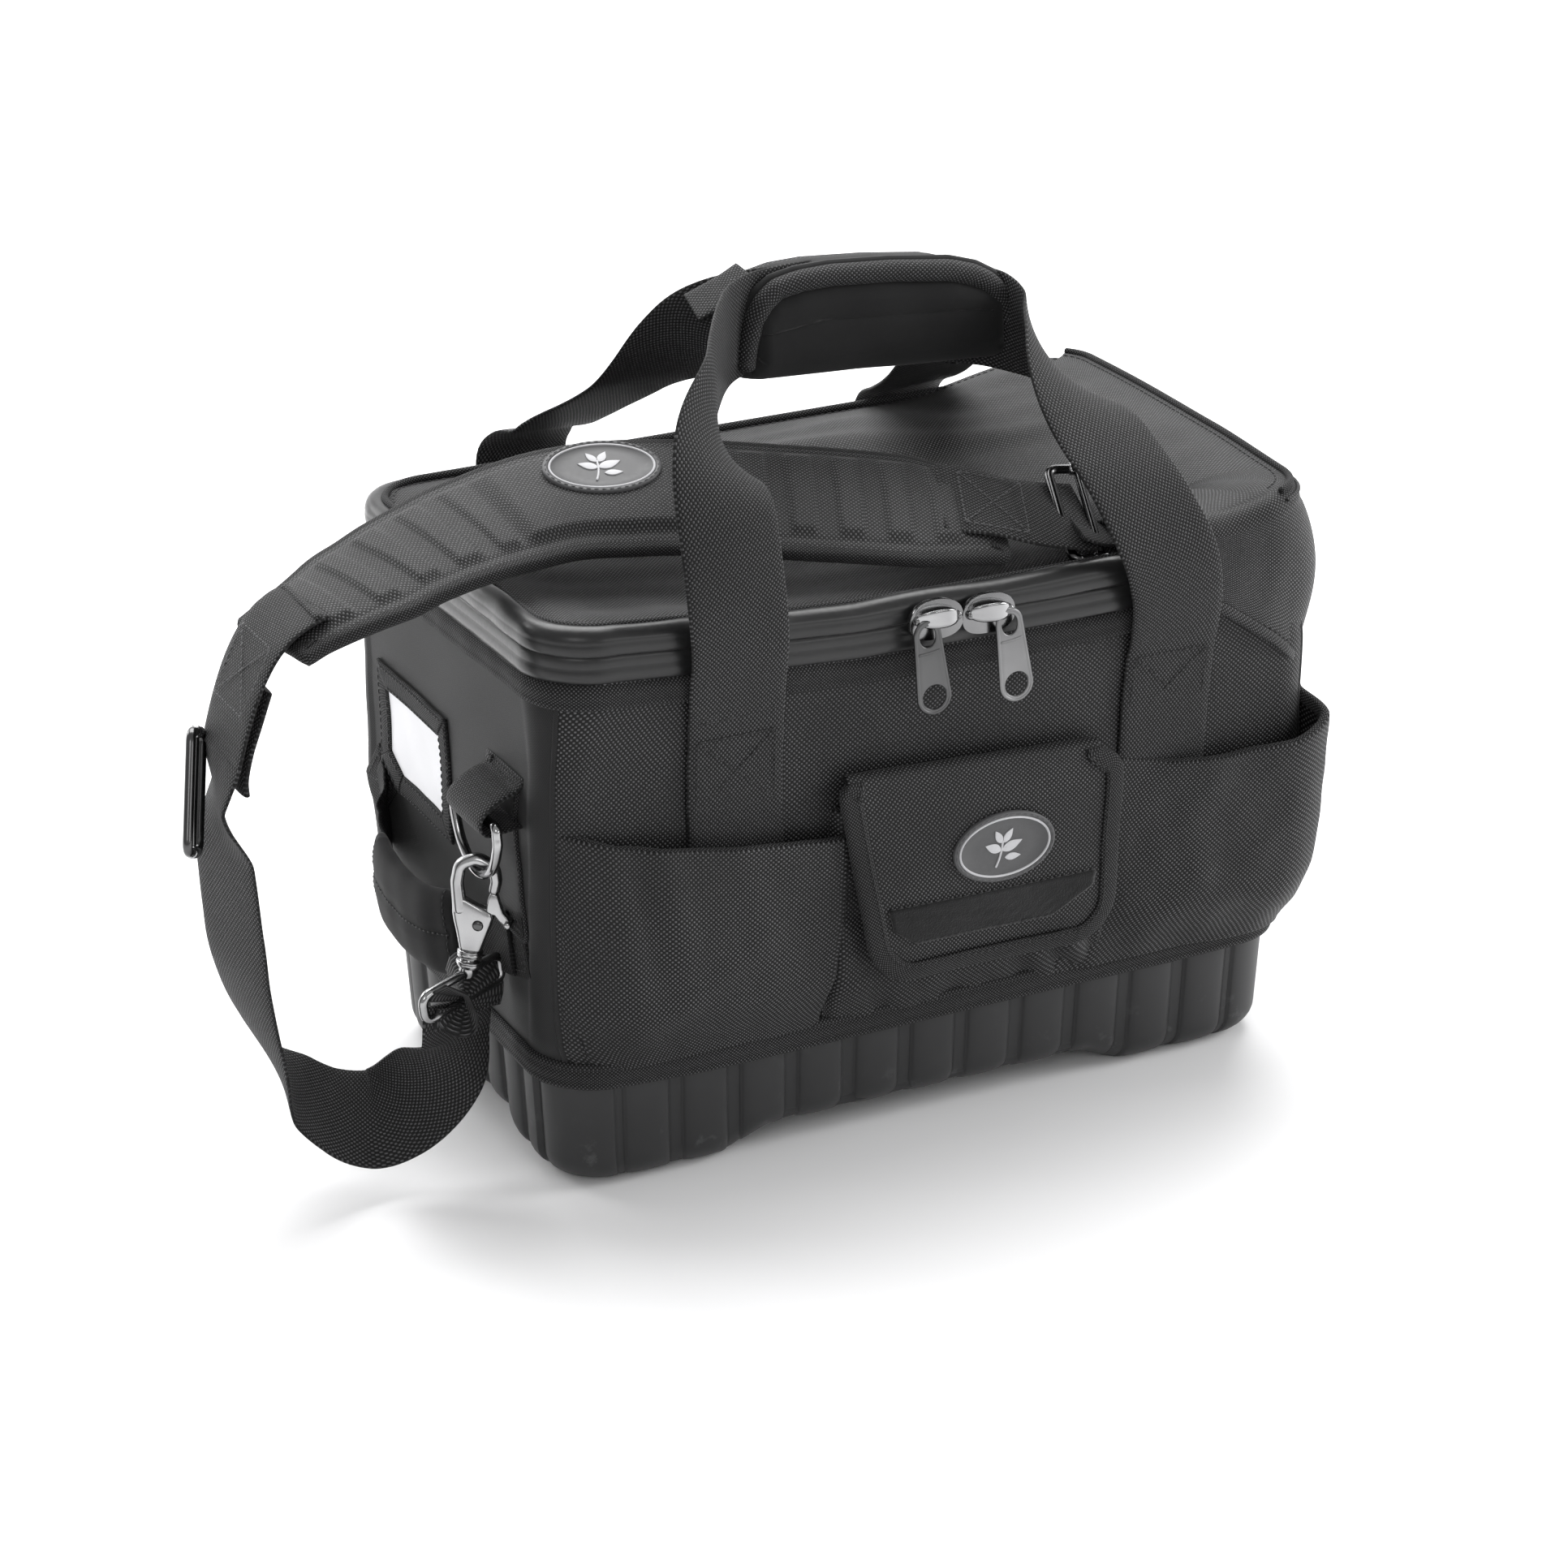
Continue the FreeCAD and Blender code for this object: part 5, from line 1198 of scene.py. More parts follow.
for t in np.linspace(0.04, 1, 30):
    zz = (topz - 8.3) * (1 - t) + hem * t
    endy = smooth(qh, 5.2, 6.0)
    belly = (0.9 + 2.6 * np.sin(pi * min(1.0, t * 1.05)) * (0.5 + 0.5 * endy) + 9.0 * endy * np.sin(pi * t ** 0.8) * 0.9 + 2.4 * t * (1 - endy))
    pos = np.stack([x0, y0, zz], 1)
    belly = belly + 0.9 * wob(pos, 60, 43) * math.sin(pi * t) + 0.45 * wob(pos * A(1, 1, 0.5), 24, 44) * (0.3 + 0.7 * t)
    rows.append(np.stack([x0 + nx0 * belly, y0 + ny0 * belly, zz], 1))
P = np.stack(rows, 1)
hood = sheet("hood_cloth", P, 2.0, MT["hoodcloth"], "lid", UV=arc_uv(P), side=-1)
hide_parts("hood_top", "hood_end_panel")
Nh = np.stack([nx0, ny0, 0 * nx0], 1)
edge_binding("hood_hem_tape", P[:, -1], unit(P[:, -3] - P[:, -1]), Nh, 2.0, 5.0, 5.0, 0.8, MT["hoodcloth"], "lid", stitch=False)
stitches(("thread_lid", "lid"), P[:, -4] + Nh * 0.15, Nh, pitch=4.0, length=2.8, r=0.3)
sel = (qh > 5.25)
cp = P[sel][:, 18] + Nh[sel] * 0.6 + A(0, 0, 0.9)
c1 = tube("hood_cord", resample(cp, 260), 1.8, MT["tape"], None, seg=12)
cp2 = P[sel][:, 21] + Nh[sel] * 0.5 + A(0, 0, 0.4)
c2 = tube("hood_cord2", resample(cp2, 260), 1.0, MT["hoodcloth"], None, seg=10)
ob = join("hood_cords", [c1, c2], "lid")
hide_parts("hood_piping")
stitches(("thread_lid", "lid"), resample(P[sel][:, 15] + A(0, 0, 0.2), 300), (0, 0, 1), pitch=4.0, length=2.8, r=0.3)

# =====================================================================================
# open pockets across the front
# =====================================================================================
def front_q(x, z):
    a, b, r = wall_dims(z)
    return 4 + (x + (a - r)) / (2 * (a - r))


def pocket_grid(cols, zlow, rimf, nrow=56):
    """cols: list of functions z -> q. Returns P, N, Z, T for the wall under the pocket."""
    n = len(cols)
    t = np.linspace(0, 1, nrow)
    Q = np.zeros((n, nrow))
    Z = np.zeros((n, nrow))
    for i, c in enumerate(cols):
        qtop = float(c(170.0))
        xt = float(rr(205.0, 119.0, 18.0, np.array([qtop]))[0][0])
        rim = rimf(xt, qtop)
        Z[i] = zlow + (rim - zlow) * t
        Q[i] = c(Z[i])
    P, N = wall(Q, Z, 0.0, 0.0)
    return P, N, Z, np.broadcast_to(t[None], Z.shape)


def pocket_piece(name, P, N, D, mat, reps, rim_tape=True, t=1.8, wf=7.5):
    S = P + N * D[..., None]
    ob = sheet(name, S, t, mat, "bag_body", UV=arc_uv(S), side=-1)
    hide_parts(*reps)
    if rim_tape:
        E = S[:, -1]
        Dn = unit(S[:, -4] - S[:, -1])
        T = unit(np.gradient(E, axis=0))
        Nn = unit(np.cross(T, Dn))
        Nn *= np.sign(np.sum(Nn * N[:, -1], 1, keepdims=True))
        k = len(E)
        rim = edge_binding(name + "_rim", E, Dn, Nn, t, wf, 5.0, 0.9, MT["tape"], "bag_body")
    return S


# centre pocket, mostly behind the flap
xs = np.linspace(-64, 86, 120)
cols = [(lambda z, x=x: front_q(x, z)) for x in xs]
P, N, Z, T_ = pocket_grid(cols, 66.0, lambda x, q: 180.0)
U = np.linspace(0, 1, len(xs))[:, None]
D = 7.5 * smooth(U, 0, 0.05) * (0.30 + 0.70 * smooth(T_, 0, 0.2))
D = D + 1.1 * wob(P, 46, 51) + 0.5 * wob(P, 19, 52)
cr = bump(P[..., 0], 66, 20) * bump(P[..., 2], 82, 20)
D = D + 2.4 * cr * np.sin((P[..., 0] * 0.8 + P[..., 2] * 0.6) / 2.7) + 2.0 * cr
pocket_piece("pocket_centre", P, N, np.maximum(D, 0.8), MT["ballistic"], ["front_pocket_centre"], wf=6)

# left pocket: wraps the corner seam on one side, folded pleat on the other
def left_edge_x(z):
    return np.interp(z, [66, 74, 93, 127, 164, 200], [-70, -69, -64, -60.5, -58.5, -58])


ncor, nfr = 18, 110
cols = [(lambda z, f=f: 3.60 + 0.40 * f + 0 * z) for f in np.linspace(0, 1, ncor, endpoint=False)]


def lcol(f, dx=0.0):
    def c(z):
        a, b, r = wall_dims(z)
        x = -(a - r) + (left_edge_x(z) + (a - r)) * f + dx
        return front_q(x, z)
    return c


cols += [lcol(f) for f in np.linspace(0, 1, nfr)]
fold = [(1.6, 0.16), (2.6, 0.38), (3.0, 0.62), (2.8, 0.84), (1.8, 1.0)]
cols += [lcol(1.0, dx) for dx, _ in fold]
rimL = lambda x, q: float(np.interp(x, [-213, -199, -175, -118, -67, -58], [203, 194, 186, 174.5, 168.5, 168.0]))
P, N, Z, T_ = pocket_grid(cols, 66.0, rimL, 64)
f_all = np.concatenate([np.linspace(0, 0.16, ncor, endpoint=False), np.linspace(0.16, 1, nfr), np.ones(len(fold))])[:, None]
D = 0.8 + 10.5 * smooth(f_all, 0.0, 0.30) * (0.22 + 0.78 * smooth(T_, 0.0, 0.30))
D = D + 3.2 * bump(f_all, 0.55, 0.32) * bump(T_, 0.42, 0.34) + 2.2 * bump(f_all, 0.6, 0.35) * T_ ** 3
D = D + smooth(f_all, 0.02, 0.2) * (0.9 * wob(P, 64, 55) + 0.35 * wob(P, 24, 56))
X_, Z_ = P[..., 0], P[..., 2]
# soft drag lines running up from the lower corner and down from the rim
w1 = (Z_ - 66) - 0.62 * (X_ + 196)
D = D + 1.5 * np.exp(-(w1 / 9.0) ** 2) * smooth(X_, -190, -150) * (1 - smooth(X_, -110, -78))
w2 = (X_ + 168) - 0.18 * (186 - Z_)
D = D - 1.9 * np.exp(-(w2 / 8.0) ** 2) * smooth(T_, 0.25, 0.6) + 1.6 * np.exp(-((w2 - 15) / 9.0) ** 2) * smooth(T_, 0.3, 0.7)
w3 = (X_ + 84) + 0.35 * (Z_ - 130)
D = D - 1.3 * np.exp(-(w3 / 9.0) ** 2) * bump(T_, 0.45, 0.3)
# tucked pleat at the low corner
pl = np.sqrt(((X_ + 203) / 19.0) ** 2 + (np.maximum(Z_ - 66, 0) / 34.0) ** 2)
D = D - 3.6 * (1 - smooth(pl, 0.93, 1.03)) * smooth(f_all, 0.0, 0.05)
nf = len(fold)
for k, (dx, f) in enumerate(fold):
    D[-nf + k] = D[-nf - 1] * (1 - f) + 0.7 * f
D = np.maximum(D, 0.7)
SL = pocket_piece("pocket_left", P, N, D, MT["ballistic"], ["front_pocket_left", "pocket_rims"])
pleat = []
tt = np.linspace(0.0, pi / 2, 26)
px = -203 + 19.0 * np.cos(tt) * 0.99
pz = 66 + 34.0 * np.sin(tt) * 0.99

# right pocket: slanted seam on the left, bulging round the corner on the right
def right_edge_x(z):
    return np.interp(z, [66, 75, 97, 168, 180], [63, 66, 79, 94, 95.5])


def rcol(f, dx=0.0):
    def c(z):
        a, b, r = wall_dims(z)
        x = right_edge_x(z) + ((a - r) - right_edge_x(z)) * f + dx
        return front_q(x, z)
    return c


cols = [rcol(0.0, -d) for d in (2.2, 1.6, 0.8)] + [rcol(f) for f in np.linspace(0, 1, 84)]
cols += [(lambda z, f=f: 5.0 + 0.80 * f + 0 * z) for f in np.linspace(0, 1, 30)[1:]]


def rimR(x, q):
    if q < 5.0:
        return float(np.interp(x, [90, 96, 121, 153, 187], [176.5, 176, 170.5, 169.4, 172.5]))
    return float(np.interp(q, [5.0, 5.3, 5.55, 5.8], [172.5, 177.5, 184, 190.0]))


P, N, Z, T_ = pocket_grid(cols, 66.0, rimR, 60)
n = len(cols)
f_all = np.concatenate([[0, 0, 0], np.linspace(0, 0.72, 84), np.linspace(0.72, 1.0, 30)[1:]])[:, None]
D = 3.0 + 8.6 * smooth(f_all, 0.03, 0.42) * (0.25 + 0.75 * smooth(T_, 0, 0.28)) + 5.5 * smooth(f_all, 0.45, 0.8) * (0.3 + 0.7 * smooth(T_, 0.0, 0.6))
D = D * (1 - 0.93 * smooth(f_all, 0.86, 1.0)) + 0.4
X_, Z_ = P[..., 0], P[..., 2]
D = D + smooth(f_all, 0.03, 0.15) * (1 - smooth(f_all, 0.85, 0.97)) * (0.9 * wob(P, 60, 61) + 0.35 * wob(P, 23, 62))
w1 = (X_ - 128) + 0.25 * (Z_ - 120)
D = D - 1.4 * np.exp(-(w1 / 9.0) ** 2) * bump(T_, 0.6, 0.35)
w2 = (Z_ - 96) + 0.5 * (X_ - 165)
D = D + 1.5 * np.exp(-(w2 / 10.0) ** 2) * bump(X_, 160, 34)
D[0], D[1], D[2] = 1.0, 2.0, 2.7
SR = pocket_piece("pocket_right", P, N, np.maximum(D, 0.7), MT["ballistic"], ["front_pocket_right"])

# =====================================================================================
# flap over the centre pocket
# =====================================================================================
FH = 106.0
FC = {"tl": A(-62, 196.5), "tr": A(89.5, 189.5), "bl": A(-43.5, 89.5), "br": A(84.0, 90.5)}


def flap_xy(xi, eta):
    u = (xi + 75.0) / 150.0
    v = eta / FH
    p = (FC["tl"][None] * ((1 - u) * (1 - v))[..., None].reshape(-1, 1) + FC["tr"][None] * (u * (1 - v))[..., None].reshape(-1, 1)
         + FC["bl"][None] * ((1 - u) * v)[..., None].reshape(-1, 1) + FC["br"][None] * (u * v)[..., None].reshape(-1, 1))
    return p.reshape(xi.shape + (2,))


def flap_surface(xi, eta):
    """Outer face of the flap; eta below zero runs over the top roll to the wall."""
    xi, eta = np.broadcast_arrays(np.asarray(xi, float), np.asarray(eta, float))
    e = np.maximum(eta, 0.0)
    q = flap_xy(xi, e)
    z = q[..., 1] - 1.2 * (1 - smooth(e, 0, 8))
    y = -134.6 - 3.4 * np.sin(np.clip(e / FH, 0, 1) * pi) ** 0.8 * (1 - 0.5 * (np.abs(xi) / 75) ** 2)
    y = y - 0.9 * wob(np.stack([xi, e, 0 * xi], -1), 70, 71) * smooth(e, 4, 30)
    y = y - 1.8 * bump(xi, 58, 26) * bump(e, 92, 24) + 0.8 * bump(xi, 20, 30) * bump(e, 104, 16)
    a = np.clip(-eta / 11.0, 0, 1) * (pi * 0.62)
    zz = z + 5.0 * np.sin(a)
    yy = y + 5.0 * (1 - np.cos(a)) * 1.05
    return np.stack([q[..., 0], yy, zz], -1)


ph = np.linspace(0, pi / 2, 12)
etas = np.concatenate([np.linspace(-11, 0, 12)[:-1], np.linspace(0, 14, 8)[:-1], np.linspace(14, FH - 24, 44)[:-1], (FH - 24) + 24 * np.sin(ph)])
rl, rt_ = 6.0, 15.0
def half_ext(e, side):
    x = np.full_like(e, 75.0)
    low = e > FH - 24
    x[low] = 51 + np.sqrt(np.maximum(24 ** 2 - (e[low] - (FH - 24)) ** 2, 0))
    r = rt_ if side > 0 else rl
    up_ = e < r
    ee = np.maximum(e[up_], 0)
    x[up_] = 75 - r + np.sqrt(np.maximum(r ** 2 - (r - ee) ** 2, (0.55 * r) ** 2 * 0 + 0))
    if side > 0:
        x[up_] = np.maximum(x[up_], 75 - r * 0.75)
    else:
        x[up_] = np.maximum(x[up_], 75 - r * 0.6)
    return x


XL, XR = half_ext(etas, -1), half_ext(etas, 1)
u = np.linspace(-1, 1, 92)
XI = np.where(u[:, None] < 0, u[:, None] * XL[None], u[:, None] * XR[None])
EE = np.broadcast_to(etas[None], XI.shape)
P = flap_surface(XI, EE)
flap = sheet("flap_cloth", P, 2.6, MT["ballistic"], "flap", UV=np.stack([XI, EE], 2), side=1)
dn = unit(np.cross(np.gradient(P, axis=0), np.gradient(P, axis=1)))
if dn[40, 40][1] > 0:
    dn = -dn
    me = flap.data
    bpy.data.objects.remove(flap)
    flap = sheet("flap_cloth", P, 2.6, MT["ballistic"], "flap", UV=np.stack([XI, EE], 2), side=-1)
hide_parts("pocket_flap")
k0 = 9
E = np.vstack([P[0, k0:-1], P[:, -1], P[-1, k0:-1][::-1]])
Nn = np.vstack([dn[0, k0:-1], dn[:, -1], dn[-1, k0:-1][::-1]])
E2 = resample(np.concatenate([E, Nn], 1), 230)
E, Nn = E2[:, :3], unit(E2[:, 3:])
T = unit(np.gradient(E, axis=0))
Dn = unit(np.cross(Nn, T))
ctr = P[45, 30]
Dn *= np.sign(np.sum(Dn * (ctr - E), 1))[:, None]
fb = edge_binding("flap_edge_tape", E, Dn, Nn, 2.6, 8.6, 7.0, 0.9, MT["tape"], "flap")
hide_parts("flap_binding")

# fastener strip on the flap
uu = np.linspace(-1, 1, 60)
ev_ = np.linspace(0, 1, 14)
he = 66.5 + ev_ * 20.5
hx0 = np.interp(ev_, [0, 0.55, 1], [-62, -61, -48])
hx1 = np.interp(ev_, [0, 0.35, 1], [62, 61, 34])
XI = hx0[None] * (1 - uu[:, None]) / 2 + hx1[None] * (1 + uu[:, None]) / 2
EE = np.broadcast_to(he[None], XI.shape)
P2 = flap_surface(XI, EE)
n2 = unit(np.cross(np.gradient(P2, axis=0), np.gradient(P2, axis=1)))
n2 *= -np.sign(n2[30, 7][1])
P2 = P2 + n2 * (1.3 + 0.12 * wob(P2, 5, 75))[..., None]
hs = sheet("flap_loop_strip", P2, 1.3, MT["fuzzy"], "flap", UV=np.stack([XI, EE], 2), side=(1 if np.cross(np.gradient(P2, axis=0), np.gradient(P2, axis=1))[30, 7][1] < 0 else -1))
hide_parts("flap_hook_strip")
stitches(("thread_flap", "flap"), P2[:, 0] + n2[:, 0] * 0.2 + A(0, 0, 1.2), n2[:, 0], pitch=3.8, length=2.6, r=0.28)
stitches(("thread_flap", "flap"), P2[:, -1] + n2[:, -1] * 0.1 + A(0, 0, 1.0), n2[:, -1], pitch=3.8, length=2.6, r=0.28)


# =====================================================================================
# generic oval badge with a sprig
# =====================================================================================
def badge(name, c, ax, ay, nn, a, b, body, rep, h=1.0):
    c, ax, ay, nn = A(*c), unit(ax), unit(ay), unit(nn)
    th = np.linspace(0, 2 * pi, 72, endpoint=False)
    def ringp(f, z):
        return c + np.cos(th)[:, None] * ax * a * f + np.sin(th)[:, None] * ay * b * (1 - (1 - f) * a / b * 1.0 if f > 0.7 else f) + nn * z * h
    base = [ringp(0.2, -1.5), ringp(0.99, -1.5), ringp(1.0, -0.4), ringp(1.0, 1.0), ringp(0.985, 1.45), ringp(0.955, 1.6), ringp(0.925, 1.5), ringp(0.915, 1.1), ringp(0.55, 1.15), ringp(0.2, 1.2)]
    def cap(o):
        bm_ = bmesh.new()
        bm_.from_mesh(o.data)
        bmesh.ops.holes_fill(bm_, edges=[e for e in bm_.edges if e.is_boundary], sides=0)
        bmesh.ops.recalc_face_normals(bm_, faces=bm_.faces)
        bm_.to_mesh(o.data)
        bm_.free()
        o.data.polygons.foreach_set("use_smooth", np.ones(len(o.data.polygons), bool))
        return o
    parts = [cap(loft("bb", np.stack(base), MT["badge"], None, cap=False))]
    rim = c + np.cos(th)[:, None] * ax * a * 0.885 + np.sin(th)[:, None] * ay * b * 0.835 + nn * 1.1 * h
    parts.append(tube("br", rim, 0.62, MT["badgelight"], None, closed=True, seg=8, up=nn))
    # dashes just inside the rim
    t2 = np.linspace(0, 2 * pi, 200)
    dash = c + np.cos(t2)[:, None] * ax * a * 0.955 + np.sin(t2)[:, None] * ay * b * 0.935 + nn * 1.55 * h
    stitches(("threadlight_" + body, body), dash, nn, pitch=3.6, length=2.3, r=0.24)
    # sprig: stem and five leaves
    def leaf(x0, y0, ang, ln, wd):
        s = np.linspace(0, 1, 12)
        w = wd * np.sin(pi * s ** 0.8)
        d = A(math.cos(ang), math.sin(ang))
        p = A(-math.sin(ang), math.cos(ang))
        up_, dn_ = [], []
        for si, wi in zip(s, w):
            q = A(x0, y0) + d * ln * si
            up_.append(q + p * wi)
            dn_.append(q - p * wi)
        pts = up_ + dn_[::-1][1:-1]
        return plate("lf", [tuple(v) for v in pts], 0.7 * h, c + nn * 1.0 * h, ax, ay, nn, MT["badgelight"], None, bevel=0.22)
    k = a / 28.0
    for x0, y0, an, ln, wd in ((-2, -1.5, 0.35, 12, 2.6), (-2, -1.5, 2.75, 10, 2.4), (-1, 2.5, 1.0, 8.5, 2.0), (-2, 2.5, 2.1, 8.0, 1.9), (0, -5.5, 0.0, 9.0, 1.9)):
        parts.append(leaf(x0 * k, y0 * k, an, ln * k, wd * k))
    st = np.stack([c + ax * (x_ * k) + ay * (y_ * k) + nn * 1.35 * h for x_, y_ in spline([(-4.5, -10, 0), (-3.0, -6, 0), (-2.0, -1.5, 0), (-1.6, 3.5, 0)], 14)[:, :2]])
    parts.append(tube("stm", st, 0.55 * k, MT["badgelight"], None, seg=8))
    ob_ = join(name, parts, body)
    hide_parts(rep)
    return ob_


bc = flap_surface(np.array([[7.0]]), np.array([[43.0]]))[0, 0]
badge("flap_badge_oval", bc + A(0, -0.7, 0), (1, 0, -0.02), (0.05, -0.02, 1), (0, -1, 0), 27.5, 18.0, "flap", "flap_badge")

# =====================================================================================
# carry handles
# =====================================================================================
def box_x(key, P0, W, T, N, half_w, length, lines=1):
    """Box-and-cross sewing on a sewn-down strap end, centred on P0."""
    c = [P0 + W * sx * half_w + T * sy * length / 2 for sx, sy in ((-1, -1), (1, -1), (1, 1), (-1, 1))]
    for i in range(4):
        a_, b_ = c[i], c[(i + 1) % 4]
        stitches(key, np.linspace(a_, b_, 12), N, pitch=3.4, length=2.4, r=0.3)
    stitches(key, np.linspace(c[0], c[2], 14), N, pitch=3.4, length=2.4, r=0.3)
    stitches(key, np.linspace(c[1], c[3], 14), N, pitch=3.4, length=2.4, r=0.3)


def handle_strap(name, pts, w0, w1, width, t0, t1, body, rep, curl_top=0.0, n=150, narrow=0.0):
    P = spline(pts, n)
    d = np.r_[0, np.cumsum(np.linalg.norm(np.diff(P, axis=0), axis=1))]
    f = d / d[-1]
    k = smooth(f, t0, t1)
    a = k * pi / 2
    W = np.cos(a)[:, None] * A(*w0) + np.sin(a)[:, None] * A(*w1)
    wd = width * (1 - narrow * smooth(f, t0 - 0.1, t1))
    cu = curl_top * np.sin(pi * np.clip((f - t0 + 0.12) / (1.0 - t0), 0, 1))
    ob_ = strap(name, P, W, wd, 2.3, MT["webbing"], None, curl=cu, nw=17)
    return ob_, P, W


fl_pts = [(-110, -120.0, 128), (-111, -121.8, 165), (-112, -123.6, 200), (-112, -125.4, 232), (-112.5, -129.5, 254), (-113, -134, 276), (-116, -137, 306), (-117.5, -134.5, 332),
          (-116, -124, 352), (-111, -104, 366.5), (-99, -80, 377), (-82, -50, 384), (-66, -26, 387), (-50, -14, 388), (-30, -9, 388), (-14, -8, 388)]
fr_pts = [(118, -120.0, 128), (118.5, -121.8, 165), (119, -123.4, 195), (120.5, -125.2, 226), (121, -129.0, 243), (118.5, -134.5, 262), (113, -136.5, 282), (106, -133, 300),
          (99.5, -122.5, 319), (95, -104, 335), (92, -80, 349), (91, -50, 361), (90, -30, 367), (82, -15, 371), (66, -10, 375), (50, -8, 377)]
o1, PL_, WL_ = handle_strap("front_handle_strap_left", fl_pts, (1, 0, 0), (0, 0, -1), 48, 0.52, 0.71, None, None, curl_top=0.010)
o2, PR_, WR_ = handle_strap("front_handle_strap_right", fr_pts, (1, 0, 0), (0, 0, -1), 48, 0.62, 0.92, None, None, curl_top=0.006)
for o in (o1, o2):
    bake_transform(o)
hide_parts("front_handle_web", "handle_anchors_front")
for P_ in (PL_, PR_):
    i0 = int(np.argmin(np.abs(P_[:, 2] - 212)[:60]))
    i1 = int(np.argmin(np.abs(P_[:, 2] - 235)[:60]))
    T0 = unit(P_[i1] - P_[i0])
    nrm = unit(np.cross(T0, A(1, 0, 0)))
    nrm *= -np.sign(nrm[1])
    box_x(("thread_bag", "bag_body"), P_[i0] + nrm * 1.35, A(1, 0, 0), T0, nrm, 20.0, 36)
    # bar tack lines where the strap leaves the wall
    for dz in (0.0, 2.2):
        c_ = P_[i1] + T0 * (3.0 + dz) + nrm * 1.35
        stitches(("thread_bag", "bag_body"), np.stack([c_ - A(20, 0, 0), c_ + A(20, 0, 0)]), nrm, pitch=2.6, length=2.1, r=0.3)

bl_pts = [(-105, 120.6, 128), (-105, 122.6, 170), (-105, 124.6, 210), (-105.5, 126.8, 236), (-106, 131.5, 256), (-107, 136.0, 275), (-106.5, 135, 290), (-103, 127, 300), (-97, 115, 306),
          (-88, 96, 319), (-79, 74, 334), (-70, 52, 351), (-62, 32, 367), (-54, 16, 378), (-40, 6, 383), (-22, 3, 384), (-6, 3, 384)]
br_pts = [(105, 120.6, 128), (105, 122.6, 170), (105, 124.6, 208), (105, 127.0, 232), (105.5, 131.5, 250), (105.5, 135.0, 266), (105, 133, 282), (104, 124, 293), (102, 106, 301.5),
          (97, 86, 311), (92, 66, 322), (88, 46, 334), (86, 28, 346), (84, 14, 358), (76, 6, 368), (62, 3, 373), (46, 3, 376)]
o3, PB1, _ = handle_strap("back_handle_strap_left", bl_pts, (1, 0, 0), (0, 0, -1), 48, 0.66, 0.93, None, None, curl_top=-0.006)
o4, PB2, _ = handle_strap("back_handle_strap_right", br_pts, (1, 0, 0), (0, 0, -1), 48, 0.80, 0.98, None, None, curl_top=0.006)
for o in (o3, o4):
    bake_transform(o)
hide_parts("back_handle_web", "handle_anchors_back")
for P_ in (PB1, PB2):
    i0 = int(np.argmin(np.abs(P_[:, 2] - 206)[:60]))
    i1 = int(np.argmin(np.abs(P_[:, 2] - 230)[:60]))
    T0 = unit(P_[i1] - P_[i0])
    box_x(("thread_bag", "bag_body"), P_[i0] + A(0, 1.4, 0), A(1, 0, 0), T0, A(0, 1, 0), 20.0, 36)

# neoprene wrap round both webs
def zt_(x):
    return np.interp(x, [-58, -56, -52, -46, -38, -26, -9, 24, 56, 70, 80, 87, 91, 94], [368, 380, 393, 402, 407.5, 410, 410.5, 408, 404, 399.5, 393.5, 385, 376, 367])


def zb_(x):
    return np.interp(x, [-58, -52, -44, 7, 60, 82, 89, 94], [369, 365, 363.5, 361, 357.5, 356.5, 358.5, 364])


u = np.linspace(0, 1, 110)
xw_ = -58 + 152 * (u - 0.035 * np.sin(2 * pi * u))
zt, zbm = zt_(xw_), zb_(xw_)
v = np.linspace(-1, 1, 46)
w = np.sign(v) * (1 - (1 - np.abs(v)) ** 1.35)
Zg = (zt + zbm)[:, None] / 2 + (zt - zbm)[:, None] / 2 * w[None]
pill = (1 - np.abs(w[None]) ** 2.4) ** 0.7
dend = np.minimum(xw_ + 58, 94 - xw_)[:, None]
endf = np.clip(dend / 16.0, 0, 1) ** 0.6
seamz = np.interp(xw_, [-50, -16, 71, 90], [383, 387.0, 380, 376])[:, None]
dtop = zt[:, None] - Zg
dbnd = np.minimum(dtop, dend)
Yg = -13.0 - 8.5 * pill * (0.25 + 0.75 * endf)
Yg = np.where(Zg > (zt + zbm)[:, None] / 2 - 12, np.maximum(Yg, -13.4 - 6.6 * smooth(dbnd, 9.5, 15.0)), np.maximum(Yg, -13.4 - 7.2 * smooth(dend, 8.0, 14.0)))
Yg = Yg + 1.7 * np.exp(-((Zg - seamz) / 1.4) ** 2) * smooth(xw_, -48, -36)[:, None] * (1 - smooth(xw_, 70, 82))[:, None]
P = np.stack([np.broadcast_to(xw_[:, None], Zg.shape), Yg, Zg], 2)
P[..., 1] += 0.35 * wob(P, 40, 81)
ob1 = sheet("wrap_front", P, 4.5, MT["neoprene"], None, UV=arc_uv(P), side=-1)
secp = np.array([(15.0, -4.0, 1), (8.0, -1.6, 1), (0.0, -0.6, 1), (-7.0, -1.2, 1), (-12.5, -4.0, 1), (-15.5, -10.0, 1), (-16.5, -18.0, 1), (-16.5, 18.0, 0), (-15.5, 10.0, 0), (-12.5, 4.0, 0), (-7.0, 1.0, 0), (0.0, 0.2, 0), (8.0, 0.8, 0), (15.0, 3.0, 0)])
rows = []
xc_ = np.linspace(-55, 91, 90)
for yv, dz, top in secp:
    zz = zt_(xc_) + dz if top else zb_(xc_) + dz
    rows.append(np.stack([xc_, np.full_like(xc_, yv), zz], 1))
P3 = np.stack([spline(np.stack([r_[i] for r_ in rows]), 60) for i in range(len(xc_))])
ob2 = sheet("wrap_core", P3, 3.4, MT["neoprene"], None, UV=arc_uv(P3), side=1)
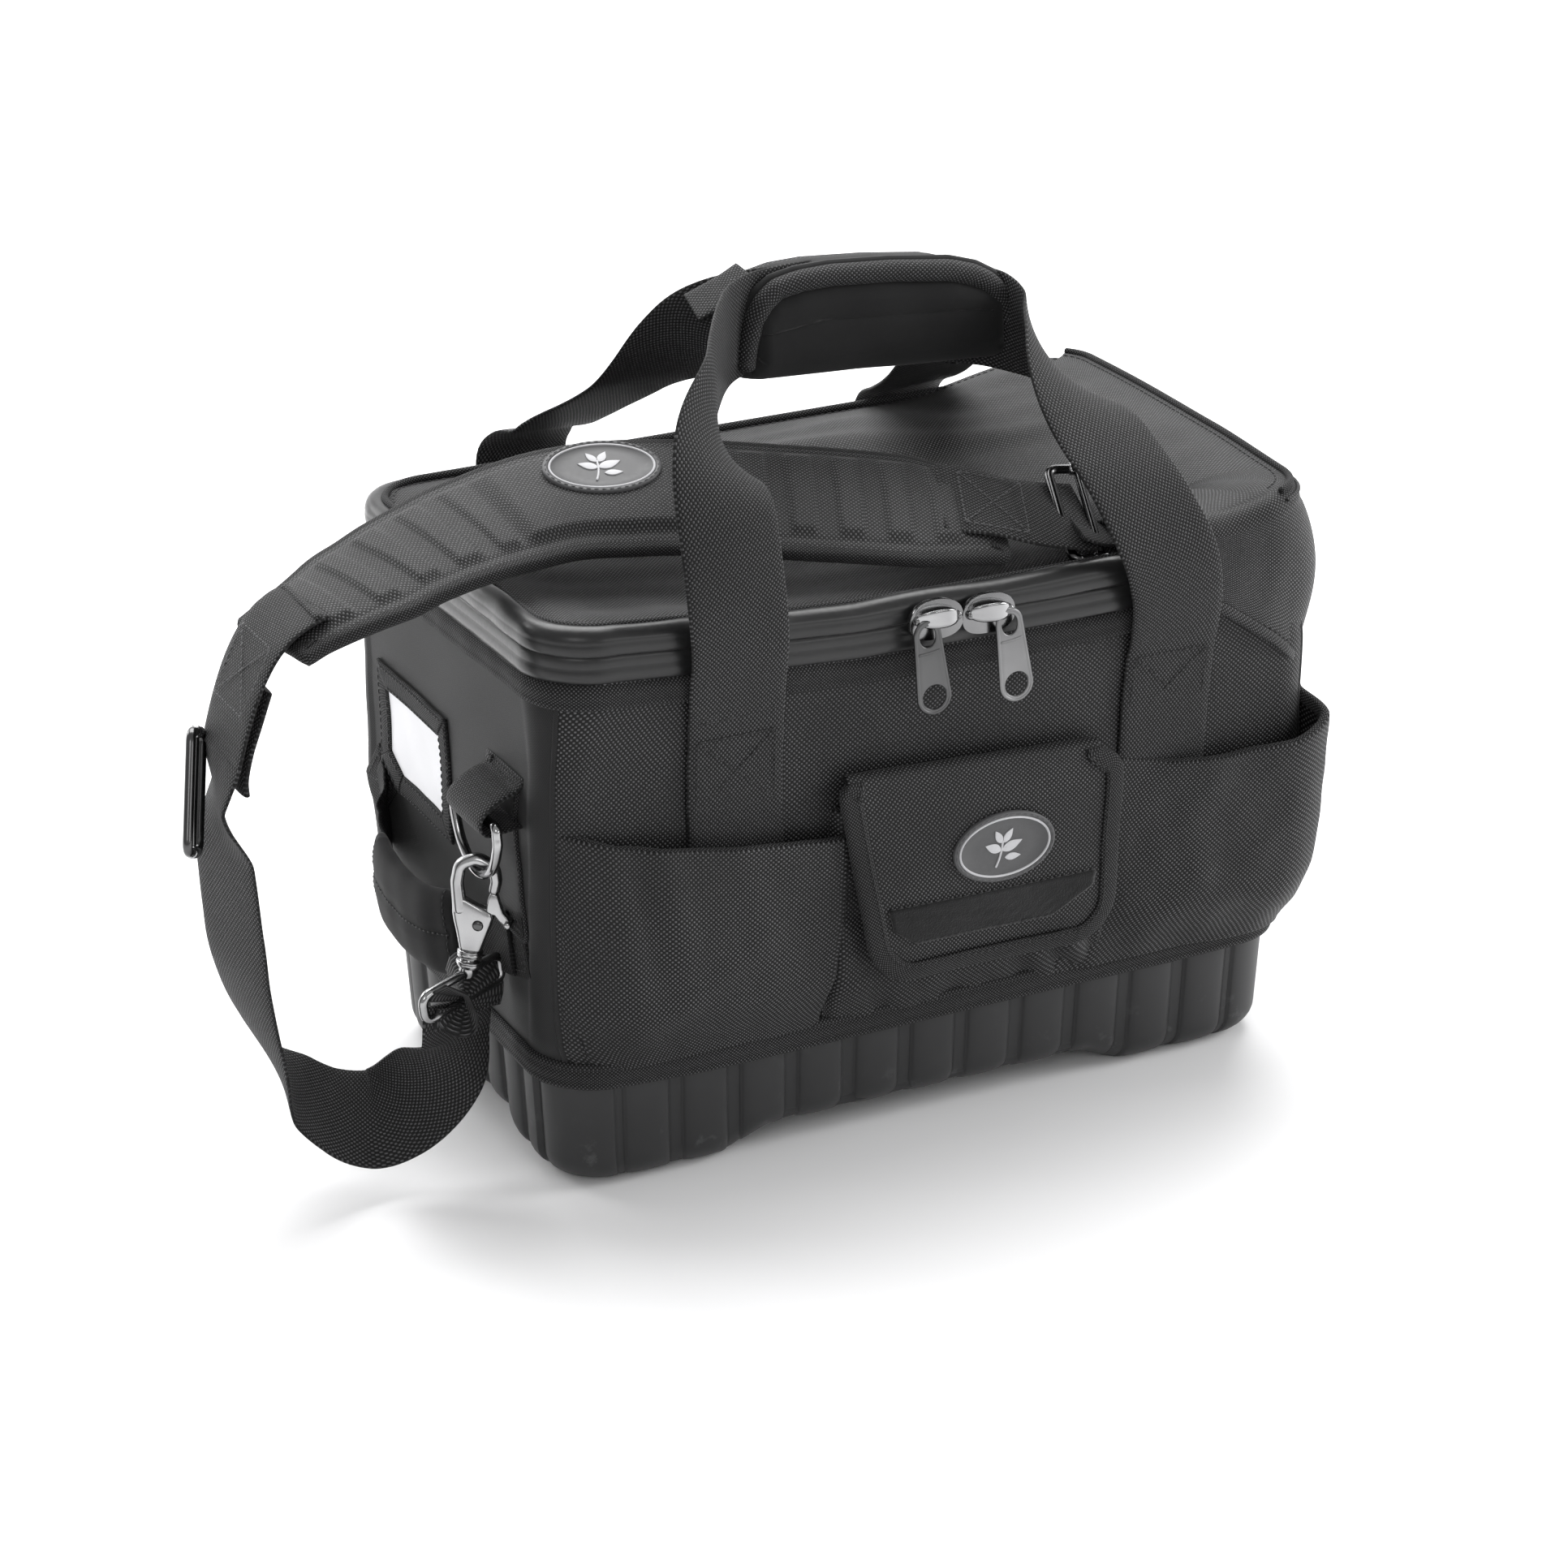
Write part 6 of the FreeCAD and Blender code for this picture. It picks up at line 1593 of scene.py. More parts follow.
n3 = np.cross(np.gradient(P3, axis=0), np.gradient(P3, axis=1))[45, 30]
if n3[1] > 0:
    bpy.data.objects.remove(ob2)
    ob2 = sheet("wrap_core", P3, 3.4, MT["neoprene"], None, UV=arc_uv(P3), side=-1)
for o in (ob1, ob2):
    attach(o, "front_handle")
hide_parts("handle_wrap")
E = np.vstack([P[0, 6:-1], P[:, -1], P[-1, 6:-1][::-1]])
E = spline(resample(E, 40), 220)
T = unit(np.gradient(E, axis=0))
ctr = A(18, -12, 386)
NN_ = np.broadcast_to(A(0, -1, 0), E.shape)
Dn = unit(np.cross(NN_, T))
Dn *= np.sign(np.sum(Dn * (ctr - E), 1))[:, None]
wn = unit(NN_ * 0.93 - Dn * 0.30)
Dn = unit(Dn - wn * np.sum(Dn * wn, 1, keepdims=True))
wb = tube("wrap_edge_tape", E + Dn * 3.6 + A(0, -4.4, 0), 5.4, MT["webbing"], "front_handle", seg=20)
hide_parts("wrap_binding")
S_ = E + Dn * 11.4 + wn * 1.5 + A(0, -0.6, 0)
stitches(("threadlight_handle", "front_handle"), S_, unit(wn + Dn * 0.2), pitch=2.0, length=1.5, r=0.42)
# closing tapes that show at both back edges of the wrap
for k, (yv, f) in enumerate(((15.0, 1), (15.0, 0))):
    zz = zt_(xc_) - 4.0 if f else zb_(xc_) + 3.0
    E4 = np.stack([xc_, np.full_like(xc_, yv), zz], 1)[3:-3]
    tb_ = edge_binding("wrap_back_tape_%d" % k, E4, np.broadcast_to(A(0, -1, 0), E4.shape), np.broadcast_to(A(0, 0, 1.0 if f else -1.0), E4.shape), 3.4, 8.0, 6.0, 0.9, MT["webbing"], "front_handle")
# rear corner of the closing flap, seen behind the left end of the grip
tabp = spline([(-72, 2, 394), (-64, 0, 398), (-54, -2, 403), (-44, -2, 408)], 24)
o = strap("wrap_corner_tab", tabp, (0, 1, 0.25), 22, 3.0, MT["webbing"], "front_handle", nw=11)

# =====================================================================================
# zipper sliders and pull tabs
# =====================================================================================
def oval(a, b, n=48, e=2.0):
    t = np.linspace(0, 2 * pi, n, endpoint=False)
    c, s = np.cos(t), np.sin(t)
    return np.stack([a * np.sign(c) * np.abs(c) ** (2 / e), b * np.sign(s) * np.abs(s) ** (2 / e)], 1)


def slider(name, cx, cz, body, rep, hand):
    parts = []
    # body plate: wide shouldered shield
    O = oval(14.0, 9.2, 56, 2.6)
    O[:, 1] += 1.4 * np.cos(O[:, 0] / 14.0 * pi / 2) * (O[:, 1] > 0)
    parts.append(plate("b", [tuple(v) for v in O], 3.0, A(cx, -127.8, cz), A(1, 0, 0), A(0, 0, 1), A(0, -1, 0), MT["slider"], None, bevel=1.1))
    # crown bridge over the tab loop
    m, k = 25, 18
    L = []
    for i, u in enumerate(np.linspace(-1, 1, m)):
        w = (1 - abs(u) ** 2.4) ** 0.62
        x = cx + 11.8 * u
        hz = 1.0 + 3.9 * w
        yy = -130.2 - 5.2 * w
        zc = cz + 1.6 + 1.2 * w - 0.045 * (x - cx) * 1.0
        ring_ = []
        for t in np.linspace(0, 2 * pi, k, endpoint=False):
            cy, cz_ = math.cos(t), math.sin(t)
            ring_.append((x, yy + 1.25 * (0.5 + 0.5 * w) * cy * (1.0 if cz_ > 0 else 1.35) - 1.1 * w * max(cz_, 0), zc + hz * cz_))
        L.append(ring_)
    parts.append(loft("c", np.array(L), MT["bright"], None))
    # foot posts of the bridge
    for sx in (-1, 1):
        parts.append(tube("p", spline([(cx + sx * 9.0, -130.0, cz + 1.0), (cx + sx * 10.4, -131.0, cz + 1.4), (cx + sx * 10.2, -132.6, cz + 1.8)], 8), 2.1, MT["slider"], None, seg=12))
    ob_ = join(name, parts, body)
    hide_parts(rep)
    return ob_


slider("zip_slider_left", -10.0, 269.8, "slider_left", "zipper_slider_left", -1)
slider("zip_slider_right", 17.6, 268.2, "slider_right", "zipper_slider_right", 1)


def pull_tab(name, x_top, z_top, x_bot, z_bot, y, mat, body, rep):
    """Drop tab: D loop round the bridge, tapered recessed blade, round eye at the low end."""
    c = A(x_bot, y, z_bot + 8.8)
    top = A(x_top, y, z_top)
    ay = unit(top - c)
    ax = unit(np.cross(ay, A(0, 1, 0)))
    if ax[0] < 0:
        ax = -ax
    az = unit(np.cross(ax, ay))
    if az[1] > 0:
        az = -az
    H = np.linalg.norm(top - c)
    def outline(g):
        pts = []
        for t in np.linspace(pi * 1.0, 2 * pi, 26):
            pts.append((8.8 * math.cos(t) * (1 - g / 8.8), 8.8 * math.sin(t) * (1 - g / 8.8)))
        wt = 6.9 - g
        pts.append((wt, H - 6.9))
        for t in np.linspace(0, pi, 20)[1:-1]:
            pts.append((wt * math.cos(t), H - 6.9 + wt * math.sin(t)))
        pts.append((-wt, H - 6.9))
        return pts
    eye = [(6.35 * math.cos(t), 6.35 * math.sin(t)) for t in np.linspace(0, 2 * pi, 40, endpoint=False)]
    lo_, hi_ = H - 14.0, H - 2.3
    loop = []
    for t in np.linspace(0, 2 * pi, 36, endpoint=False):
        s = math.sin(t)
        loop.append((4.6 * math.cos(t) * (1.0 if s > 0 else 0.98), (lo_ + hi_) / 2 + (hi_ - lo_) / 2 * s))
    o = c - az * 0.2
    core = plate("core", outline(1.0), 1.5, o, ax, ay, az, mat, None, bevel=0.25, holes=[eye, loop])
    def rim(poly, r, zo):
        P_ = np.stack([c + ax * p[0] + ay * p[1] + az * zo for p in poly])
        return tube("rim", P_, r, mat, None, closed=True, seg=10, up=az)
    parts = [core, rim(outline(0.75), 1.0, 0.6), rim([(p[0] * 1.06, p[1] * 1.06) for p in eye], 0.62, 0.6),
             rim([(p[0] * 1.08, (p[1] - (lo_ + hi_) / 2) * 1.03 + (lo_ + hi_) / 2) for p in loop], 0.75, 0.6)]
    # raised bar between loop and blade
    parts.append(tube("bar", np.stack([c + ax * s + ay * (lo_ - 1.6 - 0.6 * math.cos(s / 5.0)) + az * 0.7 for s in np.linspace(-5.6, 5.6, 10)]), 0.95, mat, None, seg=10, up=az))
    ob_ = join(name, parts, body)
    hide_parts(rep)
    return ob_


pull_tab("zip_tab_left", -18.2, 272.6, -13.4, 225.0, -134.4, MT["tabdark"], "tab_left", "pull_tab_left")
pull_tab("zip_tab_right", 25.2, 271.2, 30.4, 223.6, -134.4, MT["tablight"], "tab_right", "pull_tab_right")

# =====================================================================================
# left and right ends: ID window, ring loops, hardware, padded grips
# =====================================================================================
def end_x(y, z, s):
    """Outer face of an end wall (s -1 left, +1 right)."""
    a, b, r = wall_dims(z)
    q = 2 + (b - r - y) / (2 * (b - r)) if s < 0 else 6 + (y + b - r) / (2 * (b - r))
    P_, N_ = wall(np.array([[q]]), np.array([[z]]), 0.0)
    return float(P_[0, 0, 0])


def end_xs(Y_, Z_, s):
    Y_, Z_ = np.asarray(Y_, float), np.asarray(Z_, float)
    a_, b_, r_ = wall_dims(Z_)
    q_ = 2 + (b_ - r_ - Y_) / (2 * (b_ - r_)) if s < 0 else 6 + (Y_ + b_ - r_) / (2 * (b_ - r_))
    P_, N_ = wall(q_, Z_, 0.0)
    return P_[..., 0]


# ID window on the left end
W_out = [(-3, 145), (66, 145), (86, 158), (86, 210), (-3, 210)]
W_in = [(8, 156), (61, 156), (74, 165), (74, 198), (8, 198)]
fr_ = []
for i in range(5):
    j = (i + 1) % 5
    a0, a1, b0, b1 = A(*W_out[i]), A(*W_out[j]), A(*W_in[i]), A(*W_in[j])
    n_ = 30
    L_ = np.zeros((n_, 9, 3))
    for r_i, f in enumerate(np.linspace(0, 1, 9)):
        p0, p1 = a0 + (b0 - a0) * f, a1 + (b1 - a1) * f
        yz = p0 + (p1 - p0) * np.linspace(0, 1, n_)[:, None]
        L_[:, r_i, 0] = end_xs(yz[:, 0], yz[:, 1], -1) - 3.6 - 0.6 * math.sin(pi * f) - (0.5 if i % 2 else 0.0)
        L_[:, r_i, 1:] = yz
    uvl = np.stack(np.meshgrid(np.linspace(0, np.linalg.norm(a1 - a0), n_), np.linspace(0, 11, 9), indexing="ij"), 2)
    nn_ = np.cross(np.gradient(L_, axis=0), np.gradient(L_, axis=1))[12, 4]
    fr_.append(sheet("wf%d" % i, L_, 1.8, MT["tape"], None, UV=uvl, side=1 if nn_[0] < 0 else -1))
    for k_ in (1, 7):
        stitches(("thread_bag", "bag_body"), L_[1:-1, k_] + A(-0.25, 0, 0), A(-1, 0, 0), pitch=3.6, length=2.5, r=0.3)
ob = join("id_window_frame", fr_, "bag_body")
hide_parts("card_window_frame")
yy_, zz_ = np.meshgrid(np.linspace(5, 77, 50), np.linspace(153, 201, 30), indexing="ij")
keep_ = (zz_ > 153 + np.maximum(yy_ - 61, 0) * 0.7)
zz_ = np.maximum(zz_, 153 + np.maximum(yy_ - 60, 0) * 0.62)
Pc = np.stack([end_xs(yy_, zz_, -1) - 2.9 - 0.5 * np.sin((yy_ - 6) / 69 * pi) * np.sin((zz_ - 154) / 44 * pi) - 0.15 * wob(np.stack([yy_, zz_, 0 * yy_], -1), 26, 91), yy_, zz_], 2)
nn_ = np.cross(np.gradient(Pc, axis=0), np.gradient(Pc, axis=1))[20, 13]
ob = sheet("id_card", Pc, 0.5, MT["card"], "bag_body", UV=np.stack([yy_, zz_], 2), side=1 if nn_[0] < 0 else -1)
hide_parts("id_card")


def mirror(P_, s):
    P_ = np.array(P_, float)
    P_[..., 0] *= -s
    return P_


def ring_set(tag, s, dz, rep_loop, rep_ring, body):
    """s -1 left, +1 right. Webbing loop sewn to the end wall with a D ring hanging in it."""
    prof_ = [(205.2, 214), (206.6, 209.0), (209.0, 206.6), (213.2, 205.2), (218.0, 203.0), (222.6, 200.0), (226.0, 196.4), (227.0, 192.2), (225.0, 188.4), (221.2, 187.2), (216.6, 187.8), (211.0, 188.6), (205.6, 189.0)]
    P_ = spline([(x, -72, z) for x, z in prof_], 60)
    P_[:, 0] *= s
    P_[:, 2] += dz
    w_ = np.interp(np.linspace(0, 1, 60), [0, 0.12, 0.85, 1], [44, 40, 40, 40])
    o = strap("lw", P_, (0, 1, 0), w_, 2.2, MT["webbing"], None, nw=15)
    # sewn-down tail under the patch
    ob_ = join("ring_webbing_%s" % tag, [o], "bag_body")
    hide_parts(rep_loop)
    for f in (2, 5):
        c0, c1 = P_[f] + A(s * 1.3, -18, 0), P_[f] + A(s * 1.3, 18, 0)
        stitches(("thread_bag", "bag_body"), np.stack([c0, c1]), A(s, 0, 0.2), pitch=3.0, length=2.2, r=0.28)
    R_ = [(-98.0, 189.0), (-98.0, 183.6), (-92.0, 171.6), (-81.5, 163.8), (-72.0, 161.6), (-62.5, 163.8), (-52.0, 171.6), (-46.0, 183.6), (-46.0, 189.0)]
    pts_ = [(s * 221.4, y, z + dz) for y, z in R_]
    C_ = spline([(s * 221.5, -98.0, 190.0 + dz)] + pts_ + [(s * 221.5, -46.0, 190.0 + dz)], 90)
    top_ = rounded([tuple(C_[-1]), (s * 221.5, -46.0, 193.6 + dz), (s * 221.5, -98.0, 193.6 + dz), tuple(C_[0])], 3.2, False, 1.2)
    C_ = np.vstack([C_, top_[1:-1]])
    C_ = resample(np.vstack([C_, C_[:1]]), 170)[:-1]
    ring_ = tube("d_ring_wire_%s" % tag, C_, 2.45, MT["bright"], body, closed=True, seg=16, up=(1, 0, 0))
    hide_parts(rep_ring)


ring_set("left", -1, 0.0, "ring_loop_left", "d_ring_left", "ring_left")
ring_set("right", 1, -34.0, "ring_loop_right", "d_ring_right", "ring_right")

# reinforcement patches behind the loops
patches = []
for s, dz in ((-1, 0.0), (1, -34.0)):
    zs = np.linspace(130.5, 213, 60)
    y_f = np.interp(zs, [130.5, 150, 177, 192, 206, 213], [-96.5, -91, -86.0, -86.0, -89.5, -84])
    y_b = np.interp(zs, [130.5, 150, 177, 192, 206, 213], [-49.5, -54, -59.0, -58.0, -54.5, -60])
    y_f[:3] += (3 - np.arange(3)) * 1.0
    us = np.linspace(0, 1, 30)
    Yp = y_f[None] + (y_b - y_f)[None] * us[:, None]
    Zp = np.broadcast_to(zs[None] + dz, Yp.shape)
    L_ = np.stack([end_xs(Yp, Zp, s) + s * (2.3 + 0.7 * np.sin(pi * us)[:, None] + 0.2 * wob(np.stack([Yp, Zp, 0 * Yp], -1), 22, 97)), Yp, Zp], 2)
    nn_ = np.cross(np.gradient(L_, axis=0), np.gradient(L_, axis=1))[11, 27]
    patches.append(sheet("pt", L_, 2.0, MT["endcloth"], None, UV=arc_uv(L_), side=1 if nn_[0] * s > 0 else -1))
    E_ = np.vstack([L_[0, ::-1], L_[1:-1, 0], L_[-1]])
    E_ = resample(E_, 170)
    T_e = unit(np.gradient(E_, axis=0))
    N_e = np.broadcast_to(A(s, 0, 0), E_.shape)
    D_e = unit(np.cross(N_e, T_e))
    cc = np.stack([E_[:, 0], np.full(len(E_), -72.0), np.clip(E_[:, 2], 145 + dz, 205 + dz)], 1)
    D_e = D_e * np.sign(np.sum(D_e * (cc - E_), 1) + 1e-9)[:, None]
    patches.append(tube("pe", E_ + N_e * 0.2 + D_e * 0.4, 1.25, MT["tape"], None, seg=10))
    stitches(("thread_bag", "bag_body"), E_[4:-4] + D_e[4:-4] * 3.6 + N_e[4:-4] * 0.35, N_e[4:-4], pitch=3.6, length=2.5, r=0.3)
ob = join("ring_patch_cloth", patches, "bag_body")
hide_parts("ring_patches")


# =====================================================================================
# snap hook
# =====================================================================================
def R3(axis, deg):
    a_ = math.radians(deg)
    c_, s_ = math.cos(a_), math.sin(a_)
    return {"y": np.array([[c_, 0, s_], [0, 1, 0], [-s_, 0, c_]]), "z": np.array([[c_, -s_, 0], [s_, c_, 0], [0, 0, 1]]), "x": np.array([[1, 0, 0], [0, c_, -s_], [0, s_, c_]])}[axis]


HO, HR0 = A(-221.5, -72, 161.5), R3("y", 7.5)
HR = HR0 @ R3("z", 145)


def hk(p):
    return np.asarray(p, float) @ HR.T + HO


nose = rounded([(6.4, 0, -20.5), (9.2, 0, -6.5), (8.4, 0, 2.6), (0.5, 0, 6.8), (-7.8, 0, 3.6), (-9.6, 0, -3.2), (-8.9, 0, -8.6)], 5.6, False, 0.7)
rad = np.interp(np.linspace(0, 1, len(nose)), [0, 0.25, 0.8, 1.0], [3.6, 3.1, 2.8, 2.5])
parts = [tube("n", hk(nose), rad, MT["hookm"], None, seg=16, up=(0, 1, 0), squash=1.12)]
# broad cheek: section stack from the throat to the collar
secs = []
for z, xl, xr, hy in ((-13.5, 5.2, 10.2, 2.5), (-15.2, 1.0, 10.3, 2.9), (-17.4, -5.2, 10.3, 3.2), (-19.4, -9.2, 10.2, 3.4), (-21.6, -10.0, 10.0, 3.5), (-25.5, -9.2, 9.0, 3.6), (-30, -7.9, 7.5, 3.7), (-34.5, -6.7, 6.2, 3.8), (-38, -5.8, 5.2, 4.0), (-39.4, -5.2, 4.8, 4.2)):
    O = oval(0.5 * (xr - xl), hy, 28, 3.4)
    secs.append([((xl + xr) / 2 + p[0], p[1], z) for p in O])
parts.append(loft("ck", hk(np.array(secs)), MT["hookm"], None))
for z0, z1, r0, r1 in ((-39.2, -40.2, 5.2, 6.1), (-40.2, -42.2, 6.1, 6.1), (-42.2, -43.2, 6.1, 5.2), (-43.2, -44.6, 3.9, 3.9), (-44.6, -45.6, 6.2, 6.4), (-45.6, -48.4, 6.4, 5.2)):
    L_ = []
    for z, r in ((z0, r0 * 0.93), (z0 - 0.25, r0), (z1 + 0.25, r1), (z1, r1 * 0.93)):
        L_.append([(r * math.cos(t) - 0.2, r * math.sin(t), z) for t in np.linspace(0, 2 * pi, 28, endpoint=False)])
    parts.append(loft("cl", hk(np.array(L_)), MT["hookm"], None))
ob = join("hook_body", parts, "hook")
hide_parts("snap_hook")
rv = []
for sy in (-1, 1):
    L_ = []
    for y, r in ((2.2, 2.7), (3.6, 2.7), (4.15, 2.4), (4.5, 1.7), (4.6, 0.9)):
        L_.append([(-3.2 + r * math.cos(t), sy * y, -25.8 + r * math.sin(t)) for t in np.linspace(0, 2 * pi, 24, endpoint=False)])
    rv.append(loft("rv", hk(np.array(L_)), MT["darkwire"], None))
ob = join("hook_pin", rv, "hook")
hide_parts("hook_rivet")
# trigger: gate finger closing the throat plus thumb lever outside
gate = plate("g", [(-10.8, -9.6), (-7.4, -9.2), (-6.4, -13.0), (-6.2, -19.6), (-10.4, -20.2), (-12.6, -22.6), (-15.6, -24.8), (-17.8, -24.4), (-18.4, -22.6), (-16.8, -20.4), (-14.4, -18.2), (-13.0, -15.2), (-11.8, -12.2)], 4.2, hk((0, -2.1, 0)), HR @ A(1, 0, 0), HR @ A(0, 0, 1), HR @ A(0, 1, 0), MT["hookm"], None, bevel=0.9)
lug = tube("l", hk(np.array([(-17.2, -3.8, -23.4), (-17.2, 0, -23.5), (-17.2, 3.8, -23.4)])), 1.7, MT["hookm"], None, seg=12)
ob = join("hook_gate", [gate, lug], "trigger")
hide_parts("hook_trigger")
BM = HR0 @ R3("z", 18) @ R3("y", -16)
BO = HR0 @ A(0.2, 0, -50.5) + HO


def bar(p):
    return np.asarray(p, float) @ BM.T + BO


lp = rounded([(0, 0, 0), (18.8, 0, 0), (18.8, 0, -14), (-29, 0, -14), (-29, 0, 0), (0, 0, 0)], 4.6, False, 0.8)
lp = resample(np.vstack([lp, lp[:1]]), 120)[:-1]
parts = [tube("lp", bar(lp), 2.3, MT["bright"], None, closed=True, seg=14, up=tuple(BM @ A(0, 1, 0)))]
L_ = []
for z, r in ((7.5, 2.4), (7.0, 3.0), (3.2, 3.2), (2.0, 3.8), (-1.6, 4.0), (-2.6, 3.0)):
    L_.append([(r * 1.25 * math.cos(t), r * math.sin(t), z) for t in np.linspace(0, 2 * pi, 24, endpoint=False)])
parts.append(loft("st", bar(np.array(L_)), MT["bright"], None))
ob = join("swivel_loop", parts, "swivel")
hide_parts("hook_swivel_bar")


# =====================================================================================
# padded side grips
# =====================================================================================
def grip(tag, s, rep_band, rep_pad, body, back=0.0):
    bp = [(208.2, -78, 124.0), (208.6, -68, 121.5), (209.4, -58, 119.5), (212.0, -46, 115.6), (217.0, -32, 111.5), (221.0, -16, 109.0), (222.6, 2 + back * 0.3, 108.6), (221.6, 20 + back * 0.8, 110.0), (217.5, 38 + back, 115.6), (212.2, 52 + back, 124), (208.8, 60 + back, 132.5), (207.6, 66 + back, 140.0), (207.0, 72 + back, 146.0)]
    P_ = spline(bp, 120)
    P_[:, 0] *= s
    f = np.linspace(0, 1, 120)
    o = strap("grip_webbing_%s" % tag, P_, (0, 0.25, 1), 31, 2.2, MT["webdark"], body, nw=13)
    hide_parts(rep_band)
    # padded sleeve: rounded pillow section round the band with a stitched seam
    C_ = spline([(215.6, -36, 113.0), (219.8, -25, 110.4), (223.6, -12, 108.4), (225.4, 4 + back * 0.3, 107.6), (224.6, 20 + back * 0.8, 109.4), (220.6, 36 + back, 114.6)], 90)
    C_[:, 0] *= s
    T_e, W_e, N_e = frames(C_, np.tile(A(0, 0.12, 1.0), (90, 1)), False)
    if (N_e[45] * A(s, 0, 0)).sum() < 0:
        N_e = -N_e
    n_ = 40
    th = np.linspace(0, 2 * pi, n_, endpoint=False)
    L_ = []
    for i in range(90):
        e_ = min(i, 89 - i) / 7.0
        k_ = 0.80 + 0.20 * min(1.0, e_) ** 0.5
        wv = 21.5 * k_ * np.sign(np.cos(th)) * np.abs(np.cos(th)) ** 0.85
        nv = 5.6 * (0.62 + 0.38 * min(1.0, e_) ** 0.6) * np.sign(np.sin(th)) * np.abs(np.sin(th)) ** 0.72
        nv = nv - 0.9 * np.exp(-((th - pi / 2) / 0.07) ** 2) * (i > 3) * (i < 86)
        L_.append(C_[i] + W_e[i] * wv[:, None] + N_e[i] * (nv[:, None] + 0.4))
    L_ = np.array(L_)
    L_ += (0.35 * wob(L_, 24, 95))[..., None] * unit(L_ - C_[:, None])
    L_[0] = C_[0] + (L_[0] - C_[0]) * 0.82
    L_[-1] = C_[-1] + (L_[-1] - C_[-1]) * 0.82
    pad_ = loft("grip_pad_%s" % tag, L_, MT["neoprene"], body)
    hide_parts(rep_pad)
    mid_ = L_[4:86, n_ // 4]
    stitches(("thread_grip_" + tag, body), mid_ + N_e[4:86] * 0.5, N_e[4:86], pitch=3.4, length=2.3, r=0.3)
    for j in (6, 83):
        rowp = L_[j]
        k_ = [i for i in range(n_) if th[i] < pi]
        stitches(("thread_grip_" + tag, body), rowp[k_], unit(rowp[k_] - C_[j]), pitch=3.2, length=2.2, r=0.28)
    # sewn ends on the wall
    res = []
    for y0, z0, y1, z1 in ((-94, 128.5, -62, 118.5), (58 + back, 134, 84 + back * 0.7, 152)):
        y_ = np.linspace(y0, y1, 20)
        z_ = np.linspace(z0, z1, 20)
        Pq = np.array([(end_x(y, z, s) + s * 2.2, y, z) for y, z in zip(y_, z_)])
        res.append(strap("an", Pq, (0, 0.2, 1), 32, 2.0, MT["webdark"], None, nw=11))
        d_ = unit(Pq[-1] - Pq[0])
        wv = unit(np.cross(A(s, 0, 0), d_))
        box_x(("thread_bag", "bag_body"), Pq.mean(0) + A(s * 1.2, 0, 0), wv, d_, A(s, 0, 0), 12.5, np.linalg.norm(Pq[-1] - Pq[0]) - 7)
    return res


an = grip("left", -1, "side_grip_band_left", "side_grip_pad_left", "grip_left", 22.0) + grip("right", 1, "side_grip_band_right", "side_grip_pad_right", "grip_right")
ob = join("grip_anchor_webbing", an, "bag_body")
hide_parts("grip_anchors")

# =====================================================================================
# shoulder strap
# =====================================================================================
pc_ = [(-308, -50.5, 287.5), (-292, -47.5, 293), (-272, -44, 299.4), (-254, -40, 303.8), (-236.5, -36, 308.5), (-214, -32, 313), (-192.5, -28.5, 316.0), (-158, -26.5, 319.6), (-126, -31, 319.6), (-90, -40, 317.2), (-56, -52, 313.4), (-19, -65, 308.9), (8, -74, 304.9), (28, -80, 301.2), (46, -85, 298.6)]
PC = spline(pc_, 230)
dpc = np.r_[0, np.cumsum(np.linalg.norm(np.diff(PC, axis=0), axis=1))]
Lp = dpc[-1]
fp = dpc / Lp
tilt = np.interp(fp, [0, 0.12, 0.24, 0.36, 0.5, 0.7, 0.88, 1.0], [2, 5, 9, 15, 21, 21.5, 21.5, 21])
T_p = unit(np.gradient(PC, axis=0))
Wp = np.stack([0 * tilt, np.cos(np.radians(tilt)), np.sin(np.radians(tilt))], 1)
Wp = unit(Wp - T_p * np.sum(Wp * T_p, 1, keepdims=True))
Np_ = unit(np.cross(T_p, Wp))
Np_ *= np.sign(Np_[:, 2:3])
nv = 61
sv = np.linspace(-1, 1, nv)
hw = 38.0 * (1 - 0.22 * (1 - smooth(fp, 0.0, 0.16)) - 0.20 * smooth(fp, 0.88, 1.0))
s_mm = fp * Lp
ribs = np.zeros_like(fp)
mid_l, mid_r = 0.355, 0.635
for k_ in range(5):
    c_ = 0.055 + 0.062 * k_
    ribs += (smooth(fp, c_ - 0.0035, c_) - smooth(fp, c_ + 0.0285, c_ + 0.032)) * 1.0
for k_ in range(5):
    c_ = 0.665 + 0.062 * k_
    ribs += (smooth(fp, c_ - 0.0035, c_) - smooth(fp, c_ + 0.0285, c_ + 0.032)) * 1.0
centre = smooth(fp, mid_l - 0.02, mid_l + 0.012) * (1 - smooth(fp, mid_r - 0.012, mid_r + 0.02))
edgef = np.clip(1 - np.abs(sv) ** 2, 0, 1)
inner = (1 - smooth(np.abs(sv), 0.66, 0.80))
H_ = 3.0 + 3.6 * edgef[None] ** 0.5
H_ = H_ + inner[None] * (1.9 * ribs[:, None] + (3.4 * centre)[:, None] * (1 - 0.25 * sv[None] ** 2))
H_ = H_ - 0.5 * np.exp(-((np.abs(sv)[None] - 0.83) / 0.035) ** 2)
H_ = H_ * (0.62 + 0.38 * smooth(fp, 0, 0.03) * (1 - smooth(fp, 0.97, 1)))[:, None]
top_ = PC[:, None] + Wp[:, None] * (hw[:, None] * sv[None])[..., None] + Np_[:, None] * (H_ - 1.0 - 2.2 * np.abs(sv[None]) ** 2.5)[..., None]
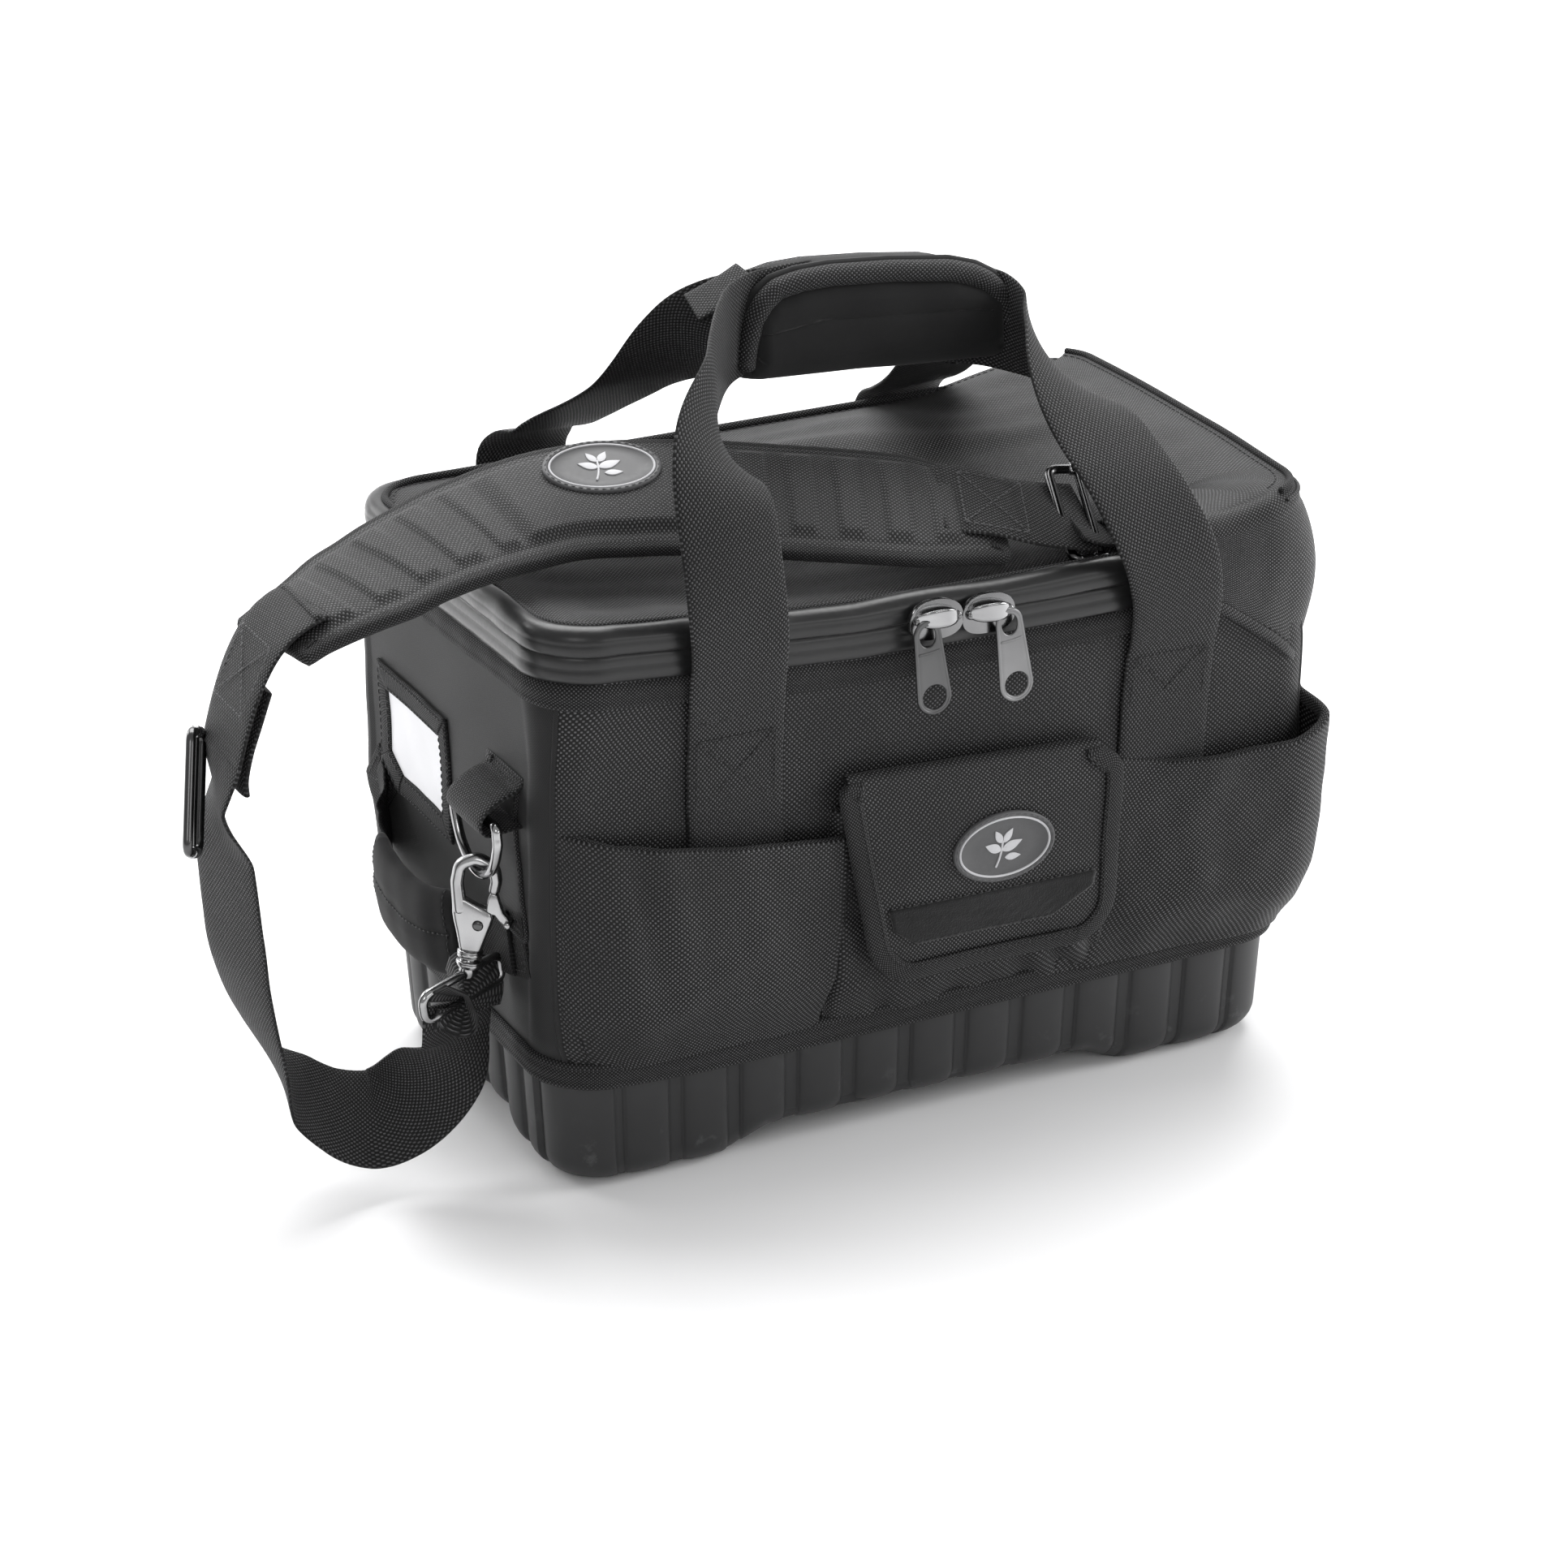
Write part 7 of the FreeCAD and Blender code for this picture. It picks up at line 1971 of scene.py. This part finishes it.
botm = PC[:, None] + Wp[:, None] * (hw[:, None] * sv[None] * 0.985)[..., None] - Np_[:, None] * (2.6 + 1.6 * (1 - sv[None] ** 2) + 0 * H_)[..., None]
uvt = np.stack([np.broadcast_to(s_mm[:, None], H_.shape), hw[:, None] * sv[None]], 2)
Lq = np.concatenate([top_, botm[:, ::-1]], 1)
UVq = np.concatenate([uvt, uvt[:, ::-1], uvt[:, :1]], 1)
pad = loft("shoulder_pad_body", Lq, MT["padcloth"], None, UV=UVq)
pads_ = [pad]
E_ = np.vstack([top_[:, 0], top_[-1, 1:-1], top_[::-1, -1], top_[0, 1:-1][::-1]])
Bo = np.vstack([botm[:, 0], botm[-1, 1:-1], botm[::-1, -1], botm[0, 1:-1][::-1]])
mid_ = (E_ + Bo) / 2
mid_ = resample(np.vstack([mid_, mid_[:1]]), 420)[:-1]
idx = np.array([int(np.argmin(((PC - m) ** 2).sum(1))) for m in mid_])
Nb = Np_[idx]
Tb = tangents(mid_, True)
Db = unit(np.cross(Nb, Tb))
Db *= np.sign(np.sum(Db * (PC[idx] - mid_), 1) + 1e-9)[:, None]
bind = edge_binding("pb", mid_ + Nb * 1.6 - Db * 0.3, Db, Nb, 4.6, 8.5, 8.0, 0.9, MT["tape"], None, closed=True, stitch=False)
pads_.append(bind)
st_ = mid_ + Nb * 2.9 + Db * 6.3
stitches(("thread_lid", "lid"), st_, Nb, pitch=3.8, length=2.6, r=0.3)
ob = join("shoulder_pad", pads_, "lid")
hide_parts("shoulder_pad")

# badge on the pad
ib = int(np.argmin(np.abs(PC[:, 0] + 133)))
bo = PC[ib] + Wp[ib] * 10.0 + Np_[ib] * (H_[ib, 38] - 1.2)
badge("pad_badge_oval", bo + Np_[ib] * 0.3, T_p[ib], Wp[ib], Np_[ib], 28.5, 18.8, "lid", "pad_badge")

# webbing tabs over the pad ends
def tab_on(path, width, name_, box=True, n0=0.15, n1=0.85):
    P_ = spline(path, 70)
    o = strap(name_, P_, (0, 1, 0.03), width, 2.3, MT["webbing"], None, nw=15)
    return o, P_


WTR = A(0.10, 0.92, 0.38)
TR = spline([(19, -76.5, 308.6), (26, -78.6, 307.9), (35, -81.6, 306.4), (45, -84.6, 303.6), (56, -87, 299.6), (68, -88.8, 296.2), (80, -90, 293.6), (92, -91, 291.6)], 70)
o1 = strap("t1", TR, WTR, 48, 2.3, MT["webbing"], None, nw=15)
dd = unit(TR[34] - TR[6])
cR = TR[24]
wtr = unit(WTR - dd * (WTR @ dd))
ntr = unit(np.cross(dd, wtr))
box_x(("threadlight_lid", "lid"), cR + ntr * 1.5, wtr, dd, ntr, 19.0, 32)
o2, TL = tab_on([(-291, -47.0, 300.2), (-299, -48.4, 297.6), (-307, -49.8, 293.4), (-314, -50.8, 287.0), (-320, -51.4, 278.6), (-325.5, -52, 268.0), (-330, -52, 256.0), (-333.4, -52, 245.0), (-336.2, -52, 235.0)], 47, "t2")
dl = unit(TL[48] - TL[22])
nl = unit(np.cross(dl, A(0, 1, 0)))
nl = nl if nl[0] < 0 else -nl
box_x(("threadlight_lid", "lid"), TL[35] + nl * 1.5, A(0, 1, 0), dl, nl, 18.5, 34)
# folded end peeking out below the left tab
o3 = strap("t3", spline([(-317, -50, 268), (-323, -50, 252), (-327.5, -50, 240), (-330.5, -50, 228), (-330.5, -50, 220)], 26), (0, 1, 0), 38, 3.6, MT["webbing"], None, nw=13)
# square folded lip at the start of each tab
o4 = tube("t4", np.array([TR[1] + wtr * y + ntr * 0.4 for y in np.linspace(-23.4, 23.4, 14)]), 1.9, MT["webbing"], None, seg=10)
o5 = tube("t5", np.array([TL[1] + A(0, y, 0.5) for y in np.linspace(-23, 23, 14)]), 1.9, MT["webbing"], None, seg=10)
ob = join("pad_end_tabs", [o1, o2, o3, o4, o5], "lid")
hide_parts("pad_tabs")

# run of webbing from the right slide away under the carry strap
tp = spline([(82, -90.2, 292.6), (92, -91, 288.6), (104, -92, 287.4), (118, -92, 287.2), (132, -91, 287.4), (144, -89, 288.2), (152, -86, 288.8)], 70)
o = strap("tail_webbing", tp, (0.06, 0.96, 0.16), 46, 2.3, MT["webbing"], "lid", nw=15)
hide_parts("strap_tail_right")
"""loops through the right slide"""
def slide(name, c, u_, w_, half_w, half_u, body, rep, frame_mat, lug=1):
    c, u_, w_ = A(*c), unit(u_), unit(w_)
    w_ = unit(w_ - u_ * (w_ @ u_))
    n_ = unit(np.cross(u_, w_))
    pts_ = [(-half_u, 0), (-half_u, -half_w), (half_u, -half_w), (half_u, half_w), (-half_u, half_w), (-half_u, 0)]
    C3 = rounded([tuple(c + u_ * a_ + w_ * b_) for a_, b_ in pts_], 4.5, False, 0.9)
    C3 = resample(np.vstack([C3, C3[:1]]), 150)[:-1]
    parts = [tube("sf", C3, 2.35, frame_mat, None, closed=True, seg=14, up=tuple(n_))]
    cb = np.stack([c + w_ * b_ + n_ * 0.6 for b_ in np.linspace(-half_w, half_w, 24)])
    parts.append(tube("sb", cb, 2.0, frame_mat, None, seg=12))
    for sgn in (-1, 1):
        k_ = c + w_ * sgn * half_w
        m_ = np.stack([k_ - u_ * 3.0, k_ + u_ * 3.0])
        parts.append(tube("sk", resample(m_, 8), 3.1, MT["bright"], None, seg=14))
        mm = np.stack([k_ - u_ * (half_u - 4), k_ + u_ * (half_u - 4)])
        if sgn * lug < 0:
            parts.append(tube("sl", resample(mm, 24), 2.45, MT["bright"], None, seg=14))
    ob_ = join(name, parts, body)
    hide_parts(rep)


slide("slide_wire_right", (93.5, -91, 293.2), (0.97, -0.20, -0.06), (0.34, 0.78, 0.50), 28.0, 14.5, "adjuster_right", "slide_right", MT["darkwire"], lug=1)
slide("slide_wire_left", (-348.5, -48.0, 218), (-0.46, -0.79, 0.40), (0.22, 0.36, 0.907), 27.5, 12.5, "adjuster_left", "slide_left", MT["darkwire"], lug=1)

# free hanging loop down to the snap hook bar
b0 = bar((-5.1, 0, -14))
bw = BM @ A(1, 0, 0)
dp = [(-335.6, -52, 237), (-337.8, -51.6, 226), (-338.8, -51, 212), (-338.2, -50.5, 198), (-336.6, -50, 173), (-335.2, -49, 150), (-332.6, -48, 122), (-325.5, -47.4, 92), (-313.0, -48, 63), (-294, -50, 43), (-275.5, -52.5, 34.5), (-262.0, -56, 37.5), (-250.5, -59.5, 46.5), (-241.0, -63, 59), (-234.4, -66.6, 74.5), tuple(b0 + A(-3.6, 0.4, -5.6)), tuple(b0 + A(-3.0, 0.2, 0.4))]
DP = spline(dp, 260)
dd_ = np.r_[0, np.cumsum(np.linalg.norm(np.diff(DP, axis=0), axis=1))]
fd = dd_ / dd_[-1]
Wd = np.zeros((260, 3))
w_a, w_b = A(0, 1, 0), unit(A(bw[0], bw[1], bw[2]))
if w_b @ w_a < 0:
    w_b = -w_b
wl = A(0.55, 1, 0)
keys_ = [(0.0, A(0.0, 1.0, 0.0)), (0.07, A(0.25, 0.80, 0.50)), (0.16, A(-0.25, 0.96, 0.10)), (0.32, A(-0.28, 0.95, 0.12)), (0.48, A(-0.20, 0.86, 0.42)), (0.60, A(-0.10, 0.68, 0.72)),
         (0.70, A(-0.25, 0.60, 0.72)), (0.79, A(-0.50, 0.54, 0.64)), (0.87, A(-0.78, 0.18, 0.36)), (0.925, -w_b), (1.0, -w_b)]
kf_ = np.array([k for k, _ in keys_])
kv_ = np.array([v for _, v in keys_])
for i, f in enumerate(fd):
    Wd[i] = unit(A(*[np.interp(f, kf_, kv_[:, c]) for c in range(3)]))
for _ in range(6):
    Wd[1:-1] = unit(Wd[:-2] + Wd[1:-1] * 2 + Wd[2:])
wdd = 47 - 5.0 * smooth(fd, 0.88, 0.96)
cu_ = 0.004 * bump(fd, 0.5, 0.3)
o = strap("drop_loop_webbing", DP, Wd, wdd, 2.3, MT["webbing"], None, curl=cu_, nw=17)
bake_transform(o)
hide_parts("drop_webbing")
# second layer folded back over the bar
nb_ = unit(np.cross(unit(DP[-12] - DP[-30]), w_b))
for sgn in (1,):
    fb_ = spline([tuple(b0 + A(-3.0, 0.2, 0.4)), tuple(b0 + A(-1.6, 0, 3.2)), tuple(b0 + A(1.8, 0, 2.6)), tuple(b0 + A(3.0, 0.4, -1.0)), tuple(b0 + A(1.8, 0.6, -6.0)), tuple(b0 + A(1.8, 0.8, -9.0))], 40)
    o = strap("bar_fold_webbing", fb_, w_b, 41, 2.3, MT["webbing"], "bag_body", nw=13)

# =====================================================================================
# threads, camera, floor and light
# =====================================================================================
flush_stitches(lambda n: MT["threadlight"] if "light" in n else MT["thread"])

cam_d = bpy.data.cameras.new("camera")
cam_d.lens = 101.0
cam_d.sensor_width = 36.0
cam = bpy.data.objects.new("camera", cam_d)
bpy.context.scene.collection.objects.link(cam)
az, el, ro = (math.radians(v) for v in (-25.92, 23.38, -0.49))
back = A(math.sin(az) * math.cos(el), -math.cos(az) * math.cos(el), math.sin(el))
right = A(math.cos(az), math.sin(az), 0)
up = np.cross(back, right)
r1 = right * math.cos(ro) + up * math.sin(ro)
u1 = -right * math.sin(ro) + up * math.cos(ro)
M4 = Matrix.Identity(4)
for i in range(3):
    M4[i][0], M4[i][1], M4[i][2] = r1[i], u1[i], back[i]
loc = -(r1 * 24.91 + u1 * -123.59 + back * -2271.5) * 0.001
for i in range(3):
    M4[i][3] = loc[i]
cam.matrix_world = M4
cam_d.clip_end = 50.0
bpy.context.scene.camera = cam

me = bpy.data.meshes.new("floor")
n = 24
vs = [(-4.5, -3.5, -0.0006), (4.5, -3.5, -0.0006)]
fs = []
prof = [(1.6, -0.0006)] + [(1.6 + 1.2 * math.sin(t), -0.0006 + 1.2 * (1 - math.cos(t))) for t in np.linspace(0, pi / 2, n)[1:]] + [(2.8, 5.0)]
for yv, zv in prof:
    vs += [(-4.5, yv, zv), (4.5, yv, zv)]
for i in range(len(vs) // 2 - 1):
    fs.append((2 * i, 2 * i + 1, 2 * i + 3, 2 * i + 2))
me.from_pydata(vs, [], fs)
for p in me.polygons:
    p.use_smooth = True
floor = bpy.data.objects.new("floor", me)
bpy.context.scene.collection.objects.link(floor)
FM = Mat("studio_floor")
FM.set("Base Color", (0.93, 0.93, 0.935, 1.0))
FM.set("Roughness", 0.6)
me.materials.append(FM.m)


def area(name, loc, target, size, power, col=(1, 1, 1)):
    d = bpy.data.lights.new(name, "AREA")
    d.shape = "RECTANGLE"
    d.size, d.size_y = size
    d.energy = power
    d.color = col
    o = bpy.data.objects.new(name, d)
    bpy.context.scene.collection.objects.link(o)
    o.location = loc
    o.rotation_mode = "QUATERNION"
    o.rotation_quaternion = (Vector(target) - Vector(loc)).to_track_quat("-Z", "Y")
    return o


area("key_top", (0.4, 1.0, 2.3), (0, 0, 0.1), (2.6, 2.0), 96)
area("fill_front", (-1.9, -2.6, 1.9), (0, 0, 0.15), (1.3, 1.0), 13)
area("side_right", (2.5, -0.9, 1.2), (0.1, 0, 0.2), (1.1, 1.5), 46)
area("front_low", (1.2, -3.0, 1.0), (0, 0, 0.15), (1.8, 0.8), 10)
area("rim_back", (-1.6, 2.6, 1.6), (0, 0, 0.25), (1.6, 1.0), 40)
world = bpy.data.worlds.new("studio")
bpy.context.scene.world = world
world.use_nodes = True
wt = world.node_tree
bg = wt.nodes["Background"]
bg.inputs[0].default_value = (1.0, 1.0, 1.0, 1.0)
lp_ = wt.nodes.new("ShaderNodeLightPath")
mr_ = wt.nodes.new("ShaderNodeMapRange")
wt.links.new(lp_.outputs["Is Camera Ray"], mr_.inputs[0])
mr_.inputs[3].default_value = 0.48
mr_.inputs[4].default_value = 1.0
wt.links.new(mr_.outputs[0], bg.inputs[1])
vs_ = bpy.context.scene.view_settings
vs_.view_transform = "Standard"
vs_.look = "None"
vs_.exposure = 0.0
vs_.gamma = 1.0
